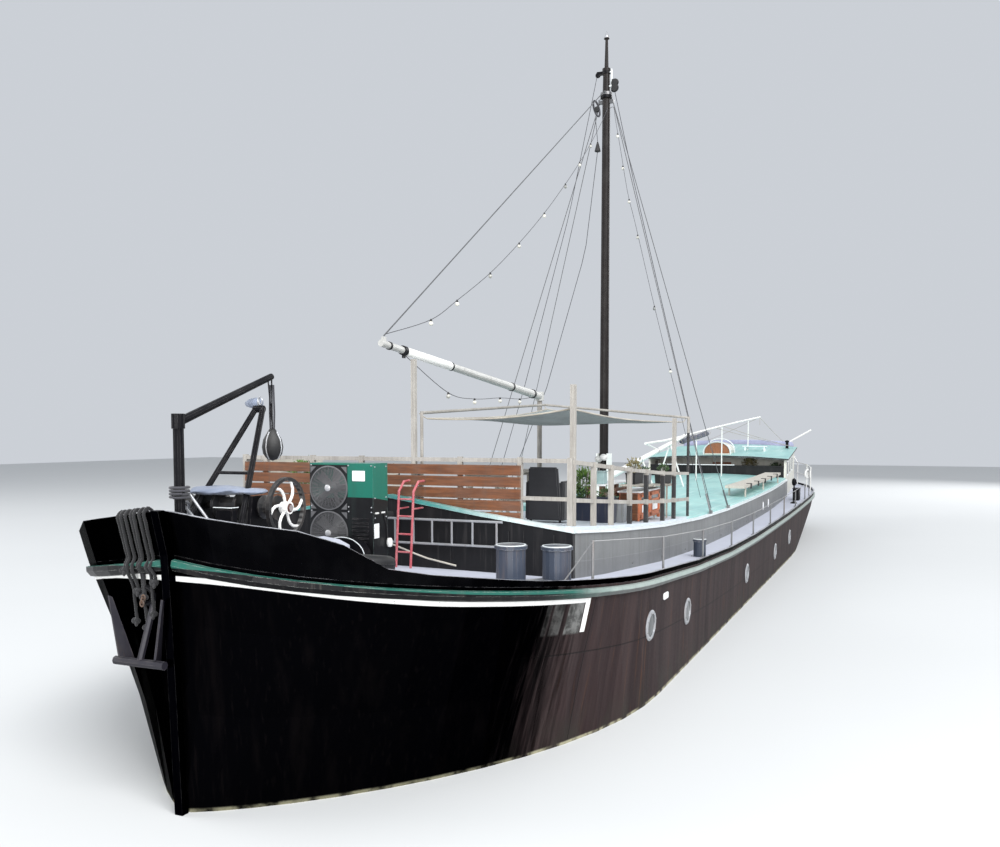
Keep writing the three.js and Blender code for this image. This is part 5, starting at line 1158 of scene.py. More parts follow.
def makeAwning(s):
    a, b, c, d = (Vector(p) for p in s["corners"])
    nu, nv = s["across"], s["along"]
    bm = bmesh.new()
    uv = bm.loops.layers.uv.new("cloth")
    grid = []
    for j in range(nv + 1):
        row = []
        for i in range(nu + 1):
            u, v = i / nu, j / nv
            middle = math.sin(math.pi * v)
            pullU = s["scallop"] * middle * (1 - 2 * u)
            pullV = s["scallop"] * 0.6 * math.sin(math.pi * u) * (1 - 2 * v)
            uu, vv = u + pullU * 0.5, v + pullV * 0.16
            place = (a.lerp(b, uu)).lerp(d.lerp(c, uu), vv)
            drop = s["sag"] * 4 * u * (1 - u) * (0.55 + 0.45 * middle) + 0.05 * middle
            calm = min(1, 6 * u, 6 * v, 6 * (1 - u), 6 * (1 - v))  # no folds along the edges
            folds = s["ripple"] * (math.sin(9 * v + 3 * u) + 0.6 * math.sin(17 * u - 5 * v)) * calm
            row.append(bm.verts.new(place - Vector((0, 0, drop - folds))))
        grid.append(row)
    for j in range(nv):
        for i in range(nu):
            around = ((i, j), (i + 1, j), (i + 1, j + 1), (i, j + 1))
            face = bm.faces.new([grid[q][p] for p, q in around])
            for loop, (p, q) in zip(face.loops, around):
                loop[uv].uv = (p / nu * s["cloth"][0], q / nv * s["cloth"][1])
    bmesh.ops.recalc_face_normals(bm, faces=bm.faces)
    mesh = toMesh(bm, "awningSheet")
    mesh.materials.append(materials["awningCanvas"])
    mesh.shade_smooth()
    piece = bpy.data.objects.new("awningSheet", mesh)
    scene.collection.objects.link(piece)
    piece.modifiers.new("thickness", "SOLIDIFY").thickness = s["thick"]
    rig.ride(piece, "vessel")
    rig.replaces(piece, "awning_cloth")
    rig.slot(piece, "cloth_grey")
    area = sum(p.area for p in mesh.polygons)
    rim = [(i, 0) for i in range(nu)] + [(nu, j) for j in range(nv)]
    rim += [(i, nv) for i in range(nu, 0, -1)] + [(0, j) for j in range(nv, -1, -1)]
    places = [mesh.vertices[j * (nu + 1) + i].co.copy() for i, j in rim]
    hem = linePiece("awningHem", [places], "ropePale", 0.011, 6, 0.1, slotName="cloth_grey")
    ties = [sag(corner, post, 0.01, 4) for corner, post in zip(s["corners"], s["posts"])]
    linePiece("awningLashings", ties, "ropePale", 0.007, 6, 0.03, slotName="cloth_grey")
    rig.sheet(piece, flat=(2.3, 6.2), held="hung", rests_on=["awning_frame"], area=area, with_pieces=[hem])
    return area


print("awning area", round(makeAwning(awningSettings), 2))

# ---- portholes and the blank plate on the hull
portholeSettings = {
    "places": [(11.41, 1.07), (9.16, 0.87), (3.33, 0.66), (-1.22, 0.60), (-4.3, 0.66)],
    "radius": 0.205, "glass": 0.155, "bolts": 8, "plate": (10.59, 1.31, 10.80, 1.40),
}


def makePortholes(s):
    frames, panes, bolts = [], [], []
    r, inner = s["radius"], s["glass"]
    frame = [(inner, 0.004), (inner, 0.020), (inner + 0.012, 0.026), (r - 0.012, 0.020), (r, 0.010), (r, -0.012),
        (inner, -0.012), (inner, 0.004)]
    pane = [(inner + 0.004, -0.010), (inner + 0.004, 0.008), (inner * 0.7, 0.012), (0.002, 0.014)]
    for x, z in s["places"]:
        for side in (1, -1):
            place, normal = hit("hull", (x, side * 8, z), (0, -side, 0))
            frames.append(turnedPart(frame, place, normal, 40))
            panes.append(turnedPart(pane, place, normal, 32))
            across = normal.cross(Vector((0, 0, 1))).normalized()
            upward = across.cross(normal)
            for c, t in circle(s["bolts"], turn=math.pi / s["bolts"]):
                bolts.append((place + (across * c + upward * t) * (inner + r) / 2 + normal * 0.021, normal))
    makePiece("portholeFrames", frames, "galvanised", smooth=50)
    makePiece("portholePanes", panes, "windowGlass", smooth=60)
    scatterPiece("portholeBolts", bolts, boltShape(0.011), "railSteel")
    x0, z0, x1, z1 = s["plate"]
    y = hit("hull", (10.69, 8, 1.36), (0, -1, 0))[0].y
    makePiece("hullPlate", [boxPart((x0, y, z0), (x1, y + 0.03, z1))], "whitePlate", 0.008)


makePortholes(portholeSettings)
print("portholes made")

# ---- terrace furniture


def floorAt(x, y):
    place = topOf("terrace_floor", x, y)
    return place.z + 0.001 if place else 0.0


planterSettings = {  # pots as place, half width or radius, and height
    "blueTall": [(9.35, 1.55, 0.17, 0.35), (10.1, 2.15, 0.12, 0.37)], "greyTapered": [(9.6, 2.22, 0.075, 0.30)],
    "floorPots": [(6.75, 1.5, 0.15, 0.26), (12.0, -1.9, 0.16, 0.3), (11.5, -2.0, 0.13, 0.24)],
    "railPots": [(8.56, 9.08, 0.19), (6.56, 7.22, 0.19)],
    "greyRailPots": [(8.03, 8.50, 0.185), (6.10, 6.48, 0.17)],
    "potY": (2.14, 2.31), "shelfUp": 0.597, "wall": 0.016, "flare": 1.12,
}


def squarePot(x, y, half, height, z):
    flare = planterSettings["flare"]
    rim, top = half * (flare - 1), half * flare
    parts = [boxPart((x - half, y - half, z), (x + half, y + half, z + height), (flare, flare))]
    for sx, sy, wide, deep in ((0, 1, top + rim, rim), (0, -1, top + rim, rim), (1, 0, rim, top),
            (-1, 0, rim, top)):
        parts += boxes((x + sx * top, y + sy * top, z + height), [(-wide, -deep, -0.004, wide, deep, 0.022)])
    return parts


def roundPot(x, y, r, height, z):
    shares = [(0.66, 0.0), (0.7, 0.01 / height), (0.94, 0.8), (1.04, 0.82), (1.06, 1.0), (0.93, 1.0),
        (0.86, 0.88)]
    profile = [(0.001, 0.0)] + [(r * wide, height * up) for wide, up in shares] + [(0.001, height * 0.86)]
    return [turnedPart(profile, (x, y, z), steps=28)]


def railPots(places, s):
    parts, (y0, y1), wall = [], s["potY"], s["wall"]
    for x0, x1, height in places:
        z = floorAt((x0 + x1) / 2, 2.2) + s["shelfUp"]
        parts.append(boxPart((x0 + 0.02, y0 + 0.015, z), (x1 - 0.02, y1 - 0.015, z + height - 0.02),
            (1.06, 1.12)))
        rims = ((x0, x1, y0, y0 + wall), (x0, x1, y1 - wall, y1), (x0, x0 + wall, y0, y1),
            (x1 - wall, x1, y0, y1))
        parts += [boxPart((a0, b0, z + height - 0.025), (a1, b1, z + height)) for a0, a1, b0, b1 in rims]
    return parts


def makePlanters(s):
    def standing(shape, pots):
        return [part for x, y, half, height in pots for part in shape(x, y, half, height, floorAt(x, y))]

    makePiece("tallPlanters", standing(squarePot, s["blueTall"]), "planterBlue", 0.008)
    makePiece("taperedPlanter", standing(squarePot, s["greyTapered"]), "planterGrey", 0.006)
    makePiece("railPotsBlack", railPots(s["railPots"], s), "rubberBlack", 0.005)
    makePiece("railPotsGrey", railPots(s["greyRailPots"], s), "planterGrey", 0.005)
    makePiece("clayPots", standing(roundPot, s["floorPots"]), "terracotta")


makePlanters(planterSettings)

shelfSettings = {"from": 6.0, "to": 9.2, "free": (7.2, 8.8), "y": (2.08, 2.38), "up": 0.57, "thick": 0.026,
    "lengths": 6}


def makePotShelf(s):  # board along the rail that carries the pots
    parts, count = [], s["lengths"]
    for k in range(count):
        xa, xb = (s["from"] + (s["to"] - s["from"]) * t / count for t in (k, k + 1))
        z = floorAt((xa + xb) / 2, 2.2) + s["up"]
        parts.append(boxPart((xa + 0.004, s["y"][0], z), (xb - 0.004, s["y"][1], z + s["thick"])))
        if s["free"][0] < xa + 0.06 < s["free"][1]:  # the cabinet stands there
            continue
        for y in (s["y"][0] + 0.03, s["y"][1] - 0.05):
            parts.append(boxPart((xa + 0.05, y, floorAt(xa + 0.06, y)), (xa + 0.08, y + 0.03, z + 0.001)))
    makePiece("potShelf", parts, "paleBoards", 0.004)


makePotShelf(shelfSettings)

cabinetSettings = {"place": (7.3, 1.94), "size": (1.4, 0.33, 0.52), "panel": 0.012}


def makeCabinet(s):  # gives back the end board, which is of the counter's wood
    (x, y), (w, d, h), p = s["place"], s["size"], s["panel"]
    base = (x, y, floorAt(x + w / 2, y + d / 2))
    rows = [(0.01, 0.01, 0.05, w - 0.01, d - 0.01, h - 0.03)]
    rows += [(a, b, 0, a + 0.05, b + 0.05, h - 0.03) for a in (0, w - 0.05) for b in (0, d - 0.05)]
    for k in range(2):
        xa, xb = 0.07 + k * (w - 0.12) / 2, 0.03 + (k + 1) * (w - 0.09) / 2
        rows += [(xa, d - 0.012, za, xb, d + p, zb) for za, zb in ((0.08, 0.14), (h - 0.11, h - 0.05),
            (0.31, 0.35))]
        rows += [(a, d - 0.012, 0.08, a + 0.05, d + p, h - 0.05) for a in (xa, xb - 0.05)]
    makePiece("cabinetBody", boxes(base, rows), "cabinetWood", 0.004)
    makePiece("cabinetTop", boxes(base, [(-0.03, -0.03, h - 0.028, w + 0.03, d + 0.035, h)]), "whitePlate", 0.006)
    panes = [(a, d - 0.008, 0.35, b, d + 0.002, h - 0.11) for a, b in ((0.12, 0.62), (0.80, w - 0.12))]
    makePiece("cabinetPanes", boxes(base, panes), "windowGlass")
    labels = [(a, d - 0.004, 0.16, b, d + 0.004, 0.28) for a, b in ((0.20, 0.52), (0.88, w - 0.2))]
    makePiece("cabinetLabels", boxes(base, labels), "whitePlate", 0.002)
    return boxes(base, [(w - 0.002, 0.02, 0.04, w + 0.014, d - 0.02, h - 0.04)])


counterSettings = {"place": (7.78, 1.60), "size": (1.64, 0.30), "top": 2.80, "box": (9.10, 1.67),
    "lamps": [(9.16, 1.73), (9.22, 1.83)]}


def makeCounter(s, boards):
    (x, y), (w, d), top = s["place"], s["size"], s["top"]
    low = floorAt(x, y)
    rows = [(0.03, d - 0.03, 0.06 + k * 0.105, w - 0.03, d - 0.008, 0.155 + k * 0.105) for k in range(5)]
    rows += [(a - 0.03, b - 0.03, 0, a + 0.03, b + 0.03, top - 0.024 - low) for a in (0.04, w / 2, w - 0.04)
        for b in (0.04, d - 0.05)]
    rows.append((0.02, 0.02, 0.34, w - 0.02, d - 0.04, 0.36))
    makePiece("counterBoards", boards + boxes((x, y, low), rows), "cedarBoards", 0.003)
    makePiece("counterTop", boxes((x, y, top), [(0, 0, -0.025, w, d + 0.01, 0)]), "whitePlate", 0.005)
    box = [(0, 0, 0, 0.20, 0.19, 0.19, (0.96, 0.96)), (-0.01, -0.01, 0.185, 0.21, 0.20, 0.205)]
    makePiece("counterBox", boxes((*s["box"], top), box), "hatchGrey", 0.008)
    globe = [(0.001, -0.045), (0.04, -0.036), (0.062, 0.0), (0.055, 0.035), (0.03, 0.058), (0.001, 0.064)]
    rises = [(lx, ly, top + 0.03 * k) for k, (lx, ly) in enumerate(s["lamps"])]
    heads = [turnedPart(globe, (lx, ly, z + 0.38), (0.1, 0.1, 1), 24) for lx, ly, z in rises]
    makePiece("terraceLampHeads", heads, "fenderWhite", smooth=60)
    stems = [[(lx, ly - 0.01, top + 0.19), (lx, ly, z + 0.35)] for lx, ly, z in rises]
    linePiece("terraceLampStems", stems, "rubberBlack", 0.012, 8)


makeCounter(counterSettings, makeCabinet(cabinetSettings))

chairSettings = {"place": (10.8, 1.53), "arm": 0.25, "foot": (0.21, 0.22)}


def makeChair(s):
    arm, (fx, fy) = s["arm"], s["foot"]
    rows = [
        (-0.26, -0.25, 0.05, 0.24, 0.25, 0.36), (-0.25, -0.21, 0.35, 0.19, 0.21, 0.46, (0.94, 0.94)),
        (0.17, -0.25, 0.05, 0.27, 0.25, 0.80, (0.7, 0.86), (0.07, 0)),
    ]
    rows += [(-0.27, sy * arm - 0.045, 0.05, 0.25, sy * arm + 0.045, 0.60, (0.94, 0.9)) for sy in (-1, 1)]
    rows += [(sx * fx - 0.02, sy * fy - 0.02, 0, sx * fx + 0.02, sy * fy + 0.02, 0.07) for sx in (-1, 1)
        for sy in (-1, 1)]
    makePiece("terraceChair", boxes((*s["place"], floorAt(*s["place"])), rows), "blackCloth", 0.022, segments=3)


makeChair(chairSettings)

tableSettings = {"centre": (10.5, 0.62), "size": (1.5, 0.78), "height": 0.74, "boards": 6, "leg": 0.022}


def makeTable(s):
    (length, width), h, leg = s["size"], s["height"], s["leg"]
    each = width / s["boards"]
    rows = []
    for k in range(s["boards"]):
        y = k * each - width / 2
        rows.append((-length / 2, y + 0.004, h - 0.028, length / 2, y + each - 0.004, h))
    for end in (-1, 1):
        x = end * (length / 2 - 0.22)
        for way, tilt in ((-1, -1), (-1, 1), (1, -1), (1, 1)):
            fx, fy = x + tilt * 0.16, way * 0.30
            rows.append((fx - leg, fy - leg, 0, fx + leg, fy + leg, h - 0.06, (1, 1),
                (-tilt * 0.14, -way * 0.05)))
        rows += [(x - 0.03, -0.33, h - 0.085, x + 0.03, 0.33, h - 0.027),
            (x - 0.10, -0.29, 0.22, x - 0.075, 0.29, 0.26)]
    makePiece("trestleTable", boxes((*s["centre"], floorAt(*s["centre"])), rows), "paleBoards", 0.004)


makeTable(tableSettings)

benchSettings = {"places": [(11.7, -2.02), (9.3, -2.02)], "length": 1.5, "seat": 0.43}


def makeBenches(s):
    half, seat = s["length"] / 2, s["seat"]
    rows = [(-half, k * 0.105 - 0.2, seat, half, k * 0.105 - 0.11, seat + 0.022) for k in range(4)]
    rows += [(-half, -0.225, 0.52 + k * 0.11, half, -0.205, 0.60 + k * 0.11) for k in range(3)]
    for x in (0.12 - half, half - 0.12):
        for y0, z0, y1, z1 in ((-0.20, 0, -0.15, seat), (0.15, 0, 0.20, seat), (-0.2, 0.38, 0.2, 0.431),
                (-0.245, 0.38, -0.224, 0.84)):
            rows.append((x - 0.025, y0, z0, x + 0.025, y1, z1))
    parts = [part for x, y in s["places"] for part in boxes((x, y, floorAt(x, y)), rows)]
    makePiece("terraceBenches", parts, "paleBoards", 0.004)


makeBenches(benchSettings)
print("terrace furniture made")

# ---- plants
leafSettings = {  # centre, reach, number of leaves, leaf length, material, seed
    "bush": ((9.35, 1.55, 2.84), (0.23, 0.23, 0.25), 700, 0.055, "leafGreen", 5),
    "bushLow": ((9.40, 1.60, 2.61), (0.20, 0.20, 0.13), 340, 0.04, "leafDark", 6),
    "planterHerbs": ((10.10, 2.15, 2.70), (0.16, 0.16, 0.10), 260, 0.04, "leafDark", 7),
    "railDry": ((8.82, 2.22, 3.06), (0.27, 0.11, 0.15), 260, 0.045, "leafDry", 8),
    "railHerbs": ((6.90, 2.22, 2.95), (0.30, 0.10, 0.10), 240, 0.04, "leafDark", 9),
    "railGreyHerbs": ((8.27, 2.22, 2.98), (0.20, 0.10, 0.08), 160, 0.038, "leafDark", 10),
    "aftPotHerbs": ((6.75, 1.5, 2.48), (0.20, 0.20, 0.2), 340, 0.05, "leafGreen", 13),
    "starboardHerbs": ((12.0, -1.9, 3.02), (0.22, 0.22, 0.25), 420, 0.055, "leafGreen", 14),
    "starboardDry": ((11.5, -2.0, 2.86), (0.18, 0.18, 0.2), 300, 0.05, "leafDark", 15),
    "porchBamboo": ((-10.75, 1.05, 2.44), (0.22, 0.30, 0.38), 480, 0.075, "leafDry", 16),
    "porchShrub": ((-10.7, 1.95, 2.44), (0.18, 0.2, 0.16), 300, 0.055, "leafDark", 17),
}


def leafShape(size):
    outline = [(0, 0), (0.16, 0.3), (0.2, 0.6), (0.1, 0.88), (0, 1.0), (-0.1, 0.88), (-0.2, 0.6), (-0.16, 0.3)]
    places = [(x * size, (0.06 - x * x) * size * 0.8, z * size) for x, z in outline]
    places.append((0, 0.12 * size, 0.45 * size))
    mesh = bpy.data.meshes.new("leaf")
    mesh.from_pydata(places, [], [(k, (k + 1) % 8, 8) for k in range(8)])
    return mesh


def makePlants(settings):
    stems = []
    for name, (centre, radius, count, leaf, material, seed) in settings.items():
        rng = random.Random(seed)
        centre, spots = Vector(centre), []
        for _ in range(count):
            way = Vector([rng.gauss(0, 1) for _ in range(3)]).normalized()
            reach = rng.uniform(0.45, 1.0) * (0.8 + 0.2 * math.sin(7 * way.x + 5 * way.y + 3 * way.z))
            place = centre + Vector([a * b for a, b in zip(way, radius)]) * reach
            spots.append((place, (way + Vector((0, 0, rng.uniform(-0.2, 0.9)))).normalized()))
        scatterPiece(name + "Leaves", spots, leafShape(leaf), material, 0.7, 1.3, seed, 6.28)
        foot = centre - Vector((0, 0, radius[2] + 0.12))
        for _ in range(7):
            top = centre + Vector([rng.uniform(*span) * r
                for span, r in zip(((-0.7, 0.7), (-0.7, 0.7), (0.1, 0.8)), radius)])
            start = foot + Vector((rng.uniform(-0.03, 0.03), rng.uniform(-0.03, 0.03), 0))
            stems.append([start, foot.lerp(top, 0.5) + Vector((0, 0, 0.02)), top])
    linePiece("plantStems", stems, "timberGrey", 0.006, 5, 0.08)


makePlants(leafSettings)
print("plants made")

# ---- bands, rolled cloth and lines on the ridge spar
sparSettings = {
    "foot": (2.14, 0.0, 2.69), "slope": -0.1171, "bands": [1.35, 0.2, -1.6, -3.3, -4.6],
    "roll": [(-4.35, 0.0, 3.33), (-7.1, 0.30, 3.60)], "rollRadius": 0.075, "rows": 60, "steps": 20,
    "wires": [
        ((-7.9, 0.36, 3.77), (-13.2, 2.22, 3.10)), ((-8.66, 0.45, 3.84), (-13.7, 2.20, 3.08)),
        ((-13.55, 0.97, 4.20), (-15.2, 1.88, 3.05)), ((-13.55, 0.97, 4.20), (-15.96, -1.50, 3.28)),
    ],
    "hanging": ((-13.58, 0.98, 4.18), 0.28),
}


def makeSparFittings(s):
    foot, way = Vector(s["foot"]), Vector((1, 0, s["slope"])).normalized()
    bands = []
    for x in s["bands"]:
        centre = Vector((x, 0, foot.z + (x - foot.x) * s["slope"]))
        r = 0.075 - 0.017 * max(0, (2.1 - x) / 7)
        band = [(r - 0.004, -0.028), (r + 0.008, -0.024), (r + 0.008, 0.024), (r - 0.004, 0.028)]
        bands.append(turnedPart(band, centre, way, 24))
    makePiece("sparBands", bands, "galvanised", 0.002, slotName="spar_white")
    a, b = (Vector(p) for p in s["roll"])
    length, rows, steps, radius = (b - a).length, s["rows"], s["steps"], s["rollRadius"]
    basis = aimed(b - a, "Z").to_matrix()
    places = []
    for t in (j / rows for j in range(rows + 1)):
        tied = 1 - 0.22 * max(0, math.cos(math.pi * 2 * t * 6)) ** 12
        end = min(1, 0.35 + 9 * t, 0.35 + 9 * (1 - t))
        for angle in (2 * math.pi * k / steps for k in range(steps)):
            wave = 1 + 0.10 * math.sin(3 * angle + 11 * t) + 0.05 * math.sin(5 * angle - 23 * t)
            r = radius * tied * end * wave
            places.append(tuple(a + basis @ Vector((r * math.cos(angle), r * math.sin(angle), length * t))))
    roll = makePiece("rolledCloth", [(places, tubeFaces(rows + 1, steps))], "darkBlueCloth", smooth=80)
    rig.padded(roll, fill=0.6)
    middles = [a.lerp(b, (k + 0.02) / 6.04) for k in range(7)]
    ties = [[centre + basis @ Vector((radius * 0.9 * c, radius * 0.9 * t, 0)) for c, t in circle(12, 1)]
        for centre in middles]
    linePiece("rollTies", ties, "ropePale", 0.005, 6, 0.03)
    top, drop = Vector(s["hanging"][0]), s["hanging"][1]
    wires = [sag(start, end, 0.03, 16) for start, end in s["wires"]]
    wires.append([top, top - Vector((0.01, 0, drop * 0.5)), top - Vector((0, 0, drop))])
    linePiece("ridgeLines", wires, "ropePale", 0.007, 6, 0.25)


makeSparFittings(sparSettings)

# ---- canvas over the stern shelter, with its white spar
shelterSettings = {
    "plan": [(-14.45, 2.020), (-14.52, 2.120), (-15.30, 1.900), (-16.02, 1.620), (-16.10, 1.520)],
    "low": 2.970, "high": 3.270, "over": 0.006, "steps": 44, "seams": [-15.0, -15.55],
    "ties": [-14.75, -15.15, -15.6, -15.95], "spar": [(-15.25, 1.86, 3.24), (-15.95, 2.62, 3.72)],
}


def makeShelter(s):
    plan, over = s["plan"], s["over"]
    low, high, start, end = s["low"] - over, s["high"] + over, plan[0][0], plan[-1][0]

    def halfAt(x):
        for (xa, ha), (xb, hb) in list(zip(plan, plan[1:]))[::-1]:
            if xb - 0.01 <= x <= xa + 0.01:
                return ha + (hb - ha) * min(1, max(0, (xa - x) / (xa - xb)))

    stations = [start + over] + [start - (start - end) * k / s["steps"] for k in range(1, s["steps"])]
    stations.append(end - over)
    places = []
    for x in stations:
        half = halfAt(x) + over
        rise = 0.008 * math.sin(9 * x) + sum(0.012 * math.exp(-((x - q) / 0.03) ** 2) for q in s["seams"])
        outline = [(half - 0.05, low), (half, low + 0.06), (half + 0.004, (low + high) / 2 - 0.02),
            (half, high - 0.11), (half - 0.07, high - 0.03)]
        outline += [(half * t, high - 0.03 + 0.06 * (1 - t * t) + 0.01) for t in (0.8, 0.6, 0.4, 0.2)]
        outline = outline + [(0.0, high + 0.04)] + [(-y, z) for y, z in outline[::-1]]
        outline += [(-(half - 0.05) * t, low - 0.010 * (1 - t * t)) for t in (0.5, 0.0, -0.5)]
        for y, z in outline:
            fold = 0.006 * math.sin(21 * x + 5 * y) + 0.004 * math.sin(37 * y + 9 * x)
            out = max(fold, 0)
            places.append((x, y + (out if y > 0 else -out),
                z + (rise + out if z > (low + high) / 2 else -abs(fold))))
    faces = tubeFaces(len(stations), len(outline))
    piece = makePiece("canvasShelter", [(places, faces)], "lavenderCanvas", smooth=70)
    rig.padded(piece, fill=0.5)
    hems = []
    for side in (1, -1):
        hems.append([(x, side * (h - 0.035), low - 0.004) for x, h in plan])
        for x in s["ties"]:
            half = halfAt(x)
            hems.append([(x, side * (half + 0.008), low + 0.10), (x - 0.01, side * (half - 0.02), low - 0.03),
                (x, side * (half - 0.06), low - 0.012)])
    linePiece("shelterHem", hems, "ropePale", 0.008, 6, 0.06)
    linePiece("sternSpar", [s["spar"]], "sparWhite", 0.034, 14, 0.3)


makeShelter(shelterSettings)
print("spar and shelter made")

# ---- heat pump guards, corner plates and blank plate
pumpFitSettings = {
    "front": 14.174, "fans": [(0.012, 2.960), (0.012, 2.430)], "radius": 0.248, "rings": 15, "spokes": 28,
    "hub": 0.038,
    "corner": 0.075, "bulge": 0.022, "louvres": 12, "boltRows": (2.05, 2.69, 2.745, 3.225),
    "sideBoltRows": (2.05, 2.62, 2.85, 3.21),
}


def makePumpFittings(s):
    x, radius, hub, corner, bulge = s["front"], s["radius"], s["hub"], s["corner"], s["bulge"]
    boss = [(0.001, 0.014), (hub * 0.7, 0.012), (hub, 0.004), (hub, -0.012), (0.001, -0.012)]
    rim = [(radius - 0.004, 0.006), (radius + 0.012, 0.004), (radius + 0.012, -0.006), (radius - 0.004, -0.006),
        (radius - 0.004, 0.006)]
    rings, spokes, hubs, rims, corners = [], [], [], [], []
    for y, z in s["fans"]:
        for k in range(s["rings"]):
            r = hub + (radius - hub) * (k + 1) / s["rings"]
            out = bulge * (1 - (r / radius) ** 2)
            rings.append([(x + out, y + r * c, z + r * t) for c, t in circle(24 + 2 * k, 1)])
        for c, t in circle(s["spokes"]):
            spokes.append([(x + bulge * (1 - a * a) - 0.003, y + radius * a * c, z + radius * a * t)
                for a in (0.13, 0.4, 0.7, 1.03)])
        hubs.append(turnedPart(boss, (x + bulge, y, z), (1, 0, 0), 24))
        rims.append(turnedPart(rim, (x + 0.001, y, z), (1, 0, 0), 48))
        for sy, sz in squareCorners:
            cy, cz = y + sy * radius, z + sz * radius
            triangle = [(cy, cz), (cy - sy * corner, cz), (cy, cz - sz * corner)]
            places = [(xx, p, q) for xx in (x - 0.006, x + 0.002) for p, q in triangle]
            corners.append((places, tubeFaces(2, 3)))
    linePiece("fanGuardRings", rings, "guardGrey", 0.0034, 5, 0.05)
    linePiece("fanGuardSpokes", spokes, "guardGrey", 0.003, 5, 0.07)
    makePiece("fanHubs", hubs, "hubGrey", smooth=50)
    makePiece("fanRims", rims, "guardGrey", smooth=50)
    makePiece("fanCorners", corners, "guardGrey")
    makePiece("pumpPlate", [boxPart((x - 0.006, 0.335, 3.045), (x + 0.002, 0.505, 3.165))], "whitePlate", 0.003)
    louvres = []
    for k in range(s["louvres"]):
        louvres += boxes((14.169, 0.33, 2.10 + 0.045 * k),
            [(0, 0, 0, 0.013, 0.22, 0.022, (0.4, 1.0), (-0.004, 0))])
    makePiece("pumpLouvres", louvres, "blackPaint", 0.002)
    bolts = [((x + 0.001, y, z), (1, 0, 0)) for y in (-0.225, 0.285, 0.59) for z in s["boltRows"]]
    bolts += [((xx, 0.611, z), (0, 1, 0)) for xx in (13.88, 14.13) for z in s["sideBoltRows"]]
    scatterPiece("pumpBolts", bolts, boltShape(0.009), "galvanised", slotName="fan_grey")
    pipes = [(0, 0.12, 0, 0.24, 0.18, 0.06), (0, 0, 0, 0.24, 0.05, 0.05)]
    makePiece("pumpPipes", boxes((13.60, 0.38, 2.60), pipes), "rubberBlack", 0.012)


makePumpFittings(pumpFitSettings)

# ---- small things on the trunk's front wall
wallSettings = {
    "x": 12.751, "plate": (14.045, 14.15, 2.385, 2.555), "lamp": (13.865, 0.648, 2.315), "side": 0.61,
    "fittings": [(13.95, 2.675), (14.09, 2.675)], "welds": (-2.0, -1.1, 0.9, 1.9),
}


def makeWallFittings(s):
    x, side, (x0, x1, z0, z1) = s["x"], s["side"], s["plate"]
    makePiece("casingPlate", [boxPart((x0, side - 0.004, z0), (x1, side + 0.007, z1))], "whitePlate", 0.002)
    lamp = [(0.001, -0.055), (0.026, -0.05), (0.036, -0.02), (0.036, 0.02), (0.026, 0.05), (0.001, 0.055)]
    body = [turnedPart(lamp, s["lamp"], steps=20)]
    for fx, fz in s["fittings"]:
        body += boxes((fx, side, fz), [(-0.035, -0.004, -0.010, 0.035, 0.012, 0.010)])
    makePiece("casingLamp", body, "fenderWhite", 0.003, 50)
    linePiece("wallPole", [[(12.80, 0.02, 2.17), (12.92, 0.60, 2.02), (13.02, 1.10, 1.955)]], "paleBoards",
        0.012, 8, 0.2)
    cables = [[(13.865, 0.622, 2.36), (13.87, 0.618, 2.5), (13.95, 0.618, 2.66)]]
    cables += [[(x + 0.010, y, low), (x + 0.010, y, high)] for y, low, high in ((1.70, 2.05, 2.38),
        (2.30, 1.99, 2.36))]
    linePiece("wallCables", cables, "rubberBlack", 0.006, 6, 0.05)
    linePiece("wallWelds", [[(x + 0.001, y, 1.96), (x + 0.001, y, 2.40)] for y in s["welds"]], "wallBlack",
        0.006, 6, 0.05)


makeWallFittings(wallSettings)
print("heat pump and front wall fitted")

# ---- gear on the foredeck
tyreSettings = {"place": (14.95, 1.02), "radius": 0.27, "height": 0.23, "blocks": 48, "rows": (0.30, 0.62)}


def makeTyre(s):
    (x, y), r, h = s["place"], s["radius"], s["height"]
    place, normal = hit("hull", (x, y, 5), down)
    half = [(0.56, 0.22), (0.60, 0.05), (0.80, 0.0), (0.97, 0.10), (1, 0.25)]  # shares of radius and height
    inside = [(0.62, 0.70), (0.88, 0.6), (0.88, 0.4), (0.62, 0.3), (0.56, 0.22)]
    wall = [(r * a, h * b) for a, b in half + [(a, 1 - b) for a, b in half[::-1]] + inside]
    makePiece("deckTyre", [turnedPart(wall, (x, y, place.z - 0.002), normal, 56)], "rubberBlack", smooth=60)
    basis = aimed(normal, "Z").to_matrix()
    tread = []
    for c, t in circle(s["blocks"]):
        out = basis @ Vector((c, t, 0))
        tread += [(Vector((x, y, place.z)) + out * (r - 0.001) + normal * h * up, out) for up in s["rows"]]
    block = shapeMesh("treadBlock", [boxPart((-0.011, -0.013, -0.004), (0.011, 0.013, 0.006), (0.85, 0.85))])
    scatterPiece("tyreTread", tread, block, "rubberBlack")


makeTyre(tyreSettings)

hoodSettings = {"x": (14.215, 14.365), "y": (0.03, 0.61), "top": 2.41}


def makeVentHood(s):
    (xa, xb), (ya, yb), top = s["x"], s["y"], s["top"]
    low = topOf("hull", xb, 0.4).z - 0.03
    middle, half = (ya + yb) / 2, (yb - ya) / 2
    arch = [(middle + half * c, top - half * 0.75 * (1 - t)) for c, t in circle(48)[:25]]
    outline = [(yb, low)] + arch + [(ya, low)]
    shell = [(x, y, z) for x in (xa, xb) for y, z in outline]
    makePiece("foreVentHood", [(shell, tubeFaces(2, len(outline)))], "blackPaint", 0.008, 40)
    # a white line along the hood's front edge: a painted highlight on its rim
    linePiece("hoodRim", [[(xb + 0.002, y, z + 0.002) for y, z in outline]], "capWhite", 0.006, 8, 0.03)


makeVentHood(hoodSettings)

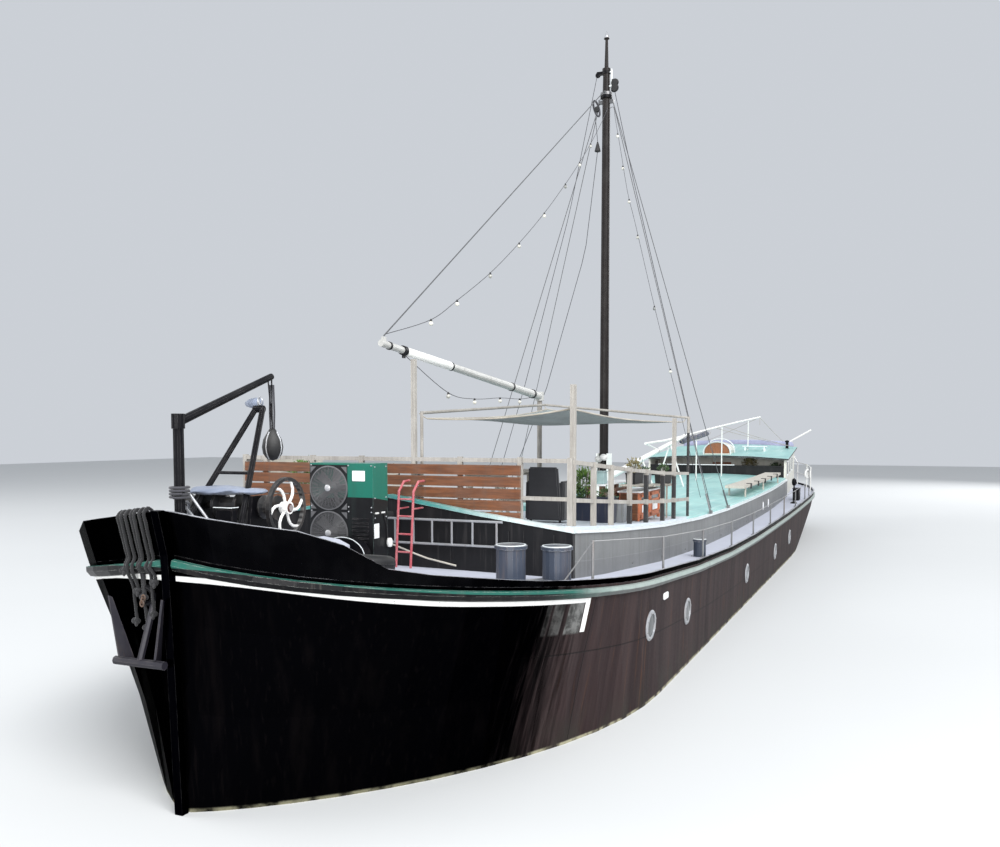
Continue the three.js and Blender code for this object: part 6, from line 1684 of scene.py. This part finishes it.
windlassSettings = {
    "box": ((16.20, 0.12, 2.24), (16.29, 0.325, 2.875)), "lid": ((16.195, 0.11, 2.868), (16.30, 0.330, 2.888)),
    "edge": [(16.301, 0.112, 2.886), (16.301, 0.328, 2.886), (16.20, 0.331, 2.886)],
    "cover": ((15.90, -0.44, 3.022), (15.90, 0.42, 3.018)), "wide": 0.21, "high": 0.05, "rests": 2.984,
    "rows": 40, "steps": 26,
    "rods": [
        [(16.50, -0.03, 3.06), (16.47, 0.34, 2.62)], [(16.44, -0.24, 3.02), (16.43, 0.20, 2.60)],
        [(16.53, -0.15, 2.52), (16.50, 0.40, 2.50)],
        [(16.56, 0.0, 2.95), (16.30, -0.18, 2.93), (16.205, -0.30, 2.60)],
    ],
    "post": (16.63, 0.086, 3.0), "turns": 4,
}


def makeWindlassGear(s):
    makePiece("windlassGearBox", [boxPart(*s["box"], (0.94, 0.96)), boxPart(*s["lid"])], "blackPaint", 0.010)
    # a white line along the lid's front and port top edges: a painted highlight
    linePiece("gearBoxEdge", [s["edge"]], "capWhite", 0.005, 6, 0.05)
    (a, b), rows, steps = (Vector(p) for p in s["cover"]), s["rows"], s["steps"]
    places = []
    for t in (j / rows for j in range(rows + 1)):
        end = min(1, 0.25 + 6 * t, 0.25 + 6 * (1 - t)) * (0.86 + 0.14 * math.sin(5.1 * t + 0.6))
        for angle in (2 * math.pi * k / steps for k in range(steps)):
            wave = 1 + 0.09 * math.sin(2 * angle + 9 * t) + 0.05 * math.sin(5 * angle - 21 * t)
            wave += 0.03 * math.sin(31 * t + angle)
            out, up = s["wide"] * end * wave * math.cos(angle), s["high"] * end * wave * math.sin(angle)
            places.append((a.x + out, a.y + (b.y - a.y) * t, max(a.z + up, s["rests"])))
    piece = makePiece("windlassCover", [(places, tubeFaces(rows + 1, steps))], "blueCanvas", smooth=75)
    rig.padded(piece, fill=0.4)
    linePiece("kingPostRods", s["rods"], "galvanised", 0.014, 8, 0.15)
    x, r, z = s["post"]
    turns = [[(x + r * c, r * t, z + 0.006 * k / 24 + 0.03 * turn)
        for k, (c, t) in enumerate(circle(24, 1, turn))] for turn in range(s["turns"])]
    linePiece("kingPostTurns", turns, "ropeDark", 0.012, 8, 0.03)


makeWindlassGear(windlassSettings)
print("foredeck gear made")

# ---- shackles, strop and drop block on the davit
davitSettings = {
    "head": (15.21, 0.0, 4.16), "block": (15.21, 0.0, 3.48), "frameHead": (15.43, 0.0, 3.86),
    "profile": [(0.001, 0.17), (0.030, 0.165), (0.052, 0.13), (0.098, 0.05), (0.112, -0.03), (0.100, -0.10),
        (0.062, -0.155), (0.001, -0.175)],
    "strap": ((0.055, 0.132), (0.102, 0.05), (0.116, -0.03), (0.104, -0.10), (0.064, -0.158)),
    "canvas": [(0.001, 0.12), (0.035, 0.11), (0.055, 0.04), (0.05, -0.05), (0.03, -0.12), (0.001, -0.13)],
}


def makeDavitFittings(s):
    head, block, frameHead = (Vector(s[key]) for key in ("head", "block", "frameHead"))
    middle = block.lerp(head, 0.5)
    strop = [[head + Vector((0, side * 0.022, -0.05)), middle + Vector((0, side * 0.030, 0)),
        block + Vector((0, side * 0.022, 0.12))] for side in (1, -1)]
    linePiece("davitStrop", strop, "ropeDark", 0.010, 8, 0.04, "davit_spar")
    makePiece("davitDropBlock", [turnedPart(s["profile"], block, steps=32)], "rubberBlack", smooth=60,
        body="davit_spar")
    seams = [[block + Vector((r * c, r * t, h)) for r, h in s["strap"]] for c, t in circle(4)]
    linePiece("dropBlockStraps", seams, "galvanised", 0.007, 6, 0.04, "davit_spar")
    links = []
    for k in range(3):
        centre = frameHead + Vector((-0.03 + 0.035 * k, -0.05 + 0.05 * k, 0.05 + 0.012 * k))
        wide, deep = (1, 0.4) if k % 2 else (0.4, 1)
        links.append([centre + Vector((0.030 * c * wide, 0.030 * c * deep, 0.042 * t)) for c, t in circle(16, 1)])
    linePiece("davitShackles", links, "galvanised", 0.008, 8, 0.02)
    canvas = turnedPart(s["canvas"], frameHead + Vector((-0.04, -0.09, 0.055)), (0.25, 1.0, 0.05), 20)
    makePiece("davitCanvas", [canvas], "blueCanvas", smooth=60)


makeDavitFittings(davitSettings)

# ---- stem: hawse pipe, a bit of chain and the ropes over the bow
stemSettings = {
    "hawse": (-0.33, 2.07), "chainEnd": (16.80, -0.33, 1.99), "links": 3, "radius": 0.017, "stand": 0.019,
    "ropes": [(-0.20, 2.2), (-0.26, 1.9), (-0.33, 2.05), (-0.37, 1.75), (-0.44, 2.1), (-0.50, 1.8), (-0.55, 2.3)],
    "heights": (2.50, 2.42, 2.36, 2.28, 2.15, 2.0, 1.85),
}


def between(p, q, r, w, t):  # the curve from q to r, where p comes before and w after
    return 0.5 * (2 * q + (r - p) * t + (2 * p - 5 * q + 4 * r - w) * t * t + (3 * q - p - 3 * r + w) * t ** 3)


def routed(places, per=4):  # one smooth route through the given places
    ends = [places[0]] + [tuple(p) for p in places] + [places[-1]]
    route = []
    for a, b, c, d in zip(ends, ends[1:], ends[2:], ends[3:]):
        for t in (k / per for k in range(per)):
            route.append(tuple(between(*four, t) for four in zip(a, b, c, d)))
    return route + [tuple(places[-1])]


def declareCord(piece, route, radius, farEnd, fittings=()):  # the cord's real length is that of its route
    length = sum(math.dist(p, q) for p, q in zip(route, route[1:]))
    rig.cord(piece, exit=route[0], length=round(length, 2), diameter=2 * radius, far_end=farEnd, stiffness="limp",
        lay="hanging", path=route, with_pieces=fittings)
    print("cord", piece.name, round(length, 2))


def outsideAt(y, z):  # the foremost face of the bow at this height
    found = [hit(node, (18.5, y, z), (-1, 0, 0))[0] for node in ("bulwark", "hull", "rub_strake")]
    return max(place.x for place in found if place)


def makeBowRope(s, number, y, low):
    lip, stand = outsideAt(y, 2.6) - 0.001, s["stand"]
    rail = max(top.z for top in (topOf("bulwark", lip + dx, y) for dx in (-0.03, 0.0, 0.03)) if top)
    inner = [hit("bulwark", (lip - 0.5, y, rail - drop), (1, 0, 0))[0].x for drop in (0.20, 0.04)]
    front = outsideAt(y, rail - 0.06) + stand
    over = [
        (inner[0] - 0.018, y, rail - 0.20), (inner[1] - 0.043, y, rail - 0.09),
        (inner[1] - 0.048, y, rail - 0.01),
        ((inner[1] - 0.018 + front) / 2, y, rail + 0.036), (front + 0.012, y, rail - 0.01),
    ]
    heights = [rail - 0.10, rail - 0.20] + [z for z in s["heights"] if z > low + 0.03] + [low]
    sway = 0.02 * math.sin(2.3 * number)
    route = routed(over + [(outsideAt(y, z) + stand, y + sway * (rail - z), z) for z in heights])
    rope = linePiece("bowRope%d" % (number + 1), [route], "ropeBlack", s["radius"], 9, 0.02, lay=90.0,
        strands=0.14)
    x, y, z = route[-1]
    tied = []
    for t in (2 * math.pi * q / 40 for q in range(41)):
        aside, up = math.sin(t) + 2 * math.sin(2 * t), math.cos(t) - 2 * math.cos(2 * t)
        tied.append((x + 0.016 - 0.012 * math.sin(3 * t), y + 0.012 * aside, z + 0.012 * up))
    knot = linePiece("bowRopeKnot%d" % (number + 1), [tied], "ropeBlack", 0.015, 8, 0.012)
    declareCord(rope, route, s["radius"], "knot", [knot])


def makeStemGear(s):
    place, normal = hit("hull", (18.5, *s["hawse"]), (-1, 0, 0))
    collar = [(0.055, 0.02), (0.085, 0.03), (0.105, 0.012), (0.105, -0.01), (0.055, -0.01), (0.055, 0.02)]
    makePiece("hawsePipe", [turnedPart(collar, place, normal, 32)], "blackPaint", smooth=60)
    for number, (y, low) in enumerate(s["ropes"]):
        makeBowRope(s, number, y, low)
    top, low = place + normal * 0.03 + Vector((0.02, 0, 0)), Vector(s["chainEnd"])
    links = []
    for k in range(s["links"]):
        centre = top.lerp(low, (k + 0.5) / s["links"])
        wide, deep = (0.022, 0) if k % 2 else (0, 0.022)
        links.append([centre + Vector((wide * c, deep * c, 0.030 * t)) for c, t in circle(14, 1)])
    linePiece("anchorChain", links, "rustySteel", 0.008, 8, 0.02)


makeStemGear(stemSettings)
print("davit and stem fitted")

# ---- drum rims, deck bolts
drumSettings = {
    "drums": [("bollard_pair_", 14.09, 2.29, 0.162), ("bollard_pair_", 13.59, 2.64, 0.162),
        ("bollard_single_", 7.30, 2.97, 0.105)],
    "boltAngles": (0.4, 2.0, 3.5, 5.1),
}


def makeDrumRims(s):
    rims, bolts = [], []
    for name, x, across, r in s["drums"]:
        rim = [(r - 0.012, 0.004), (r + 0.004, 0.003), (r + 0.006, -0.012), (r - 0.004, -0.014),
            (r - 0.012, 0.004)]
        for side, y in (("port", across), ("starboard", -across)):
            rims.append(turnedPart(rim, (x, y, topOf(name + side, x, y).z), steps=40))
            z = topOf("hull", x, y).z + 0.012
            bolts += [((x + (r + 0.03) * math.cos(a), y + (r + 0.03) * math.sin(a), z), (0, 0, 1))
                for a in s["boltAngles"]]
    makePiece("drumRims", rims, "capWhite", smooth=50)
    return bolts


drumBolts = makeDrumRims(drumSettings)

# ---- masthead blocks, boom bands and strings of bulbs
mastSettings = {
    "x": 3.25, "finial": 12.13, "collars": [11.40, 10.88],
    "lines": [
        [(3.27, -0.24, 10.48), (3.25, -0.19, 9.95)], [(3.25, -0.10, 10.86), (3.27, -0.17, 10.82)],
        [(3.25, 0.185, 11.00), (3.30, 0.62, 9.1), (3.38, 1.25, 6.6), (3.42, 1.9, 4.0), (3.35, 2.42, 1.95)],
        [(3.25, -0.19, 9.76), (3.28, -0.45, 7.6), (3.30, -1.35, 4.6), (3.35, -2.42, 1.98)],
        [(3.25, -0.21, 11.36), (3.5, -0.75, 8.4), (3.9, -1.65, 4.6), (4.02, -2.42, 1.98)],
    ],
}


def makeMastFittings(s):
    x, ahead = s["x"], (1, 0, 0)
    finial = [(0.001, -0.02), (0.052, -0.02), (0.056, 0.02), (0.035, 0.07), (0.001, 0.15)]
    makePiece("mastFinial", [turnedPart(finial, (x, 0, s["finial"]), steps=20)], "galvanised", smooth=60)
    collars = []
    for z in s["collars"]:
        r = hit("mast", (x + 3, 0.0, z), (-1, 0, 0))[0].x - x
        collar = [(r - 0.004, -0.035), (r + 0.018, -0.03), (r + 0.018, 0.03), (r - 0.004, 0.035),
            (r - 0.004, -0.035)]
        collars.append(turnedPart(collar, (x, 0, z)))
    collars.append(boxPart((x - 0.035, -0.22, 11.36), (x + 0.035, -0.05, 11.43), (1, 0.9)))
    collars.append(turnedPart([(0.001, 0.03), (0.05, 0.028), (0.062, 0.0), (0.05, -0.028), (0.001, -0.03)],
        (x, -0.19, 11.37), ahead, 16))
    makePiece("mastCollars", collars, "blackPaint", 0.003, 40)
    strips = [(-0.03, 0.105, 11.02, 0.03, 0.125, 11.46)] + [(-0.034, 0.05, z, 0.034, 0.122, z + 0.03)
        for z in (11.08, 11.38)]
    makePiece("mastBracket", boxes((x, 0, 0), strips), "capWhite", 0.003)
    sheave = [(0.001, 0.04), (0.07, 0.036), (0.092, 0.0), (0.07, -0.036), (0.001, -0.04)]
    port = [turnedPart(sheave, (x, 0.185, z), ahead, 24) for z in (11.16, 11.05)]
    port.append(boxPart((x - 0.02, 0.12, 11.10), (x + 0.02, 0.19, 11.24)))
    makePiece("portMastBlock", port, "rubberBlack", smooth=50)
    oval = [(x + 0.02, -0.215 + 0.055 * c - 0.05 * t, 10.66 + 0.175 * t) for c, t in circle(28, 1)]
    linePiece("starboardStrop", [oval], "ropeDark", 0.022, 10, 0.03)
    sheave = [(0.001, 0.034), (0.055, 0.03), (0.07, 0.0), (0.055, -0.03), (0.001, -0.034)]
    weight = [(0.012, 0.0), (0.030, -0.05), (0.068, -0.20), (0.055, -0.21), (0.001, -0.205)]
    inner = [turnedPart(sheave, (x + 0.02, -0.205, 10.64), ahead, 20),
        turnedPart(weight, (x, -0.19, 9.95), steps=16)]
    makePiece("starboardBlock", inner, "rubberBlack", smooth=50)
    linePiece("mastLines", s["lines"], "ropeDark", 0.007, 6, 0.4)


makeMastFittings(mastSettings)

boomSettings = {
    "ends": ((7.305, 0, 4.275), (12.93, 0, 4.75)), "radii": (0.072, 0.045), "sleeve": (11.62, 0.68),
    "bands": [(12.33, 0.045, 0.016), (10.92, 0.02, 0.010), (12.72, 0.02, 0.008), (8.6, 0.025, 0.008),
        (7.62, 0.03, 0.010)],
}


def makeBoomFittings(s):
    (a, b), (thick, thin) = (Vector(p) for p in s["ends"]), s["radii"]
    way = (b - a).normalized()

    def alongBoom(x):
        t = (x - a.x) / (b.x - a.x)
        return a.lerp(b, t), thick + (thin - thick) * t

    bands = []
    for x, half, over in s["bands"]:
        centre, r = alongBoom(x)
        band = [(r - 0.004, -half), (r + over, -half + 0.004), (r + over, half - 0.004), (r - 0.004, half),
            (r - 0.004, -half)]
        bands.append(turnedPart(band, centre, way, 28))
    bands.append(boxPart((12.30, -0.012, 4.60), (12.36, 0.012, 4.64)))
    makePiece("boomBands", bands, "blackPaint", smooth=50, body="boom")
    x, half = s["sleeve"]
    centre, r = alongBoom(x)
    sleeve = [(r - 0.004, -half), (r + 0.013, -half + 0.01), (r + 0.006, half - 0.01), (r - 0.006, half),
        (r - 0.004, -half)]
    makePiece("boomSleeve", [turnedPart(sleeve, centre, way, 32)], "sparWhite", smooth=50, body="boom")


makeBoomFittings(boomSettings)

bulbSettings = {
    "mast": 3.25, "fast": 10.62, "radius": 0.005, "below": 0.022,
    "low": [(11.00, 0.0, 4.19), (10.08, 0.0, 4.13), (9.08, 0.0, 4.18), (8.22, 0.0, 4.19)],
    "high": [
        (11.73, 0.10, 5.17), (10.90, 0.10, 5.54), (9.7, 0.10, 6.12), (8.5, 0.10, 6.80),
        (7.3, 0.10, 7.55), (6.17, 0.10, 8.33), (5.33, 0.10, 8.95), (4.64, 0.10, 9.50),
    ],
    "port": [(3.72, 0.40, 9.92), (3.86, 0.56, 9.20), (4.00, 0.74, 8.46), (4.07, 0.95, 7.70), (4.20, 1.35, 6.20),
        (4.30, 1.72, 4.90)],
    "portString": [
        (3.36, 0.20, 10.60), (3.62, 0.32, 10.25), (3.80, 0.50, 9.50), (3.98, 0.70, 8.62), (4.05, 0.90, 7.90),
        (4.20, 1.35, 6.20), (4.35, 1.90, 4.20), (4.36, 2.38, 2.30),
    ],
    "bulb": [(0.001, -0.062), (0.020, -0.058), (0.031, -0.036), (0.029, -0.018), (0.014, 0.0), (0.014, 0.014),
        (0.001, 0.015)],
    "cap": [(0.001, 0.034), (0.012, 0.03), (0.018, 0.006), (0.018, -0.008), (0.001, -0.009)],
}


def makeBulbStrings(s):
    x, z, radius = s["mast"], s["fast"], s["radius"]
    low = [(12.28, 0.0, 4.632)] + s["low"] + [(7.70, 0.0, 4.232)]
    ahead = hit("mast", (x + 3, 0.05, z), (-1, 0, 0))[0].x + 0.006
    high = [(12.80, 0.010, 4.878)] + s["high"] + [(3.85, 0.08, 10.15), (ahead, 0.05, z)]
    aside = hit("mast", (x + 0.03, 3, z), (0, -1, 0))[0].y + 0.006
    port = [(x + 0.03, aside, z)] + s["portString"]
    bulb = shapeMesh("bulb", [turnedPart(s["bulb"], steps=14)])
    cap = shapeMesh("bulbCap", [turnedPart(s["cap"], steps=12)])
    for name, run, per, step, body in (("low", low, 6, 0.06, "boom"), ("high", high, 6, 0.06, "boom_lift"),
            ("port", port, 12, 0.02, "vessel")):
        run = routed(run, per)
        wire = linePiece(name + "BulbWire", [run], "ropeDark", radius, 6, step, body)
        places = [((px, py, pz - s["below"]), (0, 0, 1)) for px, py, pz in s[name]]
        lamps = scatterPiece(name + "Bulbs", places, bulb.copy(), "bulbGlass", body=body)
        holders = scatterPiece(name + "BulbCaps", places, cap.copy(), "rubberBlack", body=body)
        declareCord(wire, run, radius, "object", [lamps, holders])


makeBulbStrings(bulbSettings)
print("rigging fittings made")

# ---- after house: panes and frames, hood rims, chimney, plank, life ring
houseSettings = {
    "sideWindows": [(-10.80, 2.381), (-11.85, 2.435), (-12.90, 2.490)], "halfWide": 0.26, "halfHigh": 0.21,
    "endWindows": [(-11.19, 1.90), (-14.09, 2.12)], "endHigh": 0.5, "endAcross": (0.90, 1.60),
    "doors": [("frontDoorPanels", "front_door", -11.22, 1.57, 2.56),
        ("backDoorPanels", "back_door", -14.12, 1.65, 2.76)],
}


def wallPart(x0, x1, z0, z1, inner, outer, side):  # a block that follows the slant of the side wall
    corners = ((x0, inner), (x1, inner), (x1, outer), (x0, outer))
    places = [(x, side * (2.38 - 0.18 * (-9.95 - x) / 4.2 + off), z) for z in (z0, z1) for x, off in corners]
    return places, boxFaces


def borders(a0, a1, b0, b1, top, side, low):  # four bars around an opening
    return (
        (a0 - side, a1 + side, b1, b1 + top), (a0 - side, a1 + side, b0 - low, b0),
        (a0 - side, a0, b0, b1), (a1, a1 + side, b0, b1),
    )


def makeWindows(s):
    panes, frames, inside = [], [], []
    w, h, high = s["halfWide"], s["halfHigh"], s["endHigh"]
    for side in (1, -1):
        for x, z in s["sideWindows"]:
            panes.append(wallPart(x - w - 0.002, x + w + 0.002, z - h - 0.002, z + h + 0.002, -0.012, -0.002,
                side))
            bars = borders(x - w, x + w, z - h, z + h, 0.045, 0.045, 0.05)
            frames += [wallPart(*bar, -0.004, 0.004, side) for bar in bars]
        for x, z in s["endWindows"]:
            y0, y1 = sorted(side * y for y in s["endAcross"])
            panes.append(boxPart((x - 0.034, y0 - 0.002, z - 0.002), (x - 0.026, y1 + 0.002, z + high + 0.002)))
            for a0, a1, b0, b1 in borders(y0, y1, z, z + high, 0.04, 0.04, 0.045):
                frames.append(boxPart((x - 0.003, a0, b0), (x + 0.014, a1, b1)))
                inside.append(boxPart((x - 0.074, a0, b0), (x - 0.057, a1, b1)))
            frames.append(boxPart((x - 0.040, (y0 + y1) / 2 - 0.012, z),
                (x - 0.02, (y0 + y1) / 2 + 0.012, z + high)))
    makePiece("housePanes", panes, "windowGlass")
    makePiece("houseFrames", frames, "capWhite", 0.003)
    makePiece("houseBackFrames", inside, "capWhite", 0.003)
    for name, body, x, sill, head in s["doors"]:
        panels = []
        for x0, x1 in ((x - 0.026, x - 0.019), (x + 0.019, x + 0.026)):
            for z0, z1 in ((sill + 0.10, sill + 0.42), (sill + 0.52, head - 0.10)):
                bars = ((-0.26, 0.24, z1 - 0.03, z1), (-0.26, 0.24, z0, z0 + 0.03), (-0.26, -0.23, z0, z1),
                    (0.21, 0.24, z0, z1))
                panels += [boxPart((x0, y0, b0), (x1, y1, b1)) for y0, y1, b0, b1 in bars]
        makePiece(name, panels, "varnishedWood", 0.002, body=body)


makeWindows(houseSettings)

roofFitSettings = {  # a hood is its place, half width, lift and thickness
    "hoods": [(-10.204, 0.452, 0.0, 0.034), (-10.836, 0.50, 0.055, 0.030)], "hoodBase": 2.905,
    "plank": (-11.9, 0.62, 1.50, 3.135), "chimney": (-13.5, 2.0),
    "chimneyProfile": [(0.09, 0.0), (0.09, 0.02), (0.056, 0.03), (0.052, 0.24), (0.075, 0.25), (0.078, 0.30),
        (0.001, 0.33)],
}


def makeRoofFittings(s):
    rims, base = [], s["hoodBase"]
    for x, half, lift, thick in s["hoods"]:
        foot = topOf("house_roof", x - 0.05, half).z - 0.01
        arch = [(half * c, base + lift + (0.375 + lift) * t) for c, t in circle(56)[:29]]
        arch = [(half, foot)] + arch + [(-half, foot)]
        count, grow = len(arch), 1 + thick / half
        edges = ((-0.03, 1.0), (0.03, 1.0), (0.03, grow), (-0.03, grow))
        places = [(x + dx, y * k, base + (z - base) * k if z > base else z) for dx, k in edges for y, z in arch]
        faces = [(a * count + k, a * count + k + 1, (a + 1) % 4 * count + k + 1, (a + 1) % 4 * count + k)
            for a in range(4) for k in range(count - 1)]
        rims.append((places, faces + [tuple(a * count + k for a in range(4)) for k in (0, count - 1)]))
    makePiece("hoodRims", rims, "capWhite", 0.004, 50)
    x, y0, y1, z = s["plank"]
    parts = [boxPart((x - 0.11, y0, z - 0.035), (x + 0.11, y1, z))]
    for y in (y0 + 0.1, y1 - 0.1):
        parts.append(boxPart((x - 0.09, y - 0.03, topOf("house_roof", x, y).z - 0.02),
            (x + 0.09, y + 0.03, z - 0.03)))
    makePiece("roofPlank", parts, "capWhite", 0.004)
    x, y = s["chimney"]
    place = (x, y, topOf("house_roof", x, y).z - 0.02)
    makePiece("chimney", [turnedPart(s["chimneyProfile"], place)], "blackPaint", smooth=40)


makeRoofFittings(roofFitSettings)

porchSettings = {"ring": (-10.6, 2.20), "ringSize": (0.135, 0.042), "bench": (-10.95, 0.75, 2.02),
    "benchSize": (0.45, 1.37)}


def makePorchThings(s):
    (x, z), (big, thin) = s["ring"], s["ringSize"]
    y = edgeAt(x)[0] - 0.105
    tube = [(big + thin * c, thin * t) for c, t in circle(16, 1)]
    makePiece("lifeRing", [turnedPart(tube, (x + 0.01, y - thin - 0.018, z), (0.45, 1, 0), 40)], "fenderWhite",
        smooth=80)
    post = [(x, y, topOf("hull", x, y).z - 0.01), (x, y, z + big + 0.06)]
    linePiece("lifeRingPost", [post, [(x, y, z + 0.085), (x, y - 0.09, z + 0.085), (x, y - 0.10, z + 0.12)]],
        "railSteel", 0.014, 10)
    (x, y, z), (w, d) = s["bench"], s["benchSize"]
    low = hit("hull", (-10.7, 1.2, 2.4), down)[0].z - z
    rows = [(0, 0, -0.03, w, d, 0)] + [(a - 0.03, b - 0.03, low, a + 0.03, b + 0.03, -0.02)
        for a in (0.05, w - 0.05) for b in (0.10, d - 0.10)]
    makePiece("porchBench", boxes((x, y, z), rows), "cedarBoards", 0.004)
    makePiece("porchCapping", [boxPart((-10.10, -2.02, 2.478), (-9.90, 0.66, 2.505))], "whitePlate", 0.005)
    makePiece("porchPotBrown", roundPot(-10.75, 1.05, 0.15, 0.24, 2.02), "terracotta")
    makePiece("porchPotGreen", roundPot(-10.7, 1.93, 0.14, 0.30, 2.02), "potGreen")


makePorchThings(porchSettings)
print("after house fitted")

# ---- side decks: locker, lamp post, coaming ovals; gangplank clamps
deckSettings = {
    "locker": (-8.68, 2.88), "lockerSize": (0.42, 0.20, 0.40), "post": (-7.45, 2.93),
    "postProfile": [(0.10, 0.0), (0.10, 0.03), (0.06, 0.05), (0.022, 0.07), (0.022, 0.56), (0.055, 0.58),
        (0.075, 0.66), (0.06, 0.76), (0.001, 0.80)],
    "ovals": [(-3.23, 1.60), (-4.29, 1.61)], "clamps": [-1.6, -2.9, -4.2, -5.5, -6.8],
}


def makeDeckFittings(s):
    (x, y), (long, wide, high) = s["locker"], s["lockerSize"]
    a, b = long / 2, wide / 2
    rows = [(-a, -b, 0, a, b, high - 0.03), (-a - 0.012, -b - 0.012, high - 0.032, a + 0.012, b + 0.012, high)]
    makePiece("deckLocker", boxes((x, y, topOf("hull", x, y).z - 0.004), rows), "blackPaint", 0.008)
    ovals = []
    for x, z in s["ovals"]:
        place, normal = hit("coaming_port", (x, 5, z), (0, -1, 0))
        disc = [(0.001, 0.018), (0.05, 0.016), (0.062, 0.006), (0.062, -0.004), (0.001, -0.004)]
        places, faces = turnedPart(disc, (0, 0, 0), normal, 28)
        ovals.append(([(place.x + px * 0.72, place.y + py, place.z + pz * 1.9) for px, py, pz in places], faces))
    makePiece("coamingOvals", ovals, "whitePlate", smooth=50)
    clamps = []
    for x in s["clamps"]:
        top = topOf("gangplank", x, 2.24)
        edge = hit("gangplank", (x, 4, top.z - 0.03), (0, -1, 0))[0]
        if edge:
            clamps += boxes((x, edge.y, top.z),
                [(-0.06, -0.01, -0.12, 0.06, 0.022, 0.012), (-0.06, -0.11, -0.004, 0.06, 0.022, 0.014)])
    makePiece("gangplankClamps", clamps, "rubberBlack", 0.004)
    x, y = s["post"]
    makePiece("deckLampPost", [turnedPart(s["postProfile"], (x, y, topOf("hull", x, y).z - 0.004))],
        "blackPaint", smooth=45)


makeDeckFittings(deckSettings)

boltSettings = {  # a row is its first place, the spacing and the number
    "rail": (13.25, 2.8, 9), "inset": 0.105, "coaming": (12.0, 1.75, 14), "radius": 0.012,
}


def makeDeckBolts(s, bolts):
    for side, coaming in ((1, "coaming_port"), (-1, "coaming_starboard")):
        first, spacing, count = s["rail"]
        for x in (first - spacing * k for k in range(count)):
            y = side * (edgeAt(x)[0] - s["inset"])
            spots = [topOf("hull", x + dx, y) for dx in (-0.045, 0.045)]
            bolts += [(spot + Vector((0, 0, 0.006)), (0, 0, 1)) for spot in spots if spot]
        first, spacing, count = s["coaming"]
        for x in (first - spacing * k for k in range(count)):
            place, normal = hit(coaming, (x, side * 5, edgeAt(x)[1] + 0.08), (0, -side, 0))
            if place:
                bolts.append((place + normal * 0.004, normal))
    scatterPiece("deckBolts", bolts, boltShape(s["radius"]), "railSteel")


makeDeckBolts(boltSettings, drumBolts)
print("deck fittings made")

# ---- floor
floorSettings = {"half": 90.0, "color": (0.62, 0.63, 0.63), "darker": 0.97}


def makeFloor(s):
    mesh = bpy.data.meshes.new("studioFloor")
    mesh.from_pydata([(x * s["half"], y * s["half"], 0) for x, y in squareCorners], [], [(0, 1, 2, 3)])
    made, g, shader = newMaterial("studioFloor")
    dark = tuple(c * s["darker"] for c in s["color"])
    g.link(g.mix(g.noise(placed(g), 0.2, 2.0), dark, s["color"]), shader.inputs["Base Color"])
    shader.inputs["Roughness"].default_value = 0.9
    shader.inputs["Specular IOR Level"].default_value = 0.1
    mesh.materials.append(made)
    piece = bpy.data.objects.new("studioFloor", mesh)
    scene.collection.objects.link(piece)
    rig.stage(piece)


makeFloor(floorSettings)
print("floor placed")

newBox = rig.bounds()
with open("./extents.json", "w") as record:
    record.write(str([[list(corner) for corner in cadBox], [list(corner) for corner in newBox]]))
